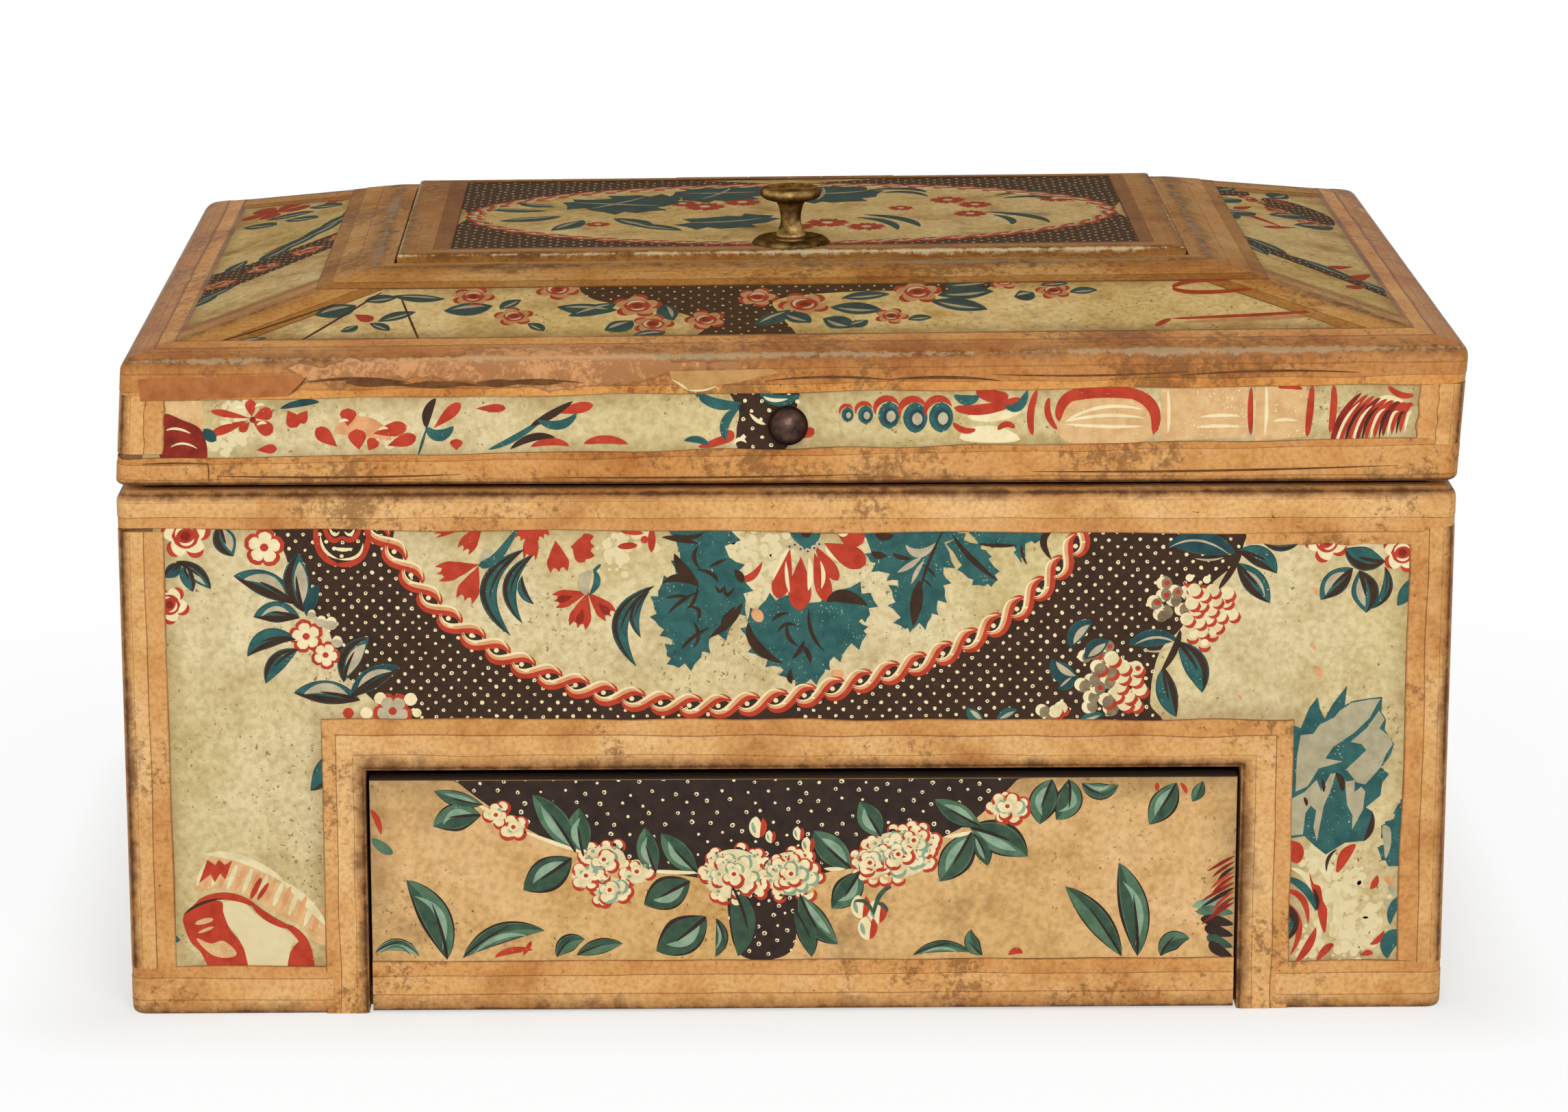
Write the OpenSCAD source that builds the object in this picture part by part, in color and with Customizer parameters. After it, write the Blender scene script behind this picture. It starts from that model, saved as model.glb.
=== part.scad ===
// Antique work box: a papered wooden case with a hipped lid, a small lid in the flat top of that
// lid, and one drawer low in the front. Millimetres, +Z up, front towards -Y, and the origin is
// the middle of the underside. Handmade, so the lid's top is a little tilted and leans right.

/* [Case] */
// Width of the case over its covering
case_w = 330; // [280:1:400]
// Depth of the case over its covering
case_d = 215; // [180:1:260]
// Height of the case from the table to its top edge
case_h = 135; // [115:1:170]
// Thickness of the case's and the lid rim's boards
board_t = 6; // [5:0.5:8]
// Thickness of the base board and of the compartment's floor
floor_t = 5; // [4:0.5:6]
// Thickness of the boards that guide the drawer
cheek_t = 5; // [4:0.5:8]
// Easing of the upright corners
corner_r = 4; // [2:0.5:5]
// Easing of the case's top edges
edge_r = 3; // [1.5:0.5:4]

/* [Covering] */
// Thickness of the printed paper
paper_t = 0.4; // [0.3:0.05:0.5]
// Thickness of a binding strip
binding_t = 0.7; // [0.6:0.05:0.9]
// Width of a binding strip on one face
binding_w = 11; // [8:0.5:13]
// Width of the eave strip on the slopes
eave_strip_w = 9; // [7:0.5:12]
// Width of the strip round the lid's flat top, on the slopes
top_strip_w = 6; // [5:0.5:9]
// Width of the strip over a hip
hip_strip_w = 15; // [12:0.5:18]

/* [Drawer] */
// Width of the drawer's opening
opening_w = 219; // [190:1:240]
// Height of the drawer's opening above the table
opening_h = 64; // [54:1:76]
// How far the opening's middle lies right of the case's
opening_x = 4; // [-10:0.5:10]
// Gap at each end of the drawer
drawer_side_gap = 1.2; // [0.8:0.1:2]
// Gap over the drawer front
drawer_top_gap = 3; // [2:0.5:5]
// Gap between the drawer front and the table
drawer_foot_gap = 0.6; // [0.4:0.1:1.2]
// Running gap between the drawer's underside and the base board
drawer_run_gap = 0.3; // [0.2:0.05:0.6]
// Gap between the drawer front and the base board that stops it
drawer_stop_gap = 0.4; // [0.3:0.1:1]
// Thickness of the drawer front
drawer_front_t = 5.6; // [4:0.2:8]
// Thickness of the drawer's sides and back
drawer_wall_t = 4; // [3:0.5:6]
// Thickness of the drawer's bottom
drawer_bottom_t = 3; // [2:0.5:5]
// Gap between the closed drawer and the case's back board
drawer_back_gap = 12; // [3:0.5:40]
// How far the drawer's sides stay below its front's top edge
drawer_wall_drop = 6; // [4:0.5:12]

/* [Lid] */
// Gap between the case's top edge and the closed lid
lid_gap = 1.6; // [0.3:0.1:2.5]
// Height of the lid's rim at the middle of the front
rim_h = 32; // [28:0.2:40]
// Rise of the slopes from the eaves to the flat top
slope_rise = 13.2; // [10:0.2:20]
// Width of the flat top
flat_w = 211; // [180:1:230]
// Depth of the flat top
flat_d = 118; // [100:1:130]
// Tilt of the lid's top, right side up, in degrees
lid_tilt = 0.45; // [0:0.05:0.8]
// How far the rim leans right between its foot and the eaves
lid_lean = 2; // [0:0.25:3]
// Easing of the eaves
eave_r = 4; // [3:0.5:5]
// Thickness of the slope boards, measured upright
slope_t = 4; // [3:0.5:6]
// How far below the eave line the slope boards sit on the rim
slope_seat = 1.2; // [0.8:0.1:2]
// Thickness of the well's walls
well_wall_t = 4.5; // [4:0.25:7]
// Depth of the well below the flat top
well_depth = 28; // [20:1:32]
// Thickness of the well's floor
well_floor_t = 3; // [2:0.5:4]
// Thickness of the ledges that the small lid lies on
ledge_t = 2.5; // [2:0.5:5]

/* [Small lid] */
// Thickness of the small lid's board
hatch_t = 6; // [5:0.5:9]
// How far the small lid stands above the flat top
hatch_proud = 2.2; // [1.5:0.1:4]
// Gap round the small lid
hatch_gap = 0.8; // [0.6:0.1:1.5]
// Gap between the small lid and its ledges
hatch_rest_gap = 0.3; // [0.2:0.05:0.6]
// Width of the binding strip on the small lid's top
hatch_strip_w = 8; // [6:0.5:12]

/* [Knob and stud] */
// Distance from the small lid's front edge to the knob's middle
knob_inset = 11; // [10.5:0.5:30]
// Height of the knob over its rosette
knob_h = 14; // [10:0.5:20]
// Radius of the knob's cap
knob_cap_r = 7.7; // [6:0.1:10]
// Radius of the knob's neck
knob_neck_r = 2.8; // [2.2:0.1:4]
// Radius of the knob's foot
knob_foot_r = 5.2; // [4:0.1:7]
// Thickness of the cap's edge
knob_cap_t = 1.8; // [1:0.1:3]
// Depth of the dish in the cap's top
knob_dish = 0.9; // [0.4:0.1:1.5]
// Radius of the knob's tail
knob_tail_r = 1.6; // [1.2:0.1:2.2]
// Radius of the clenched end of the tail
knob_clench_r = 3; // [2.4:0.1:4]
// Height of the clenched end of the tail
knob_clench_h = 1; // [0.6:0.1:1.5]
// Radius of the rosette under the knob
rosette_r = 9.6; // [8:0.1:10.4]
// Thickness of the rosette
rosette_t = 1.2; // [0.8:0.1:2]
// Radius of the lift stud's head
stud_r = 4.8; // [3.5:0.1:7]
// How far the lift stud's head stands out
stud_h = 6; // [4:0.2:9]
// Radius of the lift stud's neck
stud_neck_r = 2.6; // [1.8:0.1:3.4]
// Length of the lift stud's neck
stud_neck_l = 1.4; // [0.8:0.1:3]
// Radius of the lift stud's shank
stud_shank_r = 1.3; // [1:0.1:1.8]
// How far the stud's clenched end stands off the rim's inside
stud_clench_h = 1; // [0.6:0.1:1.5]
// Height of the lift stud above the lid's lower edge
stud_z = 15; // [14:0.2:19]
// Clearance of a shank, tail or nail in its hole
shank_fit = 0.05; // [0.02:0.01:0.1]

/* [Hinges] */
// Distance of each lid hinge from the middle
hinge_x = 95; // [60:1:120]
// Length of a lid hinge
hinge_l = 32; // [24:1:44]
// Height of a lid hinge's leaf
leaf_h = 15; // [12:0.5:20]
// Thickness of a lid hinge's leaf
leaf_t = 1; // [0.8:0.1:1.4]
// Radius of a lid hinge's knuckles
knuckle_r = 2.2; // [1.8:0.1:3]
// Radius of a lid hinge's pin
pin_r = 1; // [0.8:0.1:1.2]
// Height of a pin's burred end
pin_head_h = 0.8; // [0.5:0.1:1.5]
// Radius of a pin's burred end
pin_head_r = 1.6; // [1.4:0.1:1.8]
// Length of the small lid's hinge
hatch_hinge_l = 60; // [40:1:90]
// Thickness of the small hinge's leaves
hatch_leaf_t = 0.4; // [0.3:0.05:0.5]
// Width of the small hinge's leaf on the flat top
hatch_leaf_w = 3.2; // [2.8:0.1:3.6]
// Radius of the small hinge's knuckles
hatch_knuckle_r = 0.8; // [0.75:0.05:1]
// Radius of the small hinge's pin
hatch_pin_r = 0.4; // [0.3:0.05:0.45]
// Running clearance of a pin in its knuckles
pin_fit = 0.05; // [0.02:0.01:0.1]
// Gap between knuckles, and between a knuckle and what it turns past
knuckle_gap = 0.3; // [0.2:0.05:0.5]
// Radius of a hinge nail's shank
nail_r = 0.7; // [0.5:0.05:1]
// Radius of a hinge nail's head
nail_head_r = 1.5; // [1.2:0.1:2]
// Height of a hinge nail's head
nail_head_h = 0.8; // [0.5:0.1:1.2]
// How deep a hinge nail goes into its board
nail_depth = 4; // [3:0.25:4.25]

/* [Hidden] */
$fn = 64;
eps = 0.01;
reach = 2 * (case_w + case_d + case_h);
// Colours by eye from the object
wood = "#B8935F";
print_paper = "#CFC597";
drawer_print = "#CFA468";
binding_paper = "#C99A5B";
iron = "#4A3F37";
brass = "#B08D3F";
// The case's boards lie inside its covering by one binding's thickness
board_w = case_w - 2 * binding_t;
board_d = case_d - 2 * binding_t;
board_top = case_h - binding_t;
inner_w = board_w - 2 * board_t;
inner_d = board_d - 2 * board_t;
face_y = -board_d / 2;
// The drawer's opening and the drawer in it
opening_l = opening_x - opening_w / 2;
opening_r = opening_x + opening_w / 2;
drawer_l = opening_l + drawer_side_gap;
drawer_r = opening_r - drawer_side_gap;
drawer_top = opening_h - drawer_top_gap;
drawer_wall_top = drawer_top - drawer_wall_drop;
drawer_floor_z = floor_t + drawer_run_gap;
drawer_inner_y = face_y + drawer_front_t;
drawer_end_y = inner_d / 2 - drawer_back_gap;
base_front_y = max(face_y + board_t, drawer_inner_y + drawer_stop_gap);
// The lid stands on the case, and its top has a tilted frame of its own about the eave line
lid_foot = case_h + lid_gap;
eave_z = lid_foot + rim_h;
// Places in the tilted frame: the flat top, the well and the small lid in it
flat_l = lid_lean - flat_w / 2;
flat_r = lid_lean + flat_w / 2;
flat_top = slope_rise + binding_t;
well_l = flat_l + well_wall_t;
well_r = flat_r - well_wall_t;
well_y = flat_d / 2 - well_wall_t;
well_floor_top = slope_rise - well_depth;
well_bottom = well_floor_top - well_floor_t;
hatch_l = well_l + hatch_gap;
hatch_r = well_r - hatch_gap;
hatch_y = well_y - hatch_gap;
hatch_top = flat_top + hatch_proud;
hatch_board_top = hatch_top - binding_t;
hatch_bottom = hatch_board_top - hatch_t;
knob_y = knob_inset - hatch_y;
// Axis of the lid's hinges, behind the covering and level with the gap under the lid
hinge_y = case_d / 2 + knuckle_r;
hinge_z = case_h + lid_gap / 2;
// Axis of the small lid's hinge in the tilted frame
hatch_axis_y = hatch_y + hatch_knuckle_r + knuckle_gap;
hatch_axis_z = flat_top + hatch_knuckle_r + knuckle_gap;

// Points of a rectangle, counter-clockwise
function rectangle(x0, y0, x1, y1) = [[x0, y0], [x1, y0], [x1, y1], [x0, y1]];

// Outward normal of the edge from a to b of a counter-clockwise outline
function normal(a, b) = [b.y - a.y, a.x - b.x] / norm(b - a);

// Corner b of an outline as an arc: its centre is set in by r, its radius is r + grow, and it
// runs from the normal of the edge before it to that of the edge after it
function eased_corner(a, b, c, r, grow) =
    let (n1 = normal(a, b), n2 = normal(b, c), share = n1 * n2,
         centre = b - r * (n1 + n2) / (1 + share),
         start = atan2(n1.y, n1.x), turn = acos(share), steps = max(1, round(turn / 30)))
    [for (i = [0:steps])
        centre + (r + grow) * [cos(start + turn * i / steps), sin(start + turn * i / steps)]];

// A convex outline with each corner eased by its own radius, grown outward evenly
function eased(points, radii, grow) =
    let (n = len(points))
    [for (i = [0:n - 1])
        each eased_corner(points[(i + n - 1) % n], points[i], points[(i + 1) % n], radii[i], grow)];

// A box between two corners
module block(low, high) { translate(low) cube(high - low); }

// Extrudes an outline drawn in Y and Z along X, or one drawn in X and Z along Y
module along_x(length) { rotate([90, 0, 90]) linear_extrude(length, center = true) children(); }
module along_y(length) { rotate([90, 0, 0]) linear_extrude(length, center = true) children(); }

// The case as one block with its easing, grown by a covering's thickness and run on below
module case_form(grow, below = 0) {
    plan = rectangle(-board_w / 2, -board_d / 2, board_w / 2, board_d / 2);
    front = rectangle(-board_w / 2, -reach, board_w / 2, board_top);
    side = rectangle(-board_d / 2, -reach, board_d / 2, board_top);
    top_only = [corner_r, corner_r, edge_r, edge_r];
    intersection() {
        translate([0, 0, -below]) linear_extrude(case_h + below)
            polygon(eased(plan, [corner_r, corner_r, corner_r, corner_r], grow));
        along_y(reach) polygon(eased(front, top_only, grow));
        along_x(reach) polygon(eased(side, top_only, grow));
    }
}

// A layer of the given thickness on the outside of the case
module case_skin(thickness) {
    difference() {
        case_form(thickness);
        case_form(0, 1);
    }
}

// The space inside the case's or the rim's boards, at every height
module inside_boards() { block([-inner_w / 2, -inner_d / 2, -reach], [inner_w / 2, inner_d / 2, reach]); }

// Moves what is drawn round the eave line into the lid's tilted frame
module tilted() { translate([0, 0, eave_z]) rotate([0, -lid_tilt, 0]) children(); }

// The lid as one block with its lean, slopes and easing, in its tilted frame, run on below
module lid_form(grow) {
    foot = 2 * rim_h;
    slip = 2 * lid_lean;
    front = [
        [-board_w / 2 + lid_lean - slip, -foot], [board_w / 2 + lid_lean - slip, -foot],
        [board_w / 2 + lid_lean, 0], [flat_r, slope_rise], [flat_l, slope_rise],
        [-board_w / 2 + lid_lean, 0]
    ];
    side = [
        [-board_d / 2, -foot], [board_d / 2, -foot], [board_d / 2, 0],
        [flat_d / 2, slope_rise], [-flat_d / 2, slope_rise], [-board_d / 2, 0]
    ];
    radii = [1, 1, eave_r, edge_r, edge_r, eave_r];
    intersection() {
        along_y(reach) polygon(eased(front, radii, grow));
        along_x(reach) polygon(eased(side, radii, grow));
        lid_corners(grow);
    }
}

// A leaning prism that eases the lid's upright corners and stands clear of its faces: its larger
// radius cuts each corner as deep as the corner's own easing would
module lid_corners(grow) {
    clear = corner_r / 3;
    half_w = board_w / 2 + clear;
    half_d = board_d / 2 + clear;
    r = corner_r + clear * sqrt(2) / (sqrt(2) - 1);
    translate([lid_lean, 0, 0]) rotate([0, atan(lid_lean / rim_h), 0])
        linear_extrude(reach, center = true)
            polygon(eased(rectangle(-half_w, -half_d, half_w, half_d), [r, r, r, r], grow));
}

// A layer of the given thickness on the outside of the lid, above its lower edge
module lid_skin(thickness) {
    intersection() {
        tilted() difference() {
            lid_form(thickness);
            lid_form(0);
        }
        block([-reach, -reach, lid_foot], [reach, reach, reach]);
    }
}

// The upright columns at the four corners, one strip wide on each face
module corner_columns() {
    for (x = [-1, 1], y = [-1, 1])
        translate([x * board_w / 2, y * board_d / 2, 0])
            cube([2 * binding_w, 2 * binding_w, 2 * reach], center = true);
}

// The bands over the four hips, upright, in the tilted frame
module hip_bands() {
    for (x = [-1, 1], y = [-1, 1]) {
        eave = [lid_lean + x * board_w / 2, y * board_d / 2];
        flat = [lid_lean + x * flat_w / 2, y * flat_d / 2];
        run = flat - eave;
        translate([eave.x, eave.y, 0]) rotate([0, 0, atan2(run.y, run.x)])
            translate([-2 * binding_w, -hip_strip_w / 2, -reach])
                cube([norm(run) + 2 * binding_w, hip_strip_w, 2 * reach]);
    }
}

// Where the corner strips lie: on the corners below the eaves and over the hips above them
module corner_zone() {
    intersection() {
        corner_columns();
        tilted() translate([0, 0, -reach / 2]) cube([reach, reach, reach], center = true);
    }
    intersection() {
        tilted() hip_bands();
        tilted() translate([0, 0, reach / 2]) cube([reach, reach, reach], center = true);
    }
}

// The flat top's own area, upright, grown outward on every side
module flat_column(grow) {
    block([flat_l - grow, -flat_d / 2 - grow, -reach], [flat_r + grow, flat_d / 2 + grow, reach]);
}

// The space of the well, upright
module well_column() { block([well_l, -well_y, -reach], [well_r, well_y, reach]); }

// Everything in the tilted frame from one height up
module from_height(z) { block([-reach, -reach, z], [reach, reach, reach]); }

// The plan of one slope, between the hips: front and back with turn 0 and 180
module long_slope_plan(turn) {
    eave = [board_w / 2, -board_d / 2];
    flat = [flat_w / 2, -flat_d / 2];
    out = eave + (eave - flat);
    translate([lid_lean, 0, -reach]) rotate([0, 0, turn]) linear_extrude(2 * reach)
        polygon([[-out.x, out.y], [out.x, out.y], [flat.x, flat.y], [-flat.x, flat.y]]);
}

// The plan of one end slope, between the hips: right and left with turn 0 and 180
module end_slope_plan(turn) {
    eave = [board_w / 2, board_d / 2];
    flat = [flat_w / 2, flat_d / 2];
    out = eave + (eave - flat);
    translate([lid_lean, 0, -reach]) rotate([0, 0, turn]) linear_extrude(2 * reach)
        polygon([[flat.x, -flat.y], [out.x, -out.y], [out.x, out.y], [flat.x, flat.y]]);
}

// Everything above a slope's underside, drawn across the slope from the eave to the flat top
module over_slope(half, flat_half) {
    run = half - flat_half;
    polygon([
        [half + run, -slope_rise - slope_t], [half + run, 2 * slope_rise],
        [flat_half - eps, 2 * slope_rise], [flat_half - eps, slope_rise - slope_t]
    ]);
}

// Places one lid hinge's pieces on the hinge axis
module at_hinge(side) { translate([side * hinge_x, hinge_y, hinge_z]) children(); }

// One hinge's knuckles along X: the middle third or the two outer ones
module knuckles(length, radius, middle) {
    third = length / 3;
    for (i = middle ? [0] : [-1, 1])
        translate([i * third, 0, 0]) rotate([0, 90, 0])
            cylinder(h = third - knuckle_gap, r = radius, center = true);
}

// The bore through a hinge's knuckles
module knuckle_bore(length, radius) {
    rotate([0, 90, 0]) cylinder(h = length + 2, r = radius + pin_fit, center = true);
}

// One leaf of a lid hinge on its axis, below it for the case (up = -1) or above it for the lid
module leaf(up, middle) {
    third = hinge_l / 3;
    clear = knuckle_r + knuckle_gap;
    difference() {
        union() {
            knuckles(hinge_l, knuckle_r, middle);
            translate([-hinge_l / 2, -knuckle_r, up > 0 ? clear : -leaf_h])
                cube([hinge_l, leaf_t, leaf_h - clear]);
            for (i = middle ? [0] : [-1, 1])
                translate([i * third - (third - knuckle_gap) / 2, -knuckle_r, up > 0 ? 0 : -clear - eps])
                    cube([third - knuckle_gap, leaf_t, clear + eps]);
        }
        knuckle_bore(hinge_l, pin_r);
        leaf_nail_shanks(up, shank_fit);
    }
}

// The shanks of one leaf's two nails, from the leaf's face into the board
module leaf_nail_shanks(up, grow) {
    third = hinge_l / 3;
    middle_z = (leaf_h + knuckle_r + knuckle_gap) / 2;
    depth = binding_t + nail_depth;
    for (x = [-third, third])
        translate([x, -knuckle_r - depth, up * middle_z]) rotate([-90, 0, 0])
            cylinder(h = depth + leaf_t + grow, r = nail_r + grow);
}

// The nails of both hinges on one side of the gap: shanks with domed heads on the leaf
module leaf_nails(up) {
    third = hinge_l / 3;
    middle_z = (leaf_h + knuckle_r + knuckle_gap) / 2;
    for (side = [-1, 1]) at_hinge(side) {
        leaf_nail_shanks(up, 0);
        for (x = [-third, third])
            translate([x, -knuckle_r + leaf_t, up * middle_z]) rotate([-90, 0, 0])
                cylinder(h = nail_head_h, r1 = nail_head_r, r2 = nail_head_r / 2);
    }
}

// Holes for the hinge nails of one side of the gap
module nail_holes(up) {
    for (side = [-1, 1]) at_hinge(side) leaf_nail_shanks(up, shank_fit);
}

// A hinge pin along X with a burred end outside each outer knuckle
module pin(length, radius, head_r, head_h) {
    end = length / 2 + knuckle_gap / 2;
    rotate([0, 90, 0]) {
        cylinder(h = 2 * end + 2 * head_h - eps, r = radius, center = true);
        for (z = [-end - head_h / 2, end + head_h / 2])
            translate([0, 0, z]) cylinder(h = head_h, r = head_r, center = true);
    }
}

// The lift stud's hole through the front rim board and its covering
module stud_hole() {
    translate([0, 0, lid_foot + stud_z]) rotate([90, 0, 0])
        cylinder(h = reach / 2, r = stud_shank_r + shank_fit);
}

// The knob's hole through the rosette and the small lid
module knob_hole() {
    translate([lid_lean, knob_y, hatch_bottom - 1])
        cylinder(h = reach / 4, r = knob_tail_r + shank_fit);
}

// Case boards

module front_panel() {
    color(wood) intersection() {
        case_form(0);
        block([-case_w, -case_d, opening_h], [case_w, face_y + board_t, case_h]);
    }
}

module left_foot_panel() {
    color(wood) intersection() {
        case_form(0);
        block([-case_w, -case_d, 0], [opening_l, face_y + board_t, opening_h]);
    }
}

module right_foot_panel() {
    color(wood) intersection() {
        case_form(0);
        block([opening_r, -case_d, 0], [case_w, face_y + board_t, opening_h]);
    }
}

module back_board() {
    color(wood) difference() {
        intersection() {
            case_form(0);
            block([-case_w, inner_d / 2, 0], [case_w, case_d, case_h]);
        }
        nail_holes(-1);
    }
}

module left_side_board() {
    color(wood) intersection() {
        case_form(0);
        block([-case_w, -inner_d / 2, 0], [-inner_w / 2, inner_d / 2, case_h]);
    }
}

module right_side_board() {
    color(wood) intersection() {
        case_form(0);
        block([inner_w / 2, -inner_d / 2, 0], [case_w, inner_d / 2, case_h]);
    }
}

module base_board() {
    color(wood)
        block([-inner_w / 2, base_front_y, 0], [inner_w / 2, inner_d / 2, floor_t]);
}

module compartment_floor() {
    color(wood)
        block([-inner_w / 2, -inner_d / 2, opening_h], [inner_w / 2, inner_d / 2, opening_h + floor_t]);
}

module left_drawer_cheek() {
    color(wood)
        block([opening_l - cheek_t, face_y + board_t, floor_t], [opening_l, inner_d / 2, opening_h]);
}

module right_drawer_cheek() {
    color(wood)
        block([opening_r, face_y + board_t, floor_t], [opening_r + cheek_t, inner_d / 2, opening_h]);
}

// Case covering

// The front's own area inside its edge strips, round the drawer's opening
module front_paper() {
    edge = board_w / 2 - binding_w;
    color(print_paper) translate([0, face_y, 0]) rotate([90, 0, 0]) linear_extrude(paper_t)
        polygon([
            [-edge, binding_w], [opening_l - binding_w, binding_w],
            [opening_l - binding_w, opening_h + binding_w],
            [opening_r + binding_w, opening_h + binding_w],
            [opening_r + binding_w, binding_w], [edge, binding_w],
            [edge, board_top - binding_w], [-edge, board_top - binding_w]
        ]);
}

module side_papers() {
    color(print_paper) difference() {
        case_skin(paper_t);
        block([-reach, -reach, -reach], [reach, face_y + corner_r, reach]);
        block([-reach, -reach, -reach], [reach, reach, binding_w]);
        block([-reach, -reach, board_top - binding_w], [reach, reach, reach]);
        corner_columns();
    }
}

module case_top_binding() {
    color(binding_paper) difference() {
        intersection() {
            case_skin(binding_t);
            block([-reach, -reach, board_top - binding_w], [reach, reach, reach]);
        }
        inside_boards();
        nail_holes(-1);
    }
}

module case_corner_bindings() {
    color(binding_paper) intersection() {
        case_skin(binding_t);
        corner_columns();
        block([-reach, -reach, binding_w], [reach, reach, board_top - binding_w]);
    }
}

// Round the foot at the sides and back, and across the front to the opening's own strip
module case_foot_binding() {
    color(binding_paper) difference() {
        intersection() {
            case_skin(binding_t);
            block([-reach, -reach, -reach], [reach, reach, binding_w]);
        }
        block([opening_l - binding_w, -reach, -reach], [opening_r + binding_w, 0, reach]);
    }
}

module opening_binding() {
    color(binding_paper) translate([0, face_y, 0]) rotate([90, 0, 0]) linear_extrude(binding_t)
        polygon([
            [opening_l - binding_w, 0], [opening_l, 0], [opening_l, opening_h],
            [opening_r, opening_h], [opening_r, 0], [opening_r + binding_w, 0],
            [opening_r + binding_w, opening_h + binding_w],
            [opening_l - binding_w, opening_h + binding_w]
        ]);
}

// Lid hinges

module left_case_leaf() { color(iron) at_hinge(-1) leaf(-1, false); }

module right_case_leaf() { color(iron) at_hinge(1) leaf(-1, false); }

module left_lid_leaf() { color(iron) at_hinge(-1) leaf(1, true); }

module right_lid_leaf() { color(iron) at_hinge(1) leaf(1, true); }

module hinge_pins() {
    color(iron) for (side = [-1, 1]) at_hinge(side) pin(hinge_l, pin_r, pin_head_r, pin_head_h);
}

module case_hinge_nails() { color(iron) leaf_nails(-1); }

module lid_hinge_nails() { color(iron) leaf_nails(1); }

// Lid boards

// The rim's boards stop where the slope boards sit on them
module rim_form() {
    intersection() {
        tilted() difference() {
            lid_form(0);
            from_height(-slope_seat);
        }
        block([-reach, -reach, lid_foot + binding_t], [reach, reach, reach]);
    }
}

module front_rim_board() {
    color(wood) difference() {
        intersection() {
            rim_form();
            block([-reach, -reach, 0], [reach, face_y + board_t, reach]);
        }
        stud_hole();
    }
}

module back_rim_board() {
    color(wood) difference() {
        intersection() {
            rim_form();
            block([-reach, inner_d / 2, 0], [reach, reach, reach]);
        }
        nail_holes(1);
    }
}

module left_rim_board() {
    color(wood) intersection() {
        rim_form();
        block([-reach, -inner_d / 2, 0], [-inner_w / 2, inner_d / 2, reach]);
    }
}

module right_rim_board() {
    color(wood) intersection() {
        rim_form();
        block([inner_w / 2, -inner_d / 2, 0], [reach, inner_d / 2, reach]);
    }
}

// The front or back slope board, flat on the rim and mitred at the hips
module long_slope(turn) {
    tilted() intersection() {
        lid_form(0);
        from_height(-slope_seat);
        long_slope_plan(turn);
        rotate([0, 0, turn]) mirror([0, 1, 0]) along_x(reach) over_slope(board_d / 2, flat_d / 2);
    }
}

// The right or left slope board, flat on the rim and mitred at the hips
module end_slope(turn) {
    tilted() intersection() {
        lid_form(0);
        from_height(-slope_seat);
        end_slope_plan(turn);
        translate([lid_lean, 0, 0]) rotate([0, 0, turn]) along_y(reach) over_slope(board_w / 2, flat_w / 2);
    }
}

module front_slope_board() { color(wood) long_slope(0); }

module back_slope_board() { color(wood) long_slope(180); }

module left_slope_board() { color(wood) end_slope(180); }

module right_slope_board() { color(wood) end_slope(0); }

// The well in the lid

// One wall from the well's underside to the flat top, eased at its top edge as the lid is
module well_wall(low, high) {
    color(wood) tilted() intersection() {
        lid_form(0);
        block([low.x, low.y, well_bottom], [high.x, high.y, flat_top]);
    }
}

module front_well_wall() { well_wall([flat_l, -flat_d / 2], [flat_r, -well_y]); }

module back_well_wall() { well_wall([flat_l, well_y], [flat_r, flat_d / 2]); }

module left_well_wall() { well_wall([flat_l, -well_y], [well_l, well_y]); }

module right_well_wall() { well_wall([well_r, -well_y], [flat_r, well_y]); }

module well_floor() {
    color(wood) tilted() block([well_l, -well_y, well_bottom], [well_r, well_y, well_floor_top]);
}

// Two strips inside the well's ends, which the small lid lies on
module well_ledges() {
    top = hatch_bottom - hatch_rest_gap;
    color(wood) tilted() {
        block([well_l, -well_y, well_floor_top], [well_l + ledge_t, well_y, top]);
        block([well_r - ledge_t, -well_y, well_floor_top], [well_r, well_y, top]);
    }
}

// Lid covering

module rim_papers() {
    color(print_paper) difference() {
        lid_skin(paper_t);
        block([-reach, -reach, -reach], [reach, reach, lid_foot + binding_w]);
        tilted() from_height(-binding_w);
        corner_columns();
        stud_hole();
    }
}

module slope_papers() {
    inset = board_w / 2 - eave_strip_w;
    inset_d = board_d / 2 - eave_strip_w;
    color(print_paper) difference() {
        intersection() {
            lid_skin(paper_t);
            tilted() block([lid_lean - inset, -inset_d, 0], [lid_lean + inset, inset_d, reach]);
        }
        tilted() flat_column(top_strip_w);
        tilted() hip_bands();
    }
}

// Round the rim's lower edge and under it
module lid_foot_binding() {
    color(binding_paper) difference() {
        intersection() {
            tilted() lid_form(binding_t);
            block([-reach, -reach, lid_foot], [reach, reach, lid_foot + binding_w]);
        }
        intersection() {
            tilted() lid_form(0);
            block([-reach, -reach, lid_foot + binding_t], [reach, reach, reach]);
        }
        inside_boards();
        nail_holes(1);
    }
}

// One strip at each corner, up the rim and over the hip to the flat top's strip
module lid_corner_bindings() {
    color(binding_paper) difference() {
        intersection() {
            lid_skin(binding_t);
            corner_zone();
        }
        block([-reach, -reach, -reach], [reach, reach, lid_foot + binding_w]);
        tilted() flat_column(top_strip_w);
    }
}

// One strip along each eave, between the corners
module eave_bindings() {
    inset = board_w / 2 - eave_strip_w;
    inset_d = board_d / 2 - eave_strip_w;
    color(binding_paper) difference() {
        intersection() {
            lid_skin(binding_t);
            tilted() from_height(-binding_w);
        }
        tilted() block([lid_lean - inset, -inset_d, -reach], [lid_lean + inset, inset_d, reach]);
        corner_zone();
    }
}

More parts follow.
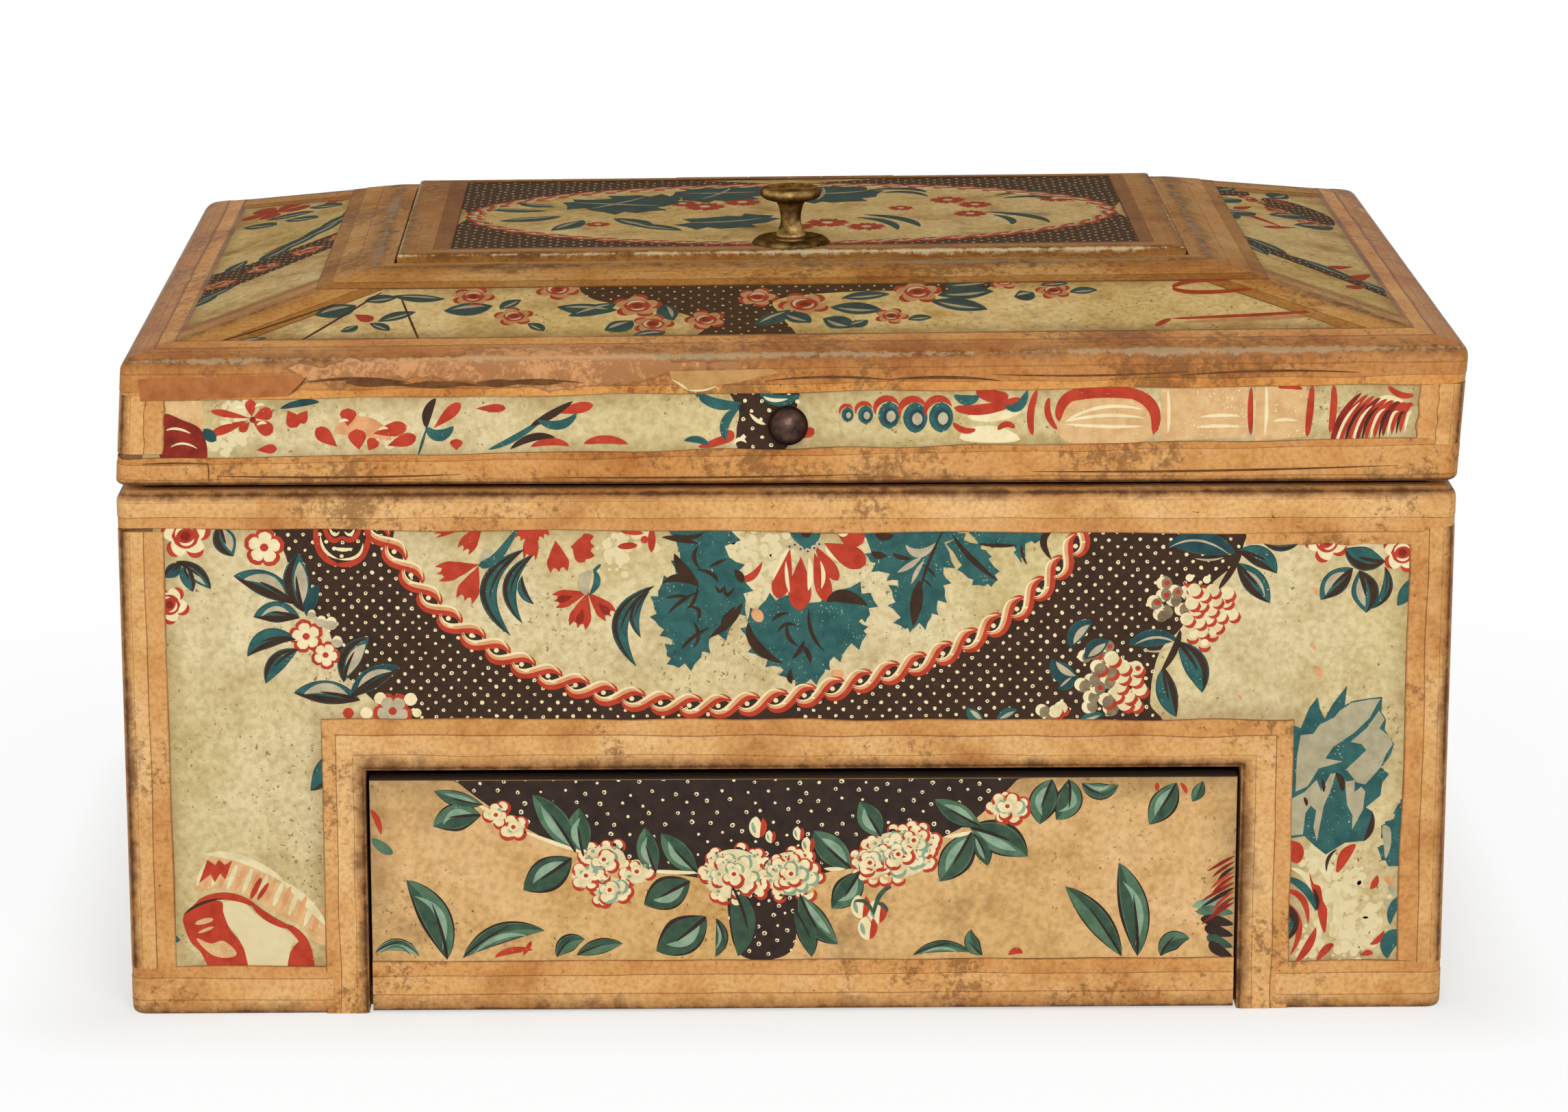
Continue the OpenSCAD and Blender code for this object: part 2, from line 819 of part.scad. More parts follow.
module lid_top_binding() {
    color(binding_paper) difference() {
        intersection() {
            lid_skin(binding_t);
            tilted() flat_column(top_strip_w);
        }
        tilted() well_column();
    }
}

// The lift stud on the front: a domed head, a neck and a shank clenched inside the rim
module lift_stud() {
    steps = 10;
    neck_y = paper_t;
    inside = board_t;
    dome = [for (i = [0:steps])
        [stud_r * cos(90 * i / steps), neck_y + stud_neck_l + (stud_h - stud_neck_l) * sin(90 * i / steps)]];
    color(iron) translate([0, face_y, lid_foot + stud_z]) rotate([90, 0, 0]) rotate_extrude()
        polygon(concat(
            [[0, -inside - stud_clench_h], [stud_neck_r, -inside - stud_clench_h], [stud_neck_r, -inside],
             [stud_shank_r, -inside], [stud_shank_r, neck_y], [stud_neck_r, neck_y],
             [stud_neck_r, neck_y + stud_neck_l]],
            dome));
}

// Small lid

module hatch_board() {
    color(wood) tilted() difference() {
        block([hatch_l + binding_t, -hatch_y + binding_t, hatch_bottom],
              [hatch_r - binding_t, hatch_y - binding_t, hatch_board_top]);
        knob_hole();
    }
}

module hatch_paper() {
    color(print_paper) tilted() difference() {
        block([hatch_l + hatch_strip_w, -hatch_y + hatch_strip_w, hatch_board_top],
              [hatch_r - hatch_strip_w, hatch_y - hatch_strip_w, hatch_board_top + paper_t]);
        knob_hole();
    }
}

// Over the small lid's edges and down its sides, with a place for the hinge's leaf
module hatch_binding() {
    color(binding_paper) tilted() difference() {
        block([hatch_l, -hatch_y, hatch_bottom], [hatch_r, hatch_y, hatch_top]);
        block([hatch_l + binding_t, -hatch_y + binding_t, hatch_bottom - 1],
              [hatch_r - binding_t, hatch_y - binding_t, hatch_board_top]);
        block([hatch_l + hatch_strip_w, -hatch_y + hatch_strip_w, hatch_bottom],
              [hatch_r - hatch_strip_w, hatch_y - hatch_strip_w, hatch_top + 1]);
        hatch_leaf_plate(pin_fit);
        knob_hole();
    }
}

// The plate of the small hinge's leaf in the small lid's back edge
module hatch_leaf_plate(grow) {
    block([lid_lean - hatch_hinge_l / 2 - grow, hatch_y - hatch_leaf_t - grow, hatch_bottom - grow],
          [lid_lean + hatch_hinge_l / 2 + grow, hatch_y + grow, hatch_axis_z + grow]);
}

module at_hatch_hinge() { translate([lid_lean, hatch_axis_y, hatch_axis_z]) children(); }

// The small hinge's leaf on the small lid, which carries the middle knuckle
module hatch_leaf() {
    third = hatch_hinge_l / 3;
    color(brass) tilted() difference() {
        union() {
            hatch_leaf_plate(0);
            at_hatch_hinge() {
                knuckles(hatch_hinge_l, hatch_knuckle_r, true);
                translate([-(third - knuckle_gap) / 2, hatch_y - hatch_axis_y - eps, -hatch_knuckle_r])
                    cube([third - knuckle_gap, hatch_axis_y - hatch_y + eps, hatch_knuckle_r]);
            }
        }
        at_hatch_hinge() knuckle_bore(hatch_hinge_l, hatch_pin_r);
    }
}

// The small hinge's leaf on the flat top, which carries the outer knuckles
module frame_leaf() {
    third = hatch_hinge_l / 3;
    drop = hatch_axis_z - flat_top;
    clear = hatch_knuckle_r + knuckle_gap;
    color(brass) tilted() difference() {
        at_hatch_hinge() {
            knuckles(hatch_hinge_l, hatch_knuckle_r, false);
            for (i = [-1, 1])
                translate([i * third - (third - knuckle_gap) / 2, 0, -drop])
                    cube([third - knuckle_gap, clear + eps, drop]);
            translate([-hatch_hinge_l / 2, clear, -drop])
                cube([hatch_hinge_l, hatch_leaf_w - clear, hatch_leaf_t]);
        }
        at_hatch_hinge() knuckle_bore(hatch_hinge_l, hatch_pin_r);
    }
}

module hatch_pin() {
    head = hatch_pin_r + (hatch_knuckle_r - hatch_pin_r) / 2;
    color(brass) tilted() at_hatch_hinge() pin(hatch_hinge_l, hatch_pin_r, head, hatch_leaf_t);
}

// A stamped disc with a sunk field and a raised edge, under the knob
module rosette() {
    groove_r = (rosette_r + knob_foot_r) / 2;
    color(brass) tilted() translate([lid_lean, knob_y, hatch_top]) rotate_extrude()
        polygon([
            [knob_tail_r + shank_fit, 0], [rosette_r, 0], [rosette_r, rosette_t / 2],
            [(rosette_r + groove_r) / 2, rosette_t], [groove_r, rosette_t / 2],
            [knob_foot_r, rosette_t], [knob_tail_r + shank_fit, rosette_t]
        ]);
}

// A turned knob with a dished cap and a waist, and a tail clenched under the small lid
module knob() {
    steps = 12;
    cap_z = knob_h - knob_cap_t;
    waist_z = cap_z * 5 / 12;
    dish_r = knob_cap_r - knob_cap_t / 2;
    dish_steps = 4;
    below = hatch_top - hatch_bottom + rosette_t;
    rise = [for (i = [0:steps])
        let (z = cap_z * i / steps,
             share = z < waist_z ? 1 - z / waist_z : (z - waist_z) / (cap_z - waist_z),
             out = z < waist_z ? knob_foot_r : knob_cap_r)
        [knob_neck_r + (out - knob_neck_r) * (1 - cos(90 * share)), z]];
    dish = [for (i = [0:dish_steps])
        let (share = 1 - i / dish_steps)
        [dish_r * share, knob_h - knob_dish * (1 - share * share)]];
    color(brass) tilted() translate([lid_lean, knob_y, hatch_top + rosette_t]) rotate_extrude()
        polygon(concat(
            [[0, -below - knob_clench_h], [knob_clench_r, -below - knob_clench_h],
             [knob_clench_r, -below], [knob_tail_r, -below], [knob_tail_r, 0]],
            rise,
            [[knob_cap_r, knob_h - knob_cap_t / 3]],
            dish));
}

// Drawer

module drawer_front() {
    color(wood) block([drawer_l, face_y, drawer_foot_gap], [drawer_r, drawer_inner_y, drawer_top]);
}

module drawer_left_side() {
    color(wood) block([drawer_l, drawer_inner_y, drawer_floor_z],
                      [drawer_l + drawer_wall_t, drawer_end_y, drawer_wall_top]);
}

module drawer_right_side() {
    color(wood) block([drawer_r - drawer_wall_t, drawer_inner_y, drawer_floor_z],
                      [drawer_r, drawer_end_y, drawer_wall_top]);
}

module drawer_back() {
    color(wood) block([drawer_l + drawer_wall_t, drawer_end_y - drawer_wall_t, drawer_floor_z],
                      [drawer_r - drawer_wall_t, drawer_end_y, drawer_wall_top]);
}

module drawer_bottom() {
    color(wood) block([drawer_l + drawer_wall_t, drawer_inner_y, drawer_floor_z],
                      [drawer_r - drawer_wall_t, drawer_end_y - drawer_wall_t,
                       drawer_floor_z + drawer_bottom_t]);
}

module drawer_paper() {
    color(drawer_print) block([drawer_l, face_y - paper_t, drawer_foot_gap + binding_w],
                              [drawer_r, face_y, drawer_top]);
}

module drawer_binding() {
    color(binding_paper) block([drawer_l, face_y - binding_t, drawer_foot_gap],
                               [drawer_r, face_y, drawer_foot_gap + binding_w]);
}

front_panel();
left_foot_panel();
right_foot_panel();
back_board();
left_side_board();
right_side_board();
base_board();
compartment_floor();
left_drawer_cheek();
right_drawer_cheek();
front_paper();
side_papers();
case_top_binding();
case_corner_bindings();
case_foot_binding();
opening_binding();
left_case_leaf();
right_case_leaf();
hinge_pins();
case_hinge_nails();
front_rim_board();
back_rim_board();
left_rim_board();
right_rim_board();
front_slope_board();
back_slope_board();
left_slope_board();
right_slope_board();
front_well_wall();
back_well_wall();
left_well_wall();
right_well_wall();
well_floor();
well_ledges();
rim_papers();
slope_papers();
lid_foot_binding();
lid_corner_bindings();
eave_bindings();
lid_top_binding();
lift_stud();
left_lid_leaf();
right_lid_leaf();
lid_hinge_nails();
frame_leaf();
hatch_board();
hatch_paper();
hatch_binding();
hatch_leaf();
hatch_pin();
rosette();
knob();
drawer_front();
drawer_left_side();
drawer_right_side();
drawer_back();
drawer_bottom();
drawer_paper();
drawer_binding();
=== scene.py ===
from functools import partial
from math import comb

import bmesh
import bpy
import numpy as np
from mathutils import Matrix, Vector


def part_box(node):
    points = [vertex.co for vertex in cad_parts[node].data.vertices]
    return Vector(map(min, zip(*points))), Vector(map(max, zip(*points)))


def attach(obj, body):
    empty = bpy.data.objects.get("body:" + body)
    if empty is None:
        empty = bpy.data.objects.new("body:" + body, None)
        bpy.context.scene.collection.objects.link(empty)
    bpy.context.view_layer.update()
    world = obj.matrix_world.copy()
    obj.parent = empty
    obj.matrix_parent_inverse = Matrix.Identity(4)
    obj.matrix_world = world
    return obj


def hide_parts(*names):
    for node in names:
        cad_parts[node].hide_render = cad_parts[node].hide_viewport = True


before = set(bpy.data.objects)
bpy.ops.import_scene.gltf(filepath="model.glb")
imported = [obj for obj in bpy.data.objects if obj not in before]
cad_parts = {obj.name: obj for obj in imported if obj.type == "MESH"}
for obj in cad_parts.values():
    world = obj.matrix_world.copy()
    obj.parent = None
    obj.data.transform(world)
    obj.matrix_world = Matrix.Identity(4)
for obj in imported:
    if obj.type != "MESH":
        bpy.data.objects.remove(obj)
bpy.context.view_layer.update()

# Boards of the case, the lid and the drawer
# Thin pine boards, sawn, butted and nailed, left bare inside and browned by long handling.
# Growth lines about 1.5 mm apart run along each board, and dirt lies in soft clouds over them.


def linear(colour):
    """An sRGB hex colour in linear light: c / 12.92 when dark, ((c + 0.055) / 1.055) ^ 2.4 above."""
    c = np.array([int(colour[i:i + 2], 16) for i in (1, 3, 5)]) / 255
    return (*np.where(c <= 0.04045, c / 12.92, ((c + 0.055) / 1.055) ** 2.4), 1.0)


def node(tree, kind, *inputs, stops=None, out=None, **named):
    """Adds one node and gives its output. Inputs go in turn, or by name with a capital and _ for a space: a
    socket is linked, any other value set. Small names are settings, stops a ramp's places and colours."""
    made = tree.nodes.new("ShaderNode" + kind)
    for key in filter(str.islower, named):
        setattr(made, key, named[key])
    if stops:
        while len(made.color_ramp.elements) < len(stops):
            made.color_ramp.elements.new(0.5)
        for element, (place, colour) in zip(made.color_ramp.elements, stops):
            element.position = place
            element.color = linear(colour)
    by_name = {socket.name.replace(" ", "_"): socket for socket in made.inputs if socket.enabled}
    pairs = [*zip(made.inputs, inputs), *((by_name[key], named[key]) for key in named if not key.islower())]
    for socket, value in pairs:
        if isinstance(value, bpy.types.NodeSocket):
            tree.links.new(value, socket)
        else:
            socket.default_value = linear(value) if isinstance(value, str) else value
    if out:
        return made.outputs[out]
    return next((socket for socket in made.outputs if socket.enabled), None)


def new_material(name):
    """An empty material, and the function that adds nodes to it."""
    material = bpy.data.materials.new(name)
    material.use_nodes = True
    material.node_tree.nodes.clear()
    return material, partial(node, material.node_tree)


def laid_over(add, colour, value, low, high, most, over):
    """One colour over another: none of it up to the low value, and the share most from the high one on."""
    share = add("MapRange", Value=value, From_Min=low, From_Max=high, To_Max=most)
    return add("Mix", share, A=colour, B=over, data_type="RGBA")


def aged_pine(name, stretch, late="#5F4125", early="#8C653C", pale="#AB8352"):
    """Bare old pine. Stretch is the lines per metre along X, Y and Z: few along the grain, many across it."""
    material, add = new_material(name)
    place = add("TexCoord", out="Object")
    along = add("Mapping", Vector=place, Scale=stretch)
    grain = add("TexNoise", Vector=along, Scale=1, Detail=4, Distortion=0.6)
    colour = add("ValToRGB", Fac=grain, stops=[(0.30, late), (0.48, early), (0.68, pale)])
    cloud = add("TexNoise", Vector=place, Scale=22, Detail=5)
    colour = laid_over(add, colour, cloud, 0.45, 0.75, 0.7, "#4A3119")
    bump = add("Bump", Height=grain, Strength=0.25, Distance=0.0003)
    shader = add("BsdfPrincipled", Base_Color=colour, Roughness=0.72, Normal=bump)
    add("OutputMaterial", Surface=shader)
    return material


pine_along_x = aged_pine("aged_pine_along_x", (12.0, 650.0, 650.0))
pine_along_y = aged_pine("aged_pine_along_y", (650.0, 12.0, 650.0))
# The drawer front's board is near black. This is painted shade: its colour stands in for the shadow on its
# top edge in the narrow gap under the opening's strip.
handled_pine = aged_pine("handled_pine", (12.0, 650.0, 650.0), "#1C1109", "#2B1B0E", "#3C2714")
for name, cad_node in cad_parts.items():
    if name.endswith(("board", "panel", "floor", "bottom", "ledges", "front", "wall",
            "drawer_back", "_side", "cheek")):
        across = name.startswith(("left_", "right_")) and not name.endswith("foot_panel")
        lengthwise = across or name in ("drawer_left_side", "drawer_right_side", "well_ledges")
        cad_node.data.materials.clear()
        # The drawer front gets the near-black wood, whose colour is painted shade for the dark gap over the
        # drawer.
        wood = handled_pine if name == "drawer_front" else pine_along_y if lengthwise else pine_along_x
        cad_node.data.materials.append(wood)

# Printed paper on the case front
# A sheet of wallpaper pasted over the boards and cut round the drawer: a warm greenish ground, mottled,
# specked by flies and damp, and browner where hands and the pasted strips have rubbed it.

half_w, half_d = 164.3, 106.8
front_y = -half_d
paper_t = 0.35
opening = (-105.5, 113.5, 64.0)


def face_at(origin, across, up):
    """A flat face as a function: a point u across and v up, h above the paper, all in millimetres."""
    origin, across, up = (np.array(v, float) for v in (origin, across, up))
    out = np.cross(across, up)

    def place(u, v, h):
        u, v, h = np.broadcast_arrays(u, v, h)
        return origin + u[..., None] * across + v[..., None] * up + (h[..., None] + paper_t) * out
    return place


def add_piece(name, verts, faces, material, body, slot, stands_for=(), smooth=False):
    """Puts points in millimetres and their faces into a mesh that rides on a body."""
    mesh = bpy.data.meshes.new(name)
    mesh.from_pydata((np.asarray(verts) * 0.001).tolist(), [], faces)
    mesh.materials.append(material)
    if smooth:
        mesh.shade_smooth()
    piece = bpy.data.objects.new(name, mesh)
    bpy.context.scene.collection.objects.link(piece)
    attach(piece, body)
    if stands_for:
        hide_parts(*stands_for)
    return piece


def close_paper(add, colour, height, strength, deep, gloss, shine):
    """The last nodes of a paper or a paint: a relief from a height, the shader and the output."""
    bump = add("Bump", Height=height, Strength=strength, Distance=deep)
    shader = add("BsdfPrincipled", Base_Color=colour, Roughness=gloss, Specular_IOR_Level=shine, Normal=bump)
    add("OutputMaterial", Surface=shader)


def printed_paper(name, light, middle, dark, grime, gloss, stained=0.5, shine=0.25):
    """Sized paper with a brushed ground: clouds of 15 mm, a mottle of 1.5 mm, brown stains and fly specks,
    and grime that fades within some 6 mm of an edge, read from the sheet's own distance attribute."""
    material, add = new_material(name)
    place = add("TexCoord", out="Object")
    cloud = add("TexNoise", Vector=place, Scale=65, Detail=6, Roughness=0.62)
    colour = add("ValToRGB", Fac=cloud, stops=[(0.30, dark), (0.47, middle), (0.66, light)])
    mottle = add("TexNoise", Vector=place, Scale=650, Detail=3)
    shade = add("ValToRGB", Fac=mottle, stops=[(0.30, "#DCD6C6"), (0.62, "#FFFFFF")])
    colour = add("Mix", 0.8, A=colour, B=shade, data_type="RGBA", blend_type="MULTIPLY")
    drift = add("TexNoise", Vector=place, Scale=15, Detail=3)
    shade = add("ValToRGB", Fac=drift, stops=[(0.40, "#F3F0DC"), (0.60, "#FFFFFF")])
    colour = add("Mix", 0.8, A=colour, B=shade, data_type="RGBA", blend_type="MULTIPLY")
    blot = add("TexNoise", Vector=place, Scale=36, Detail=9, Roughness=0.74)
    colour = laid_over(add, colour, blot, 0.55, 0.72, stained, grime)
    spread = add("TexNoise", Vector=place, Scale=40, Detail=2)
    speck = add("TexNoise", Vector=place, Scale=800, Detail=2, Roughness=0.7)
    speck = add("Math", spread, 0.35, speck, operation="MULTIPLY_ADD")
    colour = laid_over(add, colour, speck, 0.85, 0.90, 0.75, "#6A4A22")
    edge = add("Attribute", out="Fac", attribute_name="from_edge")
    edge = add("MapRange", Value=edge, From_Min=6, From_Max=0, To_Min=0, To_Max=1)
    ragged = add("TexNoise", Vector=place, Scale=140, Detail=5, Roughness=0.65)
    edge = add("Math", edge, ragged, operation="MULTIPLY")
    colour = laid_over(add, colour, edge, 0.12, 0.75, 0.75, grime)
    close_paper(add, colour, mottle, 0.12, 0.0002, gloss, shine)
    return material


def sheet(name, place, u, v, from_edge, material, body, slot, stands_for=(), keep=None):
    """A sheet on a face, from grids of u and v in millimetres. From_edge is each point's distance to the
    nearest strip. Cells whose middle keep turns down are left out, and Solidify makes it thick."""
    rows, columns = u.shape
    index = np.arange(rows * columns).reshape(rows, columns)
    cells = np.stack([index[:-1, :-1], index[:-1, 1:], index[1:, 1:], index[1:, :-1]], -1).reshape(-1, 4)
    if keep is not None:
        cells = cells[keep(u.ravel()[cells].mean(1), v.ravel()[cells].mean(1))]
    used, cells = np.unique(cells, return_inverse=True)
    verts = place(u, v, 0.0).reshape(-1, 3)[used]
    piece = add_piece(name, verts, cells.reshape(-1, 4).tolist(), material, body, slot, stands_for)
    edge = piece.data.attributes.new("from_edge", "FLOAT", "POINT")
    edge.data.foreach_set("value", np.asarray(from_edge, float).ravel()[used].astype(np.float32))
    thick = piece.modifiers.new("paper thickness", "SOLIDIFY")
    thick.thickness = 0.0003
    thick.offset = -1.0
    return piece


green_ground = printed_paper("printed_paper_green_ground", "#DDCDA2", "#D3C194", "#C0AB78", "#8C6B38", 0.74)
on_front = face_at((0, front_y, 0), (1, 0, 0), (0, 0, 1))
u, v = np.meshgrid(np.linspace(-156, 156, 157), np.linspace(9, 129, 61))
to_strip = np.minimum(np.minimum(u + 153.4, 153.4 - u), np.minimum(v - 12.8, 125.0 - v))
round_opening = np.maximum(np.maximum(-115.8 - u, u - 126.3), v - 77.0)
sheet("front_sheet", on_front, u, v, np.minimum(to_strip, round_opening), green_ground, "case",
    "printed_paper", ["front_paper"], lambda x, z: (x < -108) | (x > 117) | (z > 68))

# Block print on the case front
# Distemper laid on with carved blocks, one for each colour, and touched up with the brush: red, blue-green,
# umber, cream. Each colour stands a few hundredths of a millimetre proud and has worn through in flecks.


def distemper(name, colour, deep, fleck, worn, shine=0.15):
    """Matt glue paint: a soft mottle of 4 mm between two shades, and flecks of about 0.4 mm where the ground
    shows through. Worn is the share of flecks, from 0 to 1."""
    material, add = new_material(name)
    place = add("TexCoord", out="Object")
    mottle = add("TexNoise", Vector=place, Scale=260, Detail=5, Roughness=0.6)
    tone = add("ValToRGB", Fac=mottle, stops=[(0.35, deep), (0.60, colour)])
    grit = add("TexNoise", Vector=place, Scale=1900, Detail=2)
    rub = add("TexNoise", Vector=place, Scale=150, Detail=3)
    flecks = add("Math", rub, 0.35, grit, operation="MULTIPLY_ADD")
    tone = laid_over(add, tone, flecks, 0.95 - 0.11 * worn, 1.01 - 0.11 * worn, 1.0, fleck)
    close_paper(add, tone, grit, 0.15, 0.0001, 0.75, shine)
    return material


tones = {"umber": ("#3D2A1E", "#322217", "#74583A", 0.25), "red": ("#B63F2A", "#A2331F", "#D89A70", 0.4),
    "wine": ("#8E2B1E", "#6E2018", "#C9805E", 0.3), "teal": ("#335F5B", "#274D4B", "#A9BBA3", 0.8),
    "deep": ("#2A4A4C", "#20393D", "#6B8680", 0.4), "cream": ("#E9DAB0", "#DDCB9B", "#CBB280", 0.4),
    "grey": ("#BDAF90", "#A3977B", "#DBCDA8", 0.5), "peach": ("#D89F70", "#C78A5A", "#E7CCA0", 0.5),
    "haze": ("#DACBA0", "#D4C497", "#D1BF91", 0.9), "smoke": ("#8E7D60", "#6C5C45", "#C2B088", 0.7),
    "pale": ("#DFD2A6", "#CDBC8E", "#C2AE80", 0.5), "buff": ("#D6AF7C", "#C79C69", "#EAD8B0", 0.9),
    "stone": ("#B0A585", "#9A9274", "#6F8A80", 0.7)}
paints = {name: distemper(f"{name}_distemper", *tone) for name, tone in tones.items()}
ink = {}
cut_outs = {}
dots = {}


def own_step():
    """A tiny height for each touch in turn, in 20 steps of 0.001 mm, so that no two lie in one plane."""
    return 0.001 * (sum(len(touches) for store in (ink, cut_outs) for touches in store.values()) % 20)


def stroke(colour, points, half, lift, blunt=0.5, lean=1.0, own=True):
    """One touch of the brush along a curve drawn by guide points: half its width and its lift over the paper
    in millimetres. Blunt 1 ends in points, 0.5 is rounded and 0.2 even; lean over 1 is full near the end."""
    high = lift + own_step() if own else lift
    ink.setdefault(colour, []).append((np.array(points, float), half, high, blunt, lean))


def brushed(touches, steps):
    """Solids for strokes with the same number of guide points. A point at share s of a stroke is the sum of
    C(n, i) s^i (1 - s)^(n - i) times guide point i; its half width is half sin(pi s^lean)^blunt, laid off to
    both sides; four points go round each cross-section, two on the paper and two at the lift."""
    guide = np.array([touch[0] for touch in touches])
    half, lift, blunt, lean = (np.array([touch[i] for touch in touches])[:, None] for i in (1, 2, 3, 4))
    s = np.linspace(0, 1, steps)
    n = guide.shape[1] - 1
    share = np.array([comb(n, i) * s ** i * (1 - s) ** (n - i) for i in range(n + 1)])
    path = np.einsum("is,kij->ksj", share, guide)
    run = np.gradient(path, axis=1)
    side = np.stack([-run[..., 1], run[..., 0]], -1) / np.maximum(np.hypot(run[..., :1], run[..., 1:]), 1e-9)
    width = np.maximum(half * np.sin(np.pi * s ** lean).clip(0) ** blunt, 0.03)
    across = np.array([-1.0, -0.93, 0.93, 1.0])
    flat = path[:, :, None] + side[:, :, None] * (width[..., None] * across)[..., None]
    high = np.broadcast_to(lift[:, :, None] * np.array([0, 1, 1, 0]) - 0.03 * np.array([1, 0,
        0, 1]), flat.shape[:3])
    index = np.arange(flat[..., 0].size).reshape(flat.shape[:3])
    nearby = np.roll(index, -1, axis=2)
    walls = np.stack([index[:, :-1], index[:, 1:], nearby[:, 1:], nearby[:, :-1]], -1).reshape(-1, 4)
    faces = np.concatenate([walls, index[:, 0], index[:, -1, ::-1]])
    return flat.reshape(-1, 2), high.ravel(), faces.tolist()


def prism(outline, lift):
    """A flat cut-out: its outline on the paper and again at the lift, a wall between them and two lids."""
    outline = np.array(outline, float)
    if np.sum(outline[:, 0] * np.roll(outline[:, 1], -1) - np.roll(outline[:, 0], -1) * outline[:, 1]) < 0:
        outline = outline[::-1]
    n = len(outline)
    i = np.arange(n)
    walls = np.stack([i, (i + 1) % n, (i + 1) % n + n, i + n], -1).tolist()
    high = np.repeat([-0.03, lift], n)
    return np.concatenate([outline, outline]), high, walls + [i[::-1].tolist(), (i + n).tolist()]


def cubics(a, b, c, d, steps):
    """Points from b towards c at equal shares, on a cubic whose slope at each of the two is half the way from
    the point before it to the one after. A is the point before b, d the one after c."""
    s = np.linspace(0, 1, steps, endpoint=False)[None, :, None]
    a, b, c, d = (q[:, None] for q in (a, b, c, d))
    curve = b + 0.5 * s * (c - a + s * (2 * a - 5 * b + 4 * c - d + s * (3 * (b - c) + d - a)))
    return curve.reshape(-1, 2)


def smooth_loop(points):
    """A closed curve through the points, six steps from each to the next."""
    p = np.array(points, float)
    return cubics(np.roll(p, 1, 0), p, np.roll(p, -1, 0), np.roll(p, -2, 0), 6)


def blot(colour, points, lift, sharp=False):
    """A cut-out filled with one colour, through its points by a smooth curve or by straight cuts."""
    outline = np.array(points, float) if sharp else smooth_loop(points)
    cut_outs.setdefault(colour, []).append((outline, lift + own_step()))


def inside(points, outline):
    """Which points lie in an outline: a ray from them to the right crosses it an odd number of times."""
    x, y = points[:, :1], points[:, 1:]
    x0, y0 = outline[:, 0], outline[:, 1]
    x1, y1 = np.roll(x0, -1), np.roll(y0, -1)
    meets = x0 + (y - y0) / np.where(y1 == y0, 1e-9, y1 - y0) * (x1 - x0)
    return (((y0 > y) != (y1 > y)) & (x < meets)).sum(1) % 2 == 1


def dotted_ground(outline, seed, pitch=3.75, radius=0.46, jitter=0.16, lift=0.03):
    """An umber field with cream dots in staggered rows, each dot a little out of place and of its own size,
    and every other one with a dark middle."""
    outline = smooth_loop(outline)
    cut_outs.setdefault("umber", []).append((outline, lift))
    rng = np.random.default_rng(seed)
    low, high = outline.min(0), outline.max(0)
    x, y = np.meshgrid(np.arange(low[0], high[0], pitch), np.arange(low[1], high[1], pitch / 2))
    x = x + (np.arange(len(y)) % 2)[:, None] * pitch / 2
    spots = np.stack([x.ravel(), y.ravel()], -1) + rng.normal(0, jitter, (x.size, 2))
    spots = spots[inside(spots, outline)]
    size = radius * rng.uniform(0.8, 1.15, len(spots))
    dots.setdefault("cream", []).append((spots, size, lift + 0.03, seed))
    ringed = rng.random(len(spots)) < 0.5
    dots.setdefault("umber", []).append((spots[ringed] + 0.06, 0.36 * size[ringed], lift + 0.05, seed))


def dot_solids(spots, size, lift, seed):
    """Eight-sided dots: corner k lies at the dot's size, varied by a sixth, at k times 45 degrees."""
    rng = np.random.default_rng(seed)
    turn = np.arange(8) * np.pi / 4
    reach = size[:, None] * rng.uniform(0.84, 1.16, (len(spots), 8))
    ring = spots[:, None] + reach[..., None] * np.stack([np.cos(turn), np.sin(turn)], -1)
    flat = np.concatenate([ring, ring], 1)
    high = np.broadcast_to(np.repeat([-0.03, lift], 8), flat.shape[:2])
    index = np.arange(len(spots) * 16).reshape(-1, 16)
    k = np.arange(8)
    walls = np.stack([index[:, k], index[:, (k + 1) % 8], index[:, (k + 1) % 8 + 8], index[:, k + 8]], -1)
    faces = walls.reshape(-1, 4).tolist() + index[:, 7::-1].tolist() + index[:, 8:].tolist()
    return flat.reshape(-1, 2), high.ravel(), faces


def print_on(name, place, body, slot, limit, palette=paints):
    """Turns the waiting strokes, cut-outs and dots into one piece for each colour on a face. Limit holds
    every point's u and v within the face, under the strips."""
    for colour in sorted(set(ink) | set(cut_outs) | set(dots)):
        solids = [prism(outline, lift) for outline, lift in cut_outs.get(colour, [])]
        solids += [dot_solids(*group) for group in dots.get(colour, [])]
        batches = {}
        for touch in ink.get(colour, []):
            reach = np.abs(np.diff(touch[0], axis=0)).sum()
            batches.setdefault((len(touch[0]), 9 if reach < 7 else 17), []).append(touch)
        solids += [brushed(touches, steps) for (_, steps), touches in sorted(batches.items())]
        verts, faces, count = [], [], 0
        for flat, high, cells in solids:
            across, up = limit(flat[:, 0], flat[:, 1])
            verts.append(place(across, up, high))
            faces += [[corner + count for corner in cell] for cell in cells]
            count += len(flat)
        add_piece(f"{name}_{colour}", np.concatenate(verts), faces, palette[colour], body, slot)
    for waiting in (ink, cut_outs, dots):
        waiting.clear()


def within(low_u, high_u, low_v, high_v):
    """A limit that holds u and v between two values each."""
    return lambda u, v: (np.clip(u, low_u, high_u), np.clip(v, low_v, high_v))


def from_place(x, y, *flat):
    """Guide points or an outline from a place of its own, x and y by turns."""
    return np.reshape(flat, (-1, 2)) + (x, y)


def strokes(colour, x, y, lift, blunt, *rows):
    """Touches of one colour from one place: a row is guide points, x and y by turns, then half the width."""
    for *flat, half in rows:
        stroke(colour, from_place(x, y, *flat), half, lift, blunt)


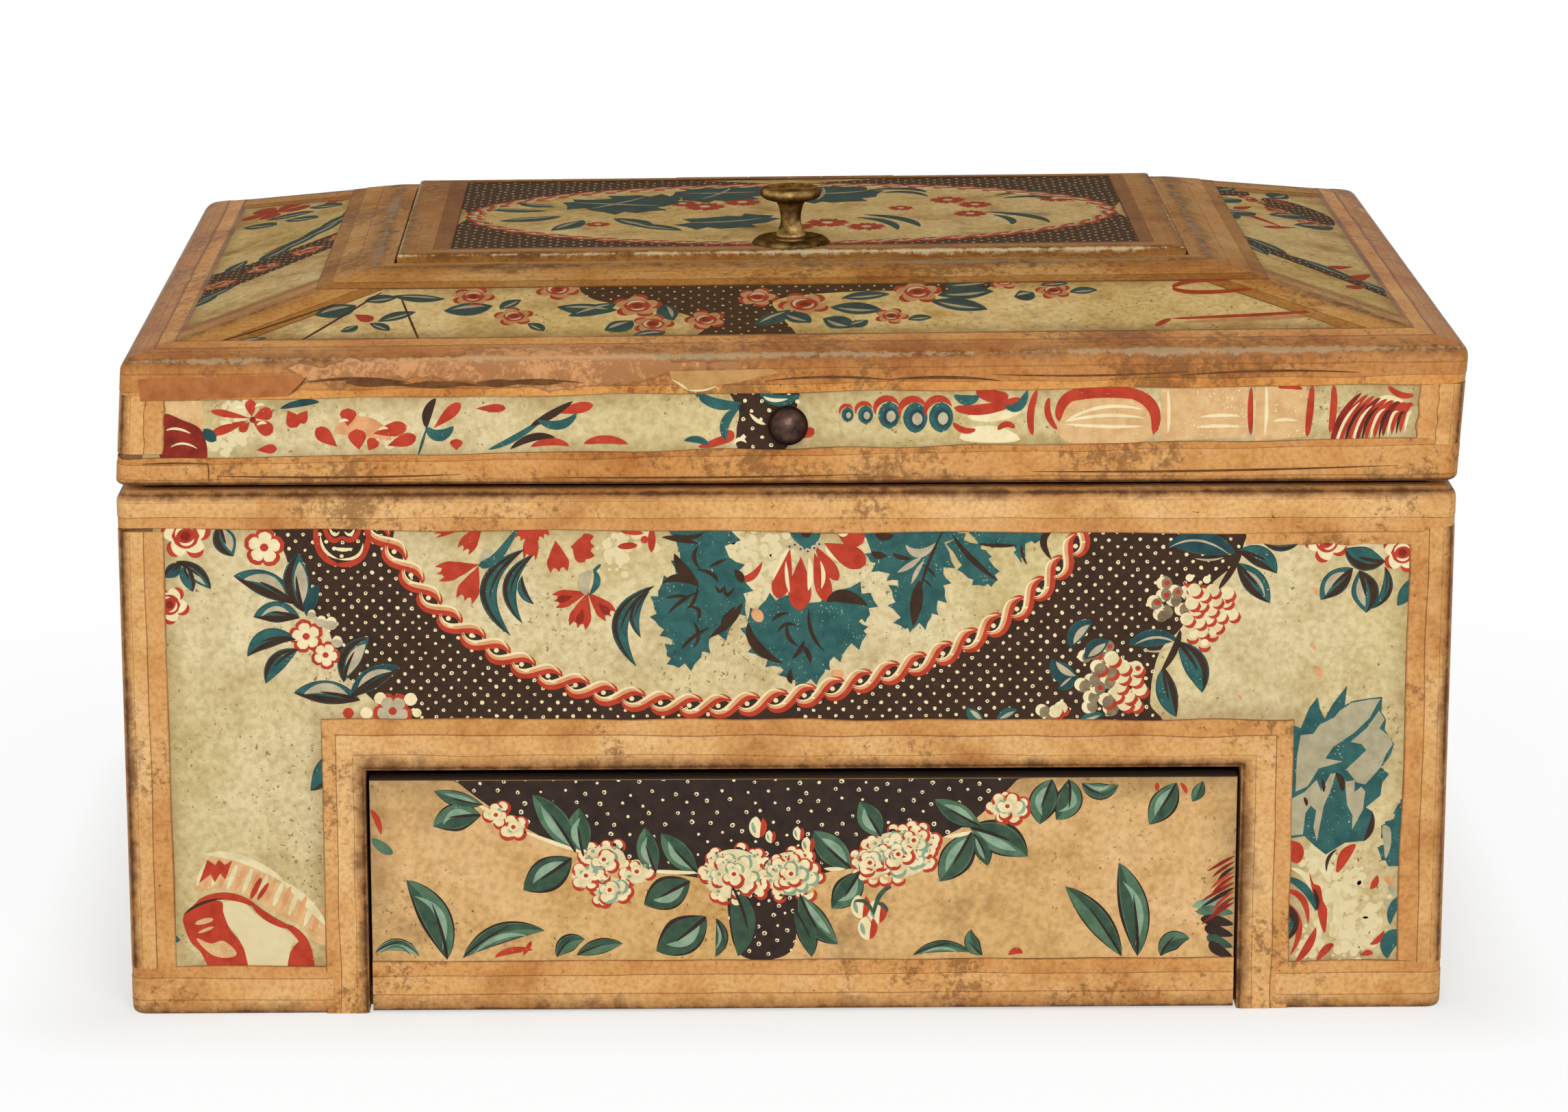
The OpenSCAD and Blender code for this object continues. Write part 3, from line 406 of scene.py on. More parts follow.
def way_to_tip(x0, y0, x1, y1):
    """The base, the tip, the way from one to the other and the unit vector on its left."""
    base, tip = np.array([x0, y0]), np.array([x1, y1])
    run = tip - base
    return base, tip, run, np.array([-run[1], run[0]]) / np.hypot(*run)


def leaf(x0, y0, x1, y1, half, bend=0.0, shade=1, gleam=0.0, green="teal", lift=0.09):
    """A leaf from stalk to tip: a lens bowed by bend with a thin outline, an umber lens along the edge on the
    shade side (1 is left of the way to the tip, -1 right, 0 none), a vein, and a grey gleam of the given
    strength along the other edge."""
    base, tip, run, out = way_to_tip(x0, y0, x1, y1)
    middle = (base + tip) / 2 + 2 * bend * out
    stroke("deep" if green == "teal" else "teal", [base, middle, tip], half + 0.2, lift - 0.025, 0.8)
    stroke(green, [base, middle, tip], half, lift, 0.8)
    if shade:
        stroke("umber", [base, middle + out * shade * half * 1.25, tip], half * 0.30, lift + 0.06, 0.9)
        stroke("umber", [base, base + 0.3 * run + bend * out, base + 0.62 * run + 0.9 * bend * out],
            half * 0.17, lift + 0.05, 0.5, 0.7)
    if gleam:
        stroke("grey", [base + 0.15 * run, middle - out * (shade or 1) * half * 0.7, tip - 0.15 * run],
            half * 0.42 * gleam, lift + 0.03, 0.8)


def petal(colour, x0, y0, x1, y1, half, lift=0.06, bend=0.0, lean=1.7):
    """A petal, fullest towards its end."""
    base, tip, run, out = way_to_tip(x0, y0, x1, y1)
    stroke(colour, [base, (base + tip) / 2 + 2 * bend * out, tip], half, lift, 0.55, lean)


def spot(colour, x, y, r, lift, own=True):
    """A round touch."""
    stroke(colour, [(x - r, y), (x, y), (x + r, y)], r, lift, 0.5, 1.0, own)


def arc(colour, x, y, r, start, end, half, lift, blunt=0.7, own=True):
    """A touch along a circle from one angle to another, in degrees: the cubic curve whose handles, along the
    tangents at its ends, are 4/3 of the tangent of a quarter of the angle long, in radii."""
    a, b = np.radians(start), np.radians(end)
    handle = 4 / 3 * np.tan((b - a) / 4)
    turn = np.array([(np.cos(w) - k * handle * np.sin(w), np.sin(w) + k * handle * np.cos(w)) for w, k in ((a,
        0), (a, 1), (b, -1), (b, 0))])
    stroke(colour, np.array([x, y]) + r * turn, half, lift, blunt, 1.0, own)


def fringed_petal(x0, y0, x1, y1, half, colour="red", lift=0.06):
    """A carnation's petal: a fan with three teeth."""
    base, tip, run, out = way_to_tip(x0, y0, x1, y1)
    stroke(colour, [base, (base + tip) / 2, tip], half, lift, 0.5, 2.0)
    for k in (-0.75, 0.0, 0.75):
        stroke(colour, [base + 0.5 * run + out * k * half * 0.8, base + 0.8 * run + out * k * half,
            tip + 0.10 * run + out * k * half * 1.15], half * 0.42, lift, 0.9, 0.8)


def five_petals(x, y, r, turn=0, pale="cream"):
    """A small open flower: red petals, paler ones over them and a red eye."""
    for k in range(5):
        way = np.radians(turn + 72 * k)
        c, s = np.cos(way), np.sin(way)
        petal("red", x, y, x + 1.15 * r * c, y + 1.15 * r * s, 0.52 * r, 0.06)
        petal(pale, x + 0.1 * c, y + 0.1 * s, x + 0.9 * r * c, y + 0.9 * r * s, 0.38 * r, 0.12)
    spot("red", x, y, 0.24 * r, 0.17)


def rose(x, y, r, turn=0, outer="cream"):
    """A full rose: pale outer petals, each with a red curl at its lower edge, a red round, two cream
    crescents curling in it and a dark heart."""
    for way in range(turn, turn + 360, 72):
        c, s = np.cos(np.radians(way)), np.sin(np.radians(way))
        spot(outer, x + 0.68 * r * c, y + 0.68 * r * s, 0.46 * r, 0.06)
        arc("red", x + 0.68 * r * c, y + 0.68 * r * s, 0.42 * r, way - 100, way + 35, 0.13 * r, 0.10)
    spot("red", x, y, 0.66 * r, 0.12)
    arc("cream", x, y, 0.46 * r, turn + 20, turn + 165, 0.10 * r, 0.15)
    arc("cream", x, y, 0.42 * r, turn + 205, turn + 320, 0.08 * r, 0.15)
    spot("wine", x, y, 0.24 * r, 0.17)


def cluster(x, y, rx, ry, count, seed, size=2.2, shade=0.3):
    """A head of small blossoms, spread over an ellipse like seeds in a sunflower and laid from the lower
    right up: each is a round with a cream curl about its upper left and, under its lower right, a red one.
    Shade is the share, on the left, that is smoky with a heavier curl and mostly no red."""
    rng = np.random.default_rng(seed)
    k = np.arange(count)
    reach = np.sqrt((k + 0.5) / count)
    turn = k * 2.39996
    px = x + rx * reach * np.cos(turn) + rng.normal(0, 0.3, count)
    py = y + ry * reach * np.sin(turn) + rng.normal(0, 0.3, count)
    for i, k in enumerate(np.argsort(py - px)):
        cx, cy, lift, way = px[k], py[k], 0.06 + 0.005 * i, rng.uniform(-35, 35)
        smoky = (cx - x) / rx < 2 * shade - 1 + rng.normal(0, 0.15)
        if not smoky or rng.random() < 0.25:
            spot("red", cx + 0.34 * size, cy - 0.36 * size, 0.80 * size, lift, False)
        spot("smoke" if smoky else "pale", cx, cy, 0.84 * size, lift + 0.001, False)
        arc("cream", cx, cy, 0.62 * size, 75 + way, 255 + way, (0.30 if smoky else 0.17) * size,
            lift + 0.002, 0.7, False)
        if rng.random() < 0.22:
            spot("red", cx + 0.25 * size, cy, 0.32 * size, lift + 0.003, False)


def rope(line, pitch=7.2, swing=2.7):
    """A twisted cord along a line. Each strand starts at the cord's lower edge, crosses it steeply between
    two dark eyes and ends over the next eye at its upper edge: red, with peach laid over its upper side and
    cream along its back. Every strand lies over the one before."""
    line = np.array(line, float)
    t = np.linspace(0, len(line) - 1, 40 * len(line))
    knots = np.arange(len(line))
    fine = np.stack([np.interp(t, knots, line[:, 0]), np.interp(t, knots, line[:, 1])], -1)
    soft = np.ones(41) / 41
    padded = np.pad(fine, ((20, 20), (0, 0)), mode="reflect", reflect_type="odd")
    fine = np.stack([np.convolve(padded[:, i], soft, "valid") for i in (0, 1)], -1)
    run = np.concatenate([[0], np.cumsum(np.hypot(*np.diff(fine, axis=0).T))])
    slope = np.gradient(fine, axis=0)
    slope /= np.hypot(slope[:, :1], slope[:, 1:])

    def at(s, n):
        pick = lambda values: np.interp(s, run, values)
        return np.stack([pick(fine[:, 0]) - n * pick(slope[:, 1]),
            pick(fine[:, 1]) + n * pick(slope[:, 0])], -1)
    ways = np.array([-0.92, -0.15, 0.15, 0.92]) * pitch
    lifts = np.array([-0.45, -2.0, 2.0, 0.45]) * swing
    for k, start in enumerate(np.arange(0, run[-1], pitch)):
        lift = 0.07 + 0.003 * k
        eye = at(start + pitch * np.array([0.1, 0.5, 0.9]), np.zeros(3))
        stroke("umber", eye, 1.75, 0.04, 0.6)
        stroke("red", at(start + ways, lifts), 1.35, lift, 0.45, 1.0, False)
        stroke("peach", at(start + 0.94 * ways - 0.4, 0.97 * lifts + 0.6), 0.72,
            lift + 0.001, 0.55, 1.0, False)
        stroke("cream", at(start + 0.86 * ways - 0.7, 0.95 * lifts + 1.0), 0.32,
            lift + 0.002, 0.55, 1.0, False)
        dot, glint = at(start + pitch * np.array([0.42, 0.66]), np.array([0.25, -0.75]))
        spot("cream", *dot, 0.62, lift + 0.006, False)
        if k % 3:
            stroke("cream", [glint - (0.8, 0), glint, glint + (0.8, 0)], 0.3, lift + 0.007, 0.6, 1.0, False)


# The swag: umber fields with dots on both sides of the cord, and a narrow one under it
dotted_ground(from_place(-118, 73, -10, 55, 5, 55, 20, 55, 21, 48, 25, 42, 28, 36.5, 33, 30.5, 40, 25.5, 48,
    20.5, 56, 15.5, 64, 12.5, 73, 9.5, 85, 7.3, 98, 6.5, 99, 1, 58, 1, 21, 1, 18, 6, 13, 11, 8, 16, 6, 22, 4,
    28, 0, 32, -2, 37, -4.5, 42, -6, 47), 1)
dotted_ground(from_place(3, 73, 73, 55, 92, 55, 110, 55, 109.5, 48, 107.5, 43, 102, 38, 98, 32, 94, 26, 89.5,
    21, 87.5, 14, 87, 7, 87, 1, 42, 1, 1, 1, 1, 9, 9, 11, 19, 14.2, 29, 17, 37, 20.5, 45, 25, 52, 29.5, 58,
    35, 63, 40.5, 67, 45.5, 70.5, 50), 2)
blot("umber", [(-24, 79.5), (8, 82), (8, 74), (-24, 74)], 0.006, sharp=True)
rope(from_place(-89, 78, -14, 50, -9, 43, -4, 35.5, 1, 28.5, 7, 22.5, 14, 18, 22, 13, 30, 9.3, 39, 6.3, 49,
    3.8, 59, 2.3, 69, 1.5, 79, 2.2, 89, 3.4, 99, 5.6, 109, 8.6, 119, 11.6, 128, 15, 136, 19.5, 143, 24, 149.5,
    29.5, 155, 35.5, 159.5, 41, 163, 48))
# The bow at the cord's left end
strokes("red", -112, 118, 0.1, 0.3, (-4, 9, -4.8, 0, 1.5, -1.6, 0.85), (0.5, -1.4, 9, -2.6, 9, 8, 0.85),
    (-2.3, 9, -0.5, 2.4, 2.4, 5.8, 0.7), (2.2, 5.8, 5.5, 2.6, 7.1, 9, 0.7))
strokes("cream", -113, 117, 0.14, 0.6, (-1.9, 7, -2, 2.4, 2.4, 1, 0.4), (2.2, 1, 8.2, 0.2, 8.5, 5, 0.4),
    (0.2, 9.2, 1.4, 5.8, 2.8, 8, 0.4), (4, 8, 5.6, 5.8, 6.6, 9, 0.4), (1, 3.9, 3.5, 2.9, 6, 3.7, 0.5))
# Roses and leaves in the upper left corner
rose(-148, 124, 5.2, 20)
rose(-152.5, 106.5, 4.2, 60)
leaf(-150.5, 117.5, -142.2, 110.5, 1.9, 0.8, 1, 0.9)
leaf(-149, 117.5, -146.6, 109.8, 1.7, 0)
leaf(-149, 117, -153.5, 113.5, 1.6, 0, -1, 0, "deep")
leaf(-139.5, 127, -136.4, 118.8, 2.7, -0.6, -1, 1.1)
five_petals(-128.8, 121, 4.5, 12)
# The garland at the left of the swag
leaf(-121.5, 106.5, -136.5, 113.8, 3.1, -1.6, 1, 1.1)
leaf(-119.5, 104.5, -120.3, 119.6, 3.2, 1.2, 1, 1.3)
leaf(-118.8, 103.5, -115.6, 111.5, 1.6, 0.5, 0, 0, "deep")
leaf(-120.5, 103, -131.8, 103.3, 2.6, -1.4, 1, 0.6)
leaf(-121.5, 97.5, -133.6, 93.2, 2.3, -2.6)
leaf(-121, 95, -129.2, 86.2, 2.1, -1.6, -1)
leaf(-110, 86.5, -103.4, 98, 2.7, 1.6, 1, 1.5)
leaf(-108.5, 82.5, -96, 90.4, 2.6, 1.2, -1, 0.8, "deep")
leaf(-106, 81.8, -122.3, 83.8, 2.9, -1.1, 1, 1.2)
five_petals(-119, 98.3, 3.9, 30)
five_petals(-114.3, 93.5, 3.3, -10)
for x, y, r in ((-112.8, 101.5, 1.7), (-115.2, 102, 1.5), (-111.4, 96.8, 1.5), (-117.5, 104, 1.1)):
    spot("grey", x, y, r, 0.11)
    arc("cream", x, y, 0.75 * r, 10, 150, 0.32 * r, 0.15)
five_petals(-98, 79, 4.4, 50, "grey")
for x, y, r in ((-101, 82.3, 1.6), (-93.5, 82, 1.7), (-92, 78.5, 1.2), (-104.5, 78.5, 1.6)):
    spot("cream", x, y, r, 0.13)
spot("red", -109, 78.5, 1.4, 0.12)
# Inside the oval: carnations, curved sprigs and serrated leaves
fringed_petal(-75, 127, -79.5, 120.5, 1.9)
fringed_petal(-76, 128, -86, 124.6, 1.2)
fringed_petal(-76.2, 116.4, -85.5, 114.3, 2.2)
fringed_petal(-76.2, 116, -79.5, 108, 2.4)
stroke("teal", [(-76.3, 116.2), (-71.5, 116.5), (-70.5, 120), (-66, 126)], 1.25, 0.09, 0.5, 0.6)
stroke("grey", [(-76, 117.2), (-74.5, 119.5), (-72.6, 119.8)], 0.9, 0.12, 0.7)
leaf(-64.8, 120.3, -68.6, 98.3, 2, -7.2, -1)
leaf(-62.5, 119, -65.6, 101.4, 1.6, -4.6, -1)
leaf(-65.5, 113.5, -62.7, 106.3, 0.9, -1.4)
for tip in ((-65.5, 123), (-63.5, 118.5), (-60.3, 123.5)):
    fringed_petal(-62.6, 128, *tip, 1.7)
fringed_petal(-57.2, 122.5, -56.5, 115.2, 2.4)
fringed_petal(-53.5, 120.8, -48.2, 121, 2.9)
petal("red", -53, 120.5, -50, 117, 1.5)
for tip, half in (((-57, 107.2), 2), ((-51.8, 101), 2.4), ((-44.2, 103.6), 2)):
    fringed_petal(-49.4, 109.2, *tip, half)
    petal("wine", (tip[0] - 49.4) / 2, (tip[1] + 109.2) / 2, *tip, 1.0, 0.10)
stroke("grey", [(-49.6, 108.6), (-51.8, 112), (-48.4, 114.8)], 1.5, 0.1, 0.6)
stroke("teal", [(-49.2, 108.4), (-45.6, 112), (-48, 115)], 0.9, 0.13, 0.8)
stroke("teal", [(-48, 114.6), (-47, 115.4), (-46.1, 116.4)], 0.45, 0.09, 0.4)
for x0, y0, x1, y1, half in ((-33.5, 125.5, -33.6, 119.3, 1), (-41, 124.7, -35.5, 124.2, 0.7),
        (-42, 120.8, -37, 121.2, 0.9)):
    petal("red", x0, y0, x1, y1, half, 0.08, 0.0, 1.0)
spot("red", -35.3, 122.6, 1, 0.09)
leaf(-33, 110.8, -37.6, 90.3, 1.9, -6.2, -1)
leaf(-34.2, 109.4, -36.4, 97.6, 1.2, -2.6, -1)


def rubbed_place(x, y, spread, count, seed):
    """A place rubbed pale: small round touches, thick in its middle and thin at its rim."""
    rng = np.random.default_rng(seed)
    for dx, dy, r in zip(*rng.normal(0, spread, (2, count)), rng.uniform(0.35, 1.3, count)):
        spot("haze", x + dx, y + dy, r, 0.02)


for k, (x, y, spread, count) in enumerate(((-42, 119, 2.6, 36), (-36, 124, 2.0, 20), (-13, 123, 3.0, 50),
        (-9, 112, 2.2, 36), (-3, 118, 2.4, 36), (17, 126, 2.4, 24))):
    rubbed_place(x, y, spread, count, 300 + k)


def serrated(colour, outline, lift, depth=0.5):
    """A leaf cut in teeth: on every edge of its outline a point two thirds along stands out by depth times
    the edge's length over three, and one near its end goes in by as much."""
    p = np.array(outline, float)
    edge = np.roll(p, -1, 0) - p
    out = np.stack([edge[:, 1], -edge[:, 0]], -1) * depth / 3
    if np.sum(p[:, 0] * np.roll(p[:, 1], -1) - np.roll(p[:, 0], -1) * p[:, 1]) < 0:
        out = -out
    teeth = np.stack([p, p + 0.32 * edge + out * 0.45, p + 0.62 * edge + out * 1.3,
        p + 0.70 * edge - out * 0.25], 1)
    blot(colour, teeth.reshape(-1, 2), lift, sharp=True)


serrated("teal", from_place(-33, 88, 7, 40, 17, 40, 18.5, 30, 22, 25, 22.6, 19, 20, 14, 13.5, 9, 11.5, 4.5, 6,
    1.8, 3, 5, 4.5, 9, 1.2, 12.5, 0, 17, 1, 21.5, 5.5, 25.5, 6.4, 31), 0.09, 0.8)
strokes("umber", -25, 102, 0.14, 0.8, (-3, 17, -1, 11.5, 3, 9.5, 1.55), (-6, 9.5, -1.5, 12.5, 3.2, 8.5, 1.11),
    (-4.8, 1.5, -2, 5, 2.5, 7.2, 0.505), (-1.5, -7.5, 1, -4, 6, -1.7, 0.505), (2.8, 9, 2.2, 4, 0, 3, 0.505),
    (0.5, 3.4, 4.5, 3.5, 2.5, -0.5, 0.505), (5.5, 13.5, 8, 15, 10, 15.5, 0.45),
    (7, 9, 8.2, 5.8, 9.5, 9, 0.505), (9.5, 8.5, 9.2, 4.5, 12, 8.5, 0.505),
    (13.8, 4.5, 11.5, -0.5, 5.5, -4.5, 1.11), (12, 3.5, 9.5, 0, 8.5, -1.2, 1),
    (11.8, 13, 13.5, 11, 13.8, 9.5, 1.11), (3, 19, 0.5, 16, 3.5, 13, 0.56),
    (2.5, 13, 7, 12.5, 7.8, 9.5, 0.56), (-5.5, 5.5, -1.5, 7, 0.8, 5.5, 0.45),
    (1.5, -0.2, 4.2, -4, 1.5, -7.2, 0.505), (-6, 21.2, -2, 21, 3, 19.5, 0.78),
    (-3.5, 22, 1, 20, 4.5, 22.5, 0.67))
serrated("teal", from_place(-7, 85, -3, 17, 0, 20.5, 5.5, 23, 15, 21.5, 20, 24.6, 27.5, 23.8, 27.3, 18.2,
    24.5, 16.5, 26.5, 13.2, 21.5, 9.5, 17.3, 6.3, 16, 3.3, 11.5, 0.8, 7.6, 1.5, 5, 5, 0.5, 7.3,
    -2.8, 11.5), 0.08, 0.8)
strokes("umber", -4, 94, 0.14, 0.8, (-5.8, 7.5, -6, 0.5, 2.8, -3.2, 1.33),
    (13.5, 12.5, 17, 16, 23.8, 11.5, 1.77), (9.2, 11, 8.6, 4, 13, 0, 0.505),
    (0, 7.5, 1.5, 10, 4.5, 9.6, 0.45), (4, 7, 2.8, 3.5, 6.8, 1, 0.56), (5, -2, 7.4, 0, 8, 2.8, 0.615),
    (7.2, 1.5, 9.4, 0, 9.6, -3.4, 0.67), (4.8, -4.5, 4, -7, 5, -8.4, 0.78), (1.5, 4.8, 3, 8, 6, 6.5, 0.45))
serrated("teal", from_place(20, 98, 1, 30, 18, 30, 19.8, 21, 18.4, 15.5, 18.8, 11.5, 16.8, 7.5, 15.4, 4.5,
    11.5, 2, 9, 1.5, 7, 5.5, 6, 9.5, 7.2, 14, 4, 16, 0.3, 18.8, 0.3, 22), 0.09, 1.0)
strokes("umber", 26, 110, 0.14, 0.8, (13, 16, 8, 7, 5.8, -4, 0.4), (6.5, 2, 5.8, -3, 5, -9.8, 1.6),
    (7, 6, 9.6, 4.5, 10.5, 2.6, 0.3), (7, 2.5, 8.6, 1.5, 9.6, 0, 0.3), (4.5, 7.5, 1.5, 7.5, -0.2, 8.8, 0.7),
    (-5.5, 9.3, -4, 8, -1.5, 8.3, 1), (-4.5, 15, -3, 12.5, 0, 13.5, 1.4))
strokes("grey", 27, 112, 0.12, 0.8, (2, 9, 5, 4.5, 9.5, 9.5, 1.2), (0, 2, 3, 3.5, 6, 6, 0.8),
    (3.5, -1, 4.5, 2, 6.5, 5, 0.6))
serrated("teal", from_place(42, 110, -1.8, 14.5, 2.8, 11.5, 6.8, 9.5, 8, 6.5, 9.8, 2, 6.5, 0.4, 2.5,
    2.5, 0, 7), 0.09, 0.6)
stroke("umber", [(40.3, 124), (43.5, 118), (51.8, 111.8)], 0.75, 0.14, 0.7, 1.3)
serrated("teal", from_place(49, 119, -6, 9, 17, 9, 15, 4, 9.5, 2.2, 8.6, -2.8, 6.5, 2, -2, 2.3), 0.09, 0.3)
strokes("umber", 51, 114, 0.14, 0.6, (-4.2, 7.2, 1, 6.5, 5.5, 6.8, 0.5), (15, 11, 9.5, 9, 14, 3.2, 0.9),
    (6.5, 7, 6.6, 4, 8, 1.9, 0.35))
# The large red and cream flower
for x0, y0, x1, y1, half in ((0.5, 120, -2.6, 107.5, 2.4), (3.2, 118, 2.8, 104.3, 2.9),
        (6.5, 119, 9.8, 106.5, 2.1), (6.5, 121, 12.4, 112, 1.7), (9, 121.5, 19.2, 116, 2.9),
        (11, 127, 18.5, 121.5, 3)):
    petal("red", x0, y0, x1, y1, half, 0.11)
strokes("cream", 4, 109, 0.15, 0.7, (1.2, 9, 2, 4, 1, 0.5, 0.8), (4, 8, 5.4, 4, 4.2, 1, 0.55),
    (-4.5, 8, -4.4, 3, -3.6, 0, 0.5), (8, 16.5, 9.5, 13.5, 11, 16, 0.8), (5.2, 11.6, 6, 9.5, 8.5, 7.8, 0.45),
    (-3, 12.5, -6, 8, -7.8, 3, 0.5))
blot("teal", from_place(0, 118, 0, 9, 7.5, 9, 7.8, 5, 5, 1.8, 2.5, 3.5, 0.8, 5.5), 0.13)
for x, y in ((1.6, 121.3), (3, 120.2), (4.8, 119.6), (6.4, 120.4), (0.3, 120.8), (7.6, 121.4)):
    spot("grey", x, y, 0.75, 0.155)
    spot("umber", x + 0.1, y - 0.1, 0.28, 0.18)
spot("umber", 4.5, 124, 1.2, 0.16)
stroke("red", [(-12.5, 113), (-9, 111), (-6.3, 116.8)], 1, 0.09, 0.8)
stroke("peach", [(-8.6, 104.8), (-7.5, 103.2), (-6.5, 101.5)], 1.5, 0.12, 0.5)
stroke("peach", [(10.5, 88.5), (12.5, 88), (14, 88)], 1.1, 0.05, 0.5)
# The garland at the right of the swag
leaf(110.5, 118.5, 93.5, 120.8, 2.9, -1.6, 0, 0, "deep")
stroke("grey", [(109, 118.2), (101, 124.5), (94, 120)], 0.3, 0.14, 0.6)
stroke("grey", [(100.5, 117.3), (104, 116.3), (107.5, 117.5)], 0.28, 0.14, 0.6)
leaf(111, 119, 120.8, 113.4, 2.5, 1.6, -1)
leaf(110.8, 116, 119.2, 105.8, 2.7, 0.4, -1, 0.4)
stroke("umber", [(112, 119), (109.5, 113.5), (106.5, 109.5)], 0.8, 0.14, 0.5)
cluster(103.8, 104.5, 6.4, 6.2, 17, 5, 2.1, 0.12)
cluster(94, 106.5, 5, 5, 9, 6, 2.3, 0.8)
for x, y in ((100.3, 97.2), (103.3, 95.2), (105.2, 97.8), (99.2, 111.8), (103.5, 111.3)):
    arc("red", x, y, 1.5, 195, 350, 0.55, 0.10)
    spot("cream", x, y + 0.5, 1.0, 0.12)
leaf(96.5, 96.5, 84.2, 95.2, 2.1, -1.1, 0, 0, "deep")
stroke("grey", [(86, 95.3), (91, 98.6), (96, 95.8)], 0.35, 0.14, 0.6)
stroke("grey", [(88, 94), (92, 92.5), (95.5, 95)], 0.3, 0.14, 0.6)
leaf(96.4, 96, 102.9, 82.8, 2.9, 1.6)
leaf(93.2, 89.5, 96.6, 76.6, 2.5, -0.8)
stroke("umber", [(97.2, 99), (96.5, 93.5), (92.8, 88.5)], 0.9, 0.14, 0.5)
cluster(81, 84.8, 8.4, 7.2, 21, 7, 2.35, 0.42)
cluster(77.6, 92.4, 3.4, 3.2, 5, 8, 2.1, 0.8)
leaf(70, 94.5, 75.5, 101.5, 2, 1.2, 0, 1.1, "deep")
leaf(73.5, 91.5, 79.6, 96.4, 2, 0.6, 0, 1.1, "deep")
leaf(72.5, 86.5, 65.4, 91.8, 2.4, 1.4, 0, 0.9, "deep")
leaf(71, 87.5, 67, 83.9, 1.4, 0.4, 0, 0.6, "deep")
leaf(49, 75, 44.6, 79.2, 1.6, 0.4, 0, 0.9)
leaf(52, 76, 57, 78.6, 1.3, 0.4, 0, 0.9)
leaf(72.5, 75.5, 78.5, 77.4, 1.2, 0.3, 0, 0.8)
cluster(65.2, 77.8, 4.2, 1.6, 4, 9, 2.1, 0.5)
# Roses and leaves in the upper right corner
rose(133, 121.5, 4.6, 45)
rose(151.8, 118.5, 4.4, 10)
leaf(147.5, 116.3, 137.4, 119.6, 2.9, 1)
leaf(139.6, 114.6, 131.8, 106.6, 2.9, -0.5, 1, 0.9)
leaf(141.2, 114, 143.2, 103.2, 3.3, 0.6, 1, 0.8)
leaf(147.5, 115, 144.5, 104.2, 1.2, 2.2)
leaf(154, 112, 150.8, 105, 1.6, 0.6, 0)
leaf(117, 121.5, 126, 121, 1.6, -0.6, -1)
for x, y, r in ((131, 108.6, 1.2), (132, 88, 1.6), (130.5, 94.5, 1), (112.5, 81.5, 0.7)):
    stroke("peach", [(x - r, y + r), (x, y), (x + 0.4 * r, y - r)], 0.55 * r, 0.03, 0.5)
# The left leg: a leaf's tip at the opening, and part of a red-lined ribbon with peach strokes
leaf(-113.6, 69, -118.8, 58.5, 2.6, 1.2)
leaf(-157, 20.3, -152.3, 19.5, 1.2, 0, 0)
blot("buff", from_place(-136, 23, -12.4, 9.7, -8.7, 18, -3.2, 18.6, 1.8, 16.3, 8, 12, 14.1, 6.5, 19.5, 0.9,
    20.4, -4.4, 17.8, -4.4, 13.5, 0.2, 8, 3, 4.2, 5.8, 0.5, 8.3, -5.6, 9.7), 0.02)
for k, x in enumerate(np.arange(-146.5, -117, 1.9)):
    z = 37.5 - 0.0155 * (x + 146) ** 2
    stroke("peach" if k % 2 else "pale", [(x - 1.3, z - 4), (x, z - 0.6), (x + 1.4, z + 2.6)], 0.7, 0.04, 0.5)
strokes("pale", -126, 33, 0.05, 0.5, (-19.3, 9, -9.5, 9.6, 0.4, 1.4, 1.1),
    (0, 1.6, 6.5, -3.5, 10.2, -9.8, 1.1))
blot("haze", from_place(-142, 16, 0.7, 13.2, 5.9, 13.2, 9.6, 9.6, 16.4, 5.8, 18.2, 3.7, 16.9, 0.2, 16.9, -6,
    6.4, -6, 4.7, 3.3, 1.3, 8.2), 0.025)
blot("red", from_place(-144, 19, -7.2, 7, -4.9, 9.5, -2.6, 10.9, 2.2, 10.6, 2.7, 7.7, 4.2, 3.5, 6.7, 0, 8,
    -3.5, 8, -9, 0.5, -9, -3.2, -2.8, -5.6, 0, -7.2, 4.2), 0.07)
blot("red", from_place(-125, 9, 0, 6.5, 2.5, 10, 5, 9.3, 6, 1, 0, 1), 0.07)
blot("red", from_place(-148, 33, 3.1, 7.6, 5, 6.2, 6, 7.6, 7.4, 6.2, 9.3, 7.4, 7.4, 2.4, 6.2, 4, 4.8, 1.6,
    3.8, 3.8, 0.8, 1.4), 0.07, sharp=True)
strokes("red", -134, 26, 0.08, 0.4, (-14, 3.4, -6, 7.2, 1, 2.2, 1), (0, 3, 3.5, -1.5, 9.5, -3.4, 1),
    (8, -2.6, 14, -5.6, 14.4, -14, 1.1), (-0.4, 4.2, 1, 7.4, 2.5, 9.8, 0.7),
    (1.3, 4, 2.8, 6.4, 4.2, 8.4, 0.6))
blot("buff", from_place(-147, 13, -1.1, 7, 2.3, 5.6, 5.4, 6.3, 8.1, 4.2, 8.6, 2.5, 6, 1.8, 2.9,
    2.5, 0.4, 4.6), 0.11)
strokes("buff", -149, 20, 0.11, 0.4, (0.5, 3.8, 3, 4.6, 5.2, 5, 0.75), (1.2, 1.4, 3.5, 2.3, 5.2, 3, 0.45))
stroke("umber", [(-151.2, 26.2), (-147.5, 29.8), (-141.5, 30.4)], 0.4, 0.13, 0.7)
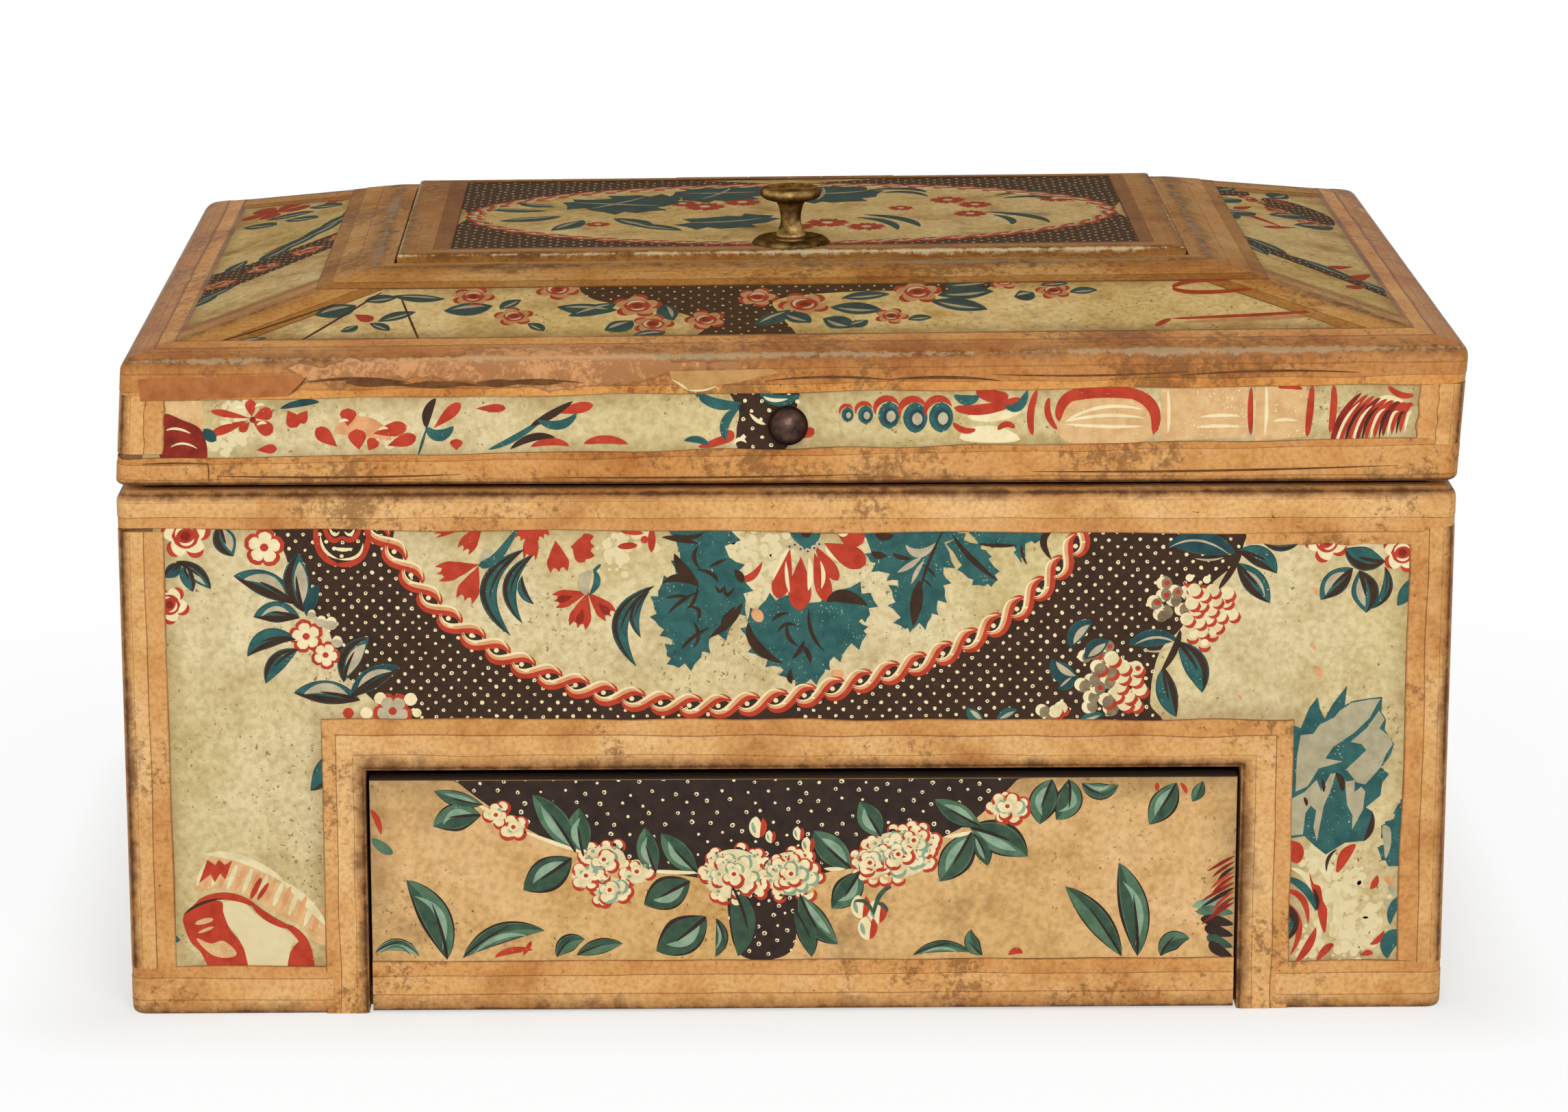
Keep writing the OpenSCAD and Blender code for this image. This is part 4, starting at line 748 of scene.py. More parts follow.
# The right leg: a large grey and blue serrated leaf over a red, cream and blue flower
blot("teal", from_place(139, 39, -15, 36, -11.3, 34.5, -9.3, 39.8, -7.3, 42.5, -6.6, 39.4, -5.4, 36.9, -3.5,
    40.7, 0, 45.5, -0.5, 40.3, 1.2, 41.4, 5.2, 42.1, 8.8, 42.5, 8.7, 38.5, 9.9, 36.7, 9.7, 33.9, 12.1, 30.3,
    11.3, 27.4, 9.2, 24.2, 11, 22.4, 9.4, 20.2, 9.1, 16.9, 5.5, 13.8, 7.3, 12.6, 7.1, 8.6, 5.2, 5, 0.5, 4.6,
    -4.2, 1.5, -7, 3.7, -9.7, 6.4, -15, 5.5), 0.06, sharp=True)
for outline in (from_place(126, 63, 21.5, 18.1, 18.2, 17.8, 14.2, 17, 11.3, 15, 9.9, 13.2, 6.4, 11.4, 4.8, 9,
        1.7, 8.7, 0.9, 2.9, 0.8, -6, 3.7, -4.7, 6.4, 0, 12.3, 1.8, 8, 2.6, 9.9, 5.6, 15, 9.2, 18.9, 13.2,
        20.7, 17), from_place(140, 66, 7.1, 12, 8.6, 9.7, 7.3, 7.4, 9.9, 5.3, 10.8, 3.3, 9.2, 0.8, 8, -2.6,
        4.2, -7.2, 2, -6.7, -0.7, -3.2, 4.2, 1.7, 3, 3.3, 0.2, 3.9, 4.2, 7.5),
        from_place(127, 52, -2, 2.7, 1.9, 4.8, 5, 8.1, 6.2, 5, 8.4, 9.6, 9.7, 9.8, 8.9, 6.3, 7, 1.4, 5.4, -8,
        4.5, -4.4, 5.1, 0, 3.7, 1.4, 2.4, -0.6, 1.9, -6.2, -2, -6.6),
        from_place(138, 50, 1.1, 9.5, 3.6, 10, 3.5, 6.8, 5.2, 8.2, 6.2, 7, 5.8, 2.3, 3.2, -3,
        3.2, 0.7, 1.8, 3.4)):
    blot("stone", outline, 0.09, sharp=True)
serrated("teal", from_place(146, 36, 9, 20, 6.4, 17.4, 5.6, 13.8, 2.5, 12, 3.5, 7, 1.7, 6.3, 4.6,
    1.3, 9, 2.2), 0.06, 0.3)
blot("stone", from_place(147, 38, 1.8, 9.8, 3.8, 9.2, 4, 4.7, 2.8, 1.4, 2.3, 4.7), 0.09)
strokes("umber", 129, 22, 0.13, 0.7, (4.2, 38.4, 5, 36.6, 4.8, 34.8, 0.5), (7.7, 39.9, 9.8, 38, 9.5, 35, 0.9),
    (-0.1, 33.6, 0.6, 32.6, 0.7, 31.2, 0.5), (17.2, 29.4, 17.6, 25, 15.2, 22, 0.8),
    (6.1, 14, 5.6, 18, 8.5, 19.8, 0.45), (3, 9.6, 4.4, 6, 3.8, 3.8, 0.6), (-5, 6, 0.8, 1, -5, -5, 1.7))
for k, (x, y) in enumerate(((132, 39), (137, 31), (141, 34), (138, 22), (144, 26), (146, 19),
        (141, 15), (130, 17))):
    rubbed_place(x, y, 2.2, 26, 320 + k)
strokes("pale", 128, 18, 0.045, 0.5, (0, 23, 6, 23, 8, 15, 1.5), (8.5, 15, 12, 9, 9, 1, 1.4),
    (-2, 19, 5, 17, 4, 8, 0.9), (2, -5, 6.5, 0, 5.6, 7, 0.9))
blot("red", from_place(123, 37, 1, 7, 5, 6.6, 6.3, 3.9, 4.7, 1.2, 1, 3.5), 0.08)
blot("red", from_place(136, 35, 1.5, 1, 1.9, 5, 3.5, 7.3, 6.2, 8.1, 5, 5, 2.7, 1.5), 0.08)
blot("red", from_place(129, 23, 1.8, 12.6, 3, 9.9, 4.6, 9, 5.4, 5.4, 6.5, 2.7, 6.1, -3.1, 4.6, 0.1, 3.8,
    4.5, 2.6, 8.1), 0.08)
strokes("red", 124, 13, 0.09, 0.7, (0, 18, 6.6, 18.5, 6.8, 9.2, 0.85), (2, 14.5, 7, 9, 2.5, 1, 0.8),
    (8.8, 8.3, 7.6, 3, 3.7, -1.1, 1.1), (9.2, -0.7, 11.5, 3.4, 13.5, 3.8, 1),
    (23.9, 22, 23.6, 19.6, 22.2, 18.4, 0.9), (26, 7.4, 25, 4.4, 22.5, 3.8, 0.8),
    (20.5, 0.8, 22, 2, 23.4, 1.2, 0.8))
strokes("teal", 123, 18, 0.16, 0.7, (1, 16.7, 8, 15, 9.6, 7.7, 1.1), (1, 7, 5.4, 5, 2, 0.6, 0.6),
    (32, 12, 28, 9, 28.5, 4, 1.2), (32, 2, 27, 1, 28, -5, 2.2))
for x, y in ((151, 33.6), (152, 31), (150.8, 27.5)):
    stroke("peach" if y > 33 else "stone", [(x - 1.2, y + 1.2), (x, y), (x + 1, y - 1.6)], 0.9, 0.07, 0.5)
print_on("front_print", on_front, "case", "printed_paper", lambda x, z: (np.clip(x, -156.5, 156.5),
    np.clip(np.where((x > -112) & (x < 122), np.maximum(z, 67.0), z), 9.5, 128.5)))

# Printed paper on the sides and back of the case
# Lengths of the same wallpaper, hung with the swag in the middle of each face.


def garland(half, low, high, seed):
    """The swag as it falls on another face, half its width: a cord that hangs by the power 2.2 of the
    distance from the middle, a dark dotted field under it, clusters and leaves in turn along the field's
    lower edge, roses and carnations to both sides and a serrated leaf in the middle."""
    t = np.linspace(-1, 1, 25)
    dip = low + 0.42 * (high - low)
    line = np.stack([0.74 * half * t, dip + (high + 4 - dip) * np.abs(t) ** 2.2], -1)
    outer = np.stack([0.97 * half * t, line[:, 1] - 23 + 4 * np.cos(9 * t)], -1)
    dotted_ground(np.concatenate([line, outer[::-1]])[::2], seed)
    rope(line)
    for k, (x, y) in enumerate(outer[3:-2:2]):
        if k % 2:
            cluster(x, y, 6.2, 5.8, 14, seed + k, 2.2, 0.4)
            continue
        for way in np.radians((25, 85, 150, 215, 275, 335)):
            leaf(x, y, x + 11 * np.cos(way), y + 11 * np.sin(way), 2.3, 0.9, 1, 0.8)
        five_petals(x, y, 4.0, 20 * k)
    for side in (-1, 1):
        rose(side * (half - 8), high - 9, 5.0, 30)
        leaf(side * (half - 9), high - 15, side * (half - 17), high - 25, 2.6, side * 0.8, 1, 0.8)
        leaf(side * (half - 7), high - 15, side * (half - 3), high - 26, 2.4, side * 0.6, -1, 0.8)
        rose(side * 0.5 * half, low + 8, 4.6, 10)
        for way in np.radians((35, 100, 165)):
            x, y = side * 0.5 * half, low + 8
            leaf(x + 4 * np.cos(way), y + 4 * np.sin(way), x + 14 * np.cos(way),
                y + 13 * np.sin(way), 2.4, 0.7, 1, 0.8)
        for x, y in ((-6, -5), (0, -8), (6, -5)):
            fringed_petal(side * 0.3 * half, high - 10, side * 0.3 * half + x, high - 10 + y, 2.1)
        leaf(side * 0.3 * half, high - 11, side * 0.3 * half + 3, high + 3, 1.2, 0.8, 0, 0)
    middle = 0.45 * dip + 0.55 * high
    serrated("teal", [(-9, middle), (-7, middle + 9), (0, middle + 14), (7, middle + 10), (10, middle + 2),
        (6, middle - 9), (0, middle - 15), (-6, middle - 8)], 0.09, 0.9)
    for points in ([(0, 13), (1.5, 0), (0, -13)], [(0.6, 5), (-2, 4), (-6, 6)],
            [(0.8, -2), (3.6, -2), (7, 1)], [(0.4, -6), (-2.4, -6), (-5, -4)]):
        stroke("umber", np.array(points) + (0, middle), 0.5, 0.15, 0.7)


sides = {"left": ((-half_w, 0, 0), (0, -1, 0), half_d), "right": ((half_w, 0, 0), (0, 1, 0), half_d),
    "back": ((0, half_d, 0), (-1, 0, 0), half_w)}
for k, (side, (origin, across, reach)) in enumerate(sides.items()):
    face = face_at(origin, across, (0, 0, 1))
    u, v = np.meshgrid(np.linspace(8 - reach, reach - 8, 121), np.linspace(9, 129, 61))
    to_strip = np.minimum(reach - 11 - np.abs(u), np.minimum(v - 12.8, 124 - v))
    sheet(f"{side}_sheet", face, u, v, to_strip, green_ground, "case", "printed_paper", ["side_papers"])
    garland(reach - 11, 13, 124, 210 + 20 * k)
    print_on(f"{side}_print", face, "case", "printed_paper", within(8.5 - reach, reach - 8.5, 9.5, 128.5))

# Strips round the case
# Bands of tan paper, ruled with two brown lines on each side of the fold and pasted over every edge of the
# case. They overlap the printed paper, wander a little, and are grimy and chipped where they fold.


def tan_paper(name, edge, plain, light, grimy, flecked, grime=0.75, creased=0.0, tears=0.0,
        worn=0.0, shine=0.2):
    """Ruled tan paper, read from the strip's own map: across it 0 and 6 are the edges, 1, 2, 4 and 5 the
    ruled lines and 3 the fold. It browns towards the fold by handling, grime spreads from there in clouds,
    and brown stains and flecks of 0.5 mm gather in patches by the share flecked. Creases run along the strip,
    tears is the share where the face of the paper has come away, and worn how far the fold is rubbed pale."""
    material, add = new_material(name)
    place = add("TexCoord", out="Object")
    flat = add("UVMap", uv_map="across_strip")
    waver = add("TexNoise", Vector=place, Scale=55, Detail=4)
    waver = add("MapRange", Value=waver, To_Min=-0.08, To_Max=0.08)
    across = add("SeparateXYZ", Vector=flat, out="Y")
    across = add("Math", across, waver, operation="ADD")
    folded = add("Math", across, 3, operation="SUBTRACT")
    folded = add("Math", folded, operation="ABSOLUTE")
    share = add("MapRange", Value=folded, From_Min=3, From_Max=0)
    colour = add("ValToRGB", Fac=share, stops=[(0.0, edge), (0.04, plain), (0.312, plain), (0.328, "#7E532B"),
        (0.345, light), (0.66, light), (0.674, "#9A6B3C"), (0.688, light), (1.0, light)])
    colour = laid_over(add, colour, share, 0.68, 1.0, 0.9 * grime, edge)
    cloud = add("TexNoise", Vector=place, Scale=42, Detail=7, Roughness=0.62)
    shade = add("ValToRGB", Fac=cloud, stops=[(0.32, "#C79F6C"), (0.47, "#EFDFC6"), (0.64, "#FFFFFF")])
    colour = add("Mix", 0.85, A=colour, B=shade, data_type="RGBA", blend_type="MULTIPLY")
    fibre = add("TexNoise", Vector=place, Scale=800, Detail=4, Roughness=0.6)
    shade = add("ValToRGB", Fac=fibre, stops=[(0.34, "#CFB083"), (0.56, "#FFFFFF")])
    colour = add("Mix", 0.5, A=colour, B=shade, data_type="RGBA", blend_type="MULTIPLY")
    spread = add("TexNoise", Vector=place, Scale=26, Detail=5, Roughness=0.6)
    fleck = add("TexNoise", Vector=place, Scale=480, Detail=5, Roughness=0.75)
    fleck = add("Math", spread, fleck, operation="ADD")
    colour = laid_over(add, colour, fleck, 1.14 - 0.12 * flecked, 1.26 - 0.12 * flecked, 0.68, "#6F4620")
    smear = add("TexNoise", Vector=place, Scale=230, Detail=6, Roughness=0.7)
    spoilt = add("Math", cloud, 1.3, share, operation="MULTIPLY_ADD")
    spoilt = add("Math", smear, 1.1, spoilt, operation="MULTIPLY_ADD")
    colour = laid_over(add, colour, spoilt, 2.07 - 0.2 * grime, 2.42 - 0.2 * grime, 0.75, grimy)
    arris = add("Math", smear, 0.5, share, operation="MULTIPLY_ADD")
    colour = laid_over(add, colour, arris, 1.16, 1.26, grime, "#47290F")
    speck = add("TexNoise", Vector=place, Scale=330, Detail=3, Roughness=0.8)
    colour = laid_over(add, colour, speck, 0.69, 0.73, 0.8, "#3F2812")
    height = fibre
    if creased:
        along = add("Mapping", Vector=flat, Scale=(0.025, 1.4, 1.0))
        crease = add("TexNoise", Vector=along, Scale=1, Detail=5, Roughness=0.6)
        crease = add("Math", crease, 0.5, operation="SUBTRACT")
        crease = add("Math", crease, operation="ABSOLUTE")
        colour = laid_over(add, colour, crease, 0.010, 0.0, creased, "#5A3A1C")
    if tears:
        place_across = add("Math", across, 2.3, operation="SUBTRACT")
        place_across = add("Math", place_across, operation="ABSOLUTE")
        rip = add("TexNoise", Vector=place, Scale=22, Detail=5, Roughness=0.58)
        rip = add("Math", place_across, -0.09, rip, operation="MULTIPLY_ADD")
        beside = add("SeparateXYZ", Vector=place, out="X")
        beside = add("Math", beside, 0.07, operation="ADD")
        beside = add("Math", beside, operation="ABSOLUTE")
        beside = add("MapRange", Value=beside, From_Min=0.035, From_Max=0.065, To_Max=0.16)
        rip = add("Math", rip, beside, operation="SUBTRACT")
        rip = add("Math", rip, 0.56 - 0.2 * tears, operation="SUBTRACT")
        torn = add("MapRange", Value=rip, From_Min=0, From_Max=0.006)
        bare = add("ValToRGB", Fac=fleck, stops=[(0.88, "#C48D5C"), (1.08, "#9F6C40")])
        colour = add("Mix", torn, A=colour, B=bare, data_type="RGBA")
        rim = add("Math", rip, operation="ABSOLUTE")
        colour = laid_over(add, colour, rim, 0.014, 0.003, 0.6, "#7A4E28")
        height = add("Math", torn, -1.5, fibre, operation="MULTIPLY_ADD")
    if worn:
        rubbed = add("Math", fleck, 0.45, share, operation="MULTIPLY_ADD")
        colour = laid_over(add, colour, rubbed, 1.36, 1.44, worn, "#CDB88F")
    close_paper(add, colour, height, 0.3, 0.0003, 0.6, shine)
    return material


def close_seams(piece):
    """Joins points that lie on one another and turns every face outwards."""
    shell = bmesh.new()
    shell.from_mesh(piece.data)
    bmesh.ops.remove_doubles(shell, verts=shell.verts, dist=2e-6)
    bmesh.ops.recalc_face_normals(shell, faces=shell.faces)
    shell.to_mesh(piece.data)
    shell.free()


def strip(name, grid, band, material, body, stands_for=()):
    """A folded strip: grid[i, k] is point k of a closed cross-section at step i along it, band[k] that
    point's place across the strip. A path that comes back to its start is closed, any other capped."""
    steps, around = grid.shape[:2]
    index = np.arange(steps * around).reshape(steps, around)
    nearby = np.roll(index, -1, 1)
    faces = np.stack([index[:-1], index[1:], nearby[1:], nearby[:-1]], -1).reshape(-1, 4).tolist()
    if np.abs(grid[0] - grid[-1]).max() > 0.01:
        faces += [index[0].tolist(), index[-1, ::-1].tolist()]
    piece = add_piece(name, grid.reshape(-1, 3), faces, material, body, "binding_paper", stands_for, True)
    run = np.linalg.norm(np.diff(grid.mean(1), axis=0), axis=-1)
    along = np.concatenate([[0], np.cumsum(run)])
    corner = np.concatenate([np.ravel(face) for face in faces]).astype(int)
    flat = np.stack([along[corner // around], np.asarray(band, float)[corner % around]], -1)
    piece.data.uv_layers.new(name="across_strip").data.foreach_set("uv", flat.ravel().astype(np.float32))
    close_seams(piece)
    piece.data.set_sharp_from_angle(angle=0.4)
    return piece


def wander(along, seed, swing, wave):
    """Hand wobble along a closed way, given as shares of its length: a mean of four sines of whole waves."""
    rng = np.random.default_rng(seed)
    count = np.round(rng.uniform(0.5, 1.8, 4) / wave)
    return swing * np.sin(2 * np.pi * (np.asarray(along)[:, None] * count + rng.random(4))).mean(1) * 1.7


def unsteady(grid, seed, swings, wave, edge_drift=0.0, line_drift=0.0):
    """Lets a strip's edge and its first ruled line wander up and down, each about its own drift."""
    way = np.linspace(0, 1, len(grid))
    grid[:, [0, 1, -1], 2] += (edge_drift + wander(way, seed, swings[0], wave))[:, None]
    grid[:, 2:4, 2] += (line_drift + wander(way, seed + 1, swings[1], wave))[:, None]


def round_box(half_x, half_y, radius, height, shift_x=0.0, shift_y=0.0):
    """Carries a cross-section round a box from the middle of its back, anticlockwise from above. Point k lies
    on a rectangle of half sizes half_x[k] and half_y[k], with corners of radius[k], at height[k]. A step has
    the share of the half sizes where its corner circle is centred, and its outward angle."""
    half, side, bow = np.linspace(0, 1, 31), np.linspace(-1, 1, 67), np.linspace(0, 90, 7)
    front = np.linspace(-1, 1, 111)
    full, quarter = np.ones(31), np.ones(7)
    cx = np.concatenate([-half, -quarter, -np.ones(67), -quarter, front, quarter, np.ones(67),
        quarter, half[::-1]])
    cy = np.concatenate([full, quarter, -side, -quarter, -np.ones(111), -quarter, side, quarter, full])
    way = np.radians(np.concatenate([90 * full, 90 + bow, 180 * np.ones(67), 180 + bow, 270 * np.ones(111),
        270 + bow, 360 * np.ones(67), 360 + bow, 450 * full]))
    cx, cy, way = cx[:, None], cy[:, None], way[:, None]
    half_x, half_y, radius = (np.asarray(a, float) for a in (half_x, half_y, radius))
    x = cx * (half_x - radius) + radius * np.cos(way) + shift_x
    y = cy * (half_y - radius) + radius * np.sin(way) + shift_y
    return np.stack([x, y, np.broadcast_to(height, x.shape)], -1)


def at_front(grid):
    """1 for the steps of a strip on the front, falling to 0 along the first 26 mm of the sides."""
    return np.clip((-grid[:, 3, 1] - 80) / 26, 0, 1)


tan_strip = tan_paper("tan_strip_paper", "#84572B", "#D7A66B", "#E0B67D", "#6A3E1B", 0.4, 0.8)
board_r = 3.3
# Along the top edge: a fold over the arris down to the inner face
bow = np.radians(np.arange(0, 91, 15))
out = np.concatenate([[0.1, 0.6, 0.64, 0.78], 3 * np.cos(bow) - 2.22, [-5.6, -5.95, -5.95, -3, -0.3, -0.3]])
high = np.concatenate([[123.6, 123.7, 127.6, 127.7], 132 + 3 * np.sin(bow),
    [135, 134.9, 134.2, 133, 130.5, 123.6]])
band = np.concatenate([[0, 0.02, 0.97, 1.03], np.linspace(1.85, 4.15, 7), [5, 5.1, 5.2, 6, 6, 6]])
grid = round_box(half_w + out, half_d + out, np.maximum(board_r + out, 0), high)
to_left = at_front(grid) * np.clip((90 - grid[:, 3, 0]) / 245, 0, 1)
unsteady(grid, 11, (0.25, 0.2), 0.06, 2.1 * to_left, to_left)
strip("case_top_strip", grid, band, tan_strip, "case", ["case_top_binding"])
# A short mend under it, at the right of the front
x = np.linspace(113, 157, 23)
low = 120.7 + wander(np.linspace(0, 1, 23), 13, 0.4, 0.3)
out, share = np.array([(0.3, 0), (0.59, 0.02), (0.59, 1), (-0.2, 1), (-0.2, 0)]).T
low = low[:, None] + share * (126 - low[:, None])
grid = np.stack([np.broadcast_to(x[:, None], low.shape), np.broadcast_to(front_y - out, low.shape), low], -1)
strip("case_mend_strip", grid, [0.05, 0.1, 0.9, 0.9, 0.05], tan_strip, "case")
# Round the foot, with a gap for the opening
out = np.array([0.1, 0.6, 0.64, 0.78, 0.78, 0.66, 0.35, 0.0, -2.5, -2.5, -0.3, -0.3])
high = [12.7, 12.6, 9.4, 9.3, 3.8, 1.2, 0.35, 0.02, 0.02, 0.4, 1.0, 12.7]
band = [0, 0.02, 0.97, 1.03, 2.0, 2.6, 2.9, 3.2, 4, 6, 6, 6]
grid = round_box(half_w + out, half_d + out, np.maximum(board_r + out, 0), high)
unsteady(grid, 14, (0.2, 0.2), 0.06)
gap = (grid[:, 3, 1] < front_y) & (grid[:, 3, 0] > -113.5) & (grid[:, 3, 0] < 121.5)
first = np.flatnonzero(gap)[-1] + 1
order = np.concatenate([np.arange(first, len(grid)), np.arange(1, np.flatnonzero(gap)[0])])
strip("case_foot_strip", grid[order], band, tan_strip, "case", ["case_foot_binding"])


def upright_strip(name, side_x, side_y, low, high, seed, body, stands_for=(), bend=None):
    """A strip up one corner of a box: from an edge 11 mm along the front or back, round the corner and along
    the side. Points are given as distances from the corner and outwards."""
    along = np.array([11.0, 10.9, 6.1, 5.9])
    out = np.array([0.1, 0.58, 0.61, 0.72])
    reach = board_r + 0.72
    across = np.concatenate([along, board_r - reach * np.sin(bow), -out[::-1], [0.3, 1.5, 11]])
    deep = np.concatenate([-out, board_r - reach * np.cos(bow), along[::-1], [11, 1.5, 0.3]])
    band = np.concatenate([[0, 0.02, 0.97, 1.03], np.linspace(1.7, 4.3, 7), [4.97, 5.03, 5.98, 6], [6, 3, 0]])
    up = np.linspace(low, high, 30)
    share = np.linspace(0, 1, 30)
    across = np.repeat(across[None], 30, 0)
    deep = np.repeat(deep[None], 30, 0)
    across[:, [0, 1, -1]] += wander(share, seed, 0.25, 0.5)[:, None]
    across[:, 2:4] += wander(share, seed + 1, 0.2, 0.5)[:, None]
    deep[:, 11:16] += wander(share, seed + 2, 0.25, 0.5)[:, None]
    grid = np.stack([side_x * (half_w - across), side_y * (half_d - deep), np.repeat(up[:, None], 18, 1)], -1)
    return strip(name, bend(grid) if bend else grid, band, tan_strip, body, stands_for)


corners = ((-1, -1), (1, -1), (-1, 1), (1, 1))
for k, (side_x, side_y) in enumerate(corners):
    upright_strip(f"case_corner_strip_{k + 1}", side_x, side_y, 12, 125, 21 + 4 * k, "case",
        ["case_corner_bindings"])
# Round the drawer's opening: up the left, along the top and down the right, mitred and folded inwards
left, right, top = opening
share = np.array([1.0, 0.99, 0.66, 0.64, 0.26, 0.07, 0.02, -0.03, -0.03, 0.03, 0.06, 1.0])
out = np.array([0.15, 0.62, 0.66, 0.8, 0.8, 0.8, 0.62, 0.3, -5.2, -5.2, -0.3, -0.3])
band = [0, 0.02, 0.97, 1.03, 2.0, 2.7, 3.0, 3.3, 5, 6, 6, 6]
leg, bar = np.linspace(0, 1, 24)[:, None], np.linspace(0, 1, 70)[:, None]
x_left, x_right, z_top = left - 10.4 * share, right + 12.6 * share, top + 12.6 * share
x = np.concatenate([x_left + 0 * leg, x_left + bar * (x_right - x_left), x_right + 0 * leg])
z = np.concatenate([0.02 + leg * (z_top - 0.02), z_top + 0 * bar, z_top - leg * (z_top - 0.02)])
grid = np.stack([x, np.broadcast_to(front_y - out, x.shape), z], -1)
way = np.concatenate([np.linspace(0, 0.2, 24), np.linspace(0.2, 0.8, 70), np.linspace(0.8, 1, 24)])
for columns, seed in (([0, 1, -1], 41), ([2, 3], 42), ([4], 43)):
    drift = wander(way, seed, 0.25, 0.12)[:, None]
    climb = z[:, columns] / z_top[columns]
    grid[:, columns, 2] += climb * (drift - 0.006 * x[:, columns])
    grid[:, columns, 0] += (1 - climb) * drift
strip("opening_strip", grid, band, tan_strip, "case", ["opening_binding"])

# Drawer
# Its front is papered like the case, but painted over on a peach ground and varnished: a dark swag with
# rings, white and red flower heads and dark green leaves. A tan strip closes its lower edge.
peach_ground = printed_paper("printed_paper_peach_ground", "#DFB883", "#D5AC74",
    "#C0945C", "#6F5630", 0.5, 0.7)
paints["green"] = distemper("green_distemper", "#56735A", "#426049", "#8FA68B", 0.5)
paints["dark_green"] = distemper("dark_green_distemper", "#3D5643", "#304235", "#66806A", 0.35)
paints["mint"] = distemper("pale_green_distemper", "#8BA58A", "#748F79", "#C4CCAA", 0.4)
paints["soot"] = distemper("varnished_umber_distemper", "#352822", "#2A1F1A", "#57402E", 0.1)
drawer_low, drawer_high = (np.array(corner) * 1000 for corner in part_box("drawer_front"))
u, v = np.meshgrid(np.linspace(drawer_low[0] + 0.15, drawer_high[0] - 0.15, 110),
    np.linspace(9, drawer_high[2] - 0.1, 27))
to_edge = np.minimum(np.minimum(u - drawer_low[0], drawer_high[0] - u), drawer_high[2] - v)
sheet("drawer_sheet", on_front, u, v, to_edge * 0.55, peach_ground, "drawer",
    "drawer_paper", ["drawer_paper"])


def green_leaf(x0, y0, x1, y1, half, bend=0.0, green="green", shade=1, gleam="mint"):
    """A painted leaf: a dark lens, a green one in it, a darker one along one edge, two thin pale strokes
    along the other, and a dark vein."""
    base, tip, run, out = way_to_tip(x0, y0, x1, y1)
    out = out * shade * half
    middle = (base + tip) / 2 + 2 * bend * shade * out / half
    stroke("soot", [base, middle, tip], 1.25 * half, 0.07, 0.8)
    stroke(green, [base, middle - 0.1 * out, tip], 1.1 * half, 0.09, 0.8)
    stroke("dark_green", [base, middle + 0.9 * out, tip], 0.46 * half, 0.115, 0.8)
    stroke("soot", [base, (base + middle) / 2, 0.7 * middle + 0.3 * tip], 0.13 * half, 0.165, 0.5, 0.7)
    if gleam:
        for away, wide in ((0.6, 0.2), (1.2, 0.12)):
            stroke(gleam, [base + 0.12 * run, middle - away * out, tip - 0.2 * run], wide * half, 0.14, 0.8)


def flower_head(x, y, rx, ry, rows, seed):
    """A head of overlapping petals: rings of them from the rim inwards, each a red arc, or within the rim
    mostly a pale green one, with a cream curl in it, and a red and cream heart."""
    rng = np.random.default_rng(seed)
    stroke("pale", [(x - rx, y), (x, y), (x + rx, y)], 0.95 * ry, 0.05, 0.5)
    for row in range(rows, 0, -1):
        share = (row - 0.35) / rows
        count = max(5, int(2 * np.pi * share * (rx + ry) / 2 / 2.7))
        for turn in np.arange(count) * 360 / count + rng.uniform(0, 60):
            way = turn + rng.normal(0, 12)
            c, s = np.cos(np.radians(way)), np.sin(np.radians(way))
            px, py = np.array([x + share * rx * c, y + share * ry * s]) + rng.normal(0, 0.45, 2)
            lift, size = 0.07 + 0.10 * (1 - share), rng.uniform(1.3, 1.9)
            under = "red" if row == rows or rng.random() < 0.4 else "mint"
            arc(under, px + 0.25, py - 0.35, size, way - 95, way + 95, 0.52, lift, 0.5)
            arc("cream", px, py, 0.6 * size, way - 100, way + 70, 0.42 * size, lift + 0.02, 0.6)
            spot("mint" if rng.random() < 0.5 else "pale", px - 0.7 * c, py - 0.7 * s, 0.5, lift + 0.025)
    spot("cream", x, y, 1.3, 0.19)
    spot("red", x, y, 0.6, 0.21)


swag = from_place(-82, 35, 0, 26.5, 0, 25.3, 7, 19.6, 16, 13.8, 26, 8.3, 36, 5, 47, 2.5, 61, 0, 72, -1.6, 86,
    0, 97, 3, 109, 6, 118, 9.3, 127, 14, 134, 20, 139, 25.3, 139, 26.5, 72, 26.5)
pendant = from_place(-6, 13, -7.5, 20, 8, 20, 8.3, 9, 6.5, 2.5, 0, 0.4, -6, 2, -8.5, 9)
rng = np.random.default_rng(31)
for outline, pitch in ((swag, 5.6), (pendant, 4.8)):
    loop = smooth_loop(outline)
    cut_outs.setdefault("soot", []).append((loop, 0.04))
    x, y = np.meshgrid(np.arange(-84, 60, pitch), np.arange(13, 62, pitch / 2))
    x = x + (np.arange(len(y)) % 2)[:, None] * pitch / 2
    spots = np.stack([x.ravel(), y.ravel()], -1) + rng.normal(0, 0.5, (x.size, 2))
    spots = spots[inside(spots, loop)]
    size = rng.uniform(0.34, 0.62, len(spots))
    dots.setdefault("cream", []).append((spots, size, 0.07, 33))
    hollow = size > 0.44
    dots.setdefault("umber", []).append((spots[hollow] - 0.08, 0.45 * size[hollow], 0.10, 34))
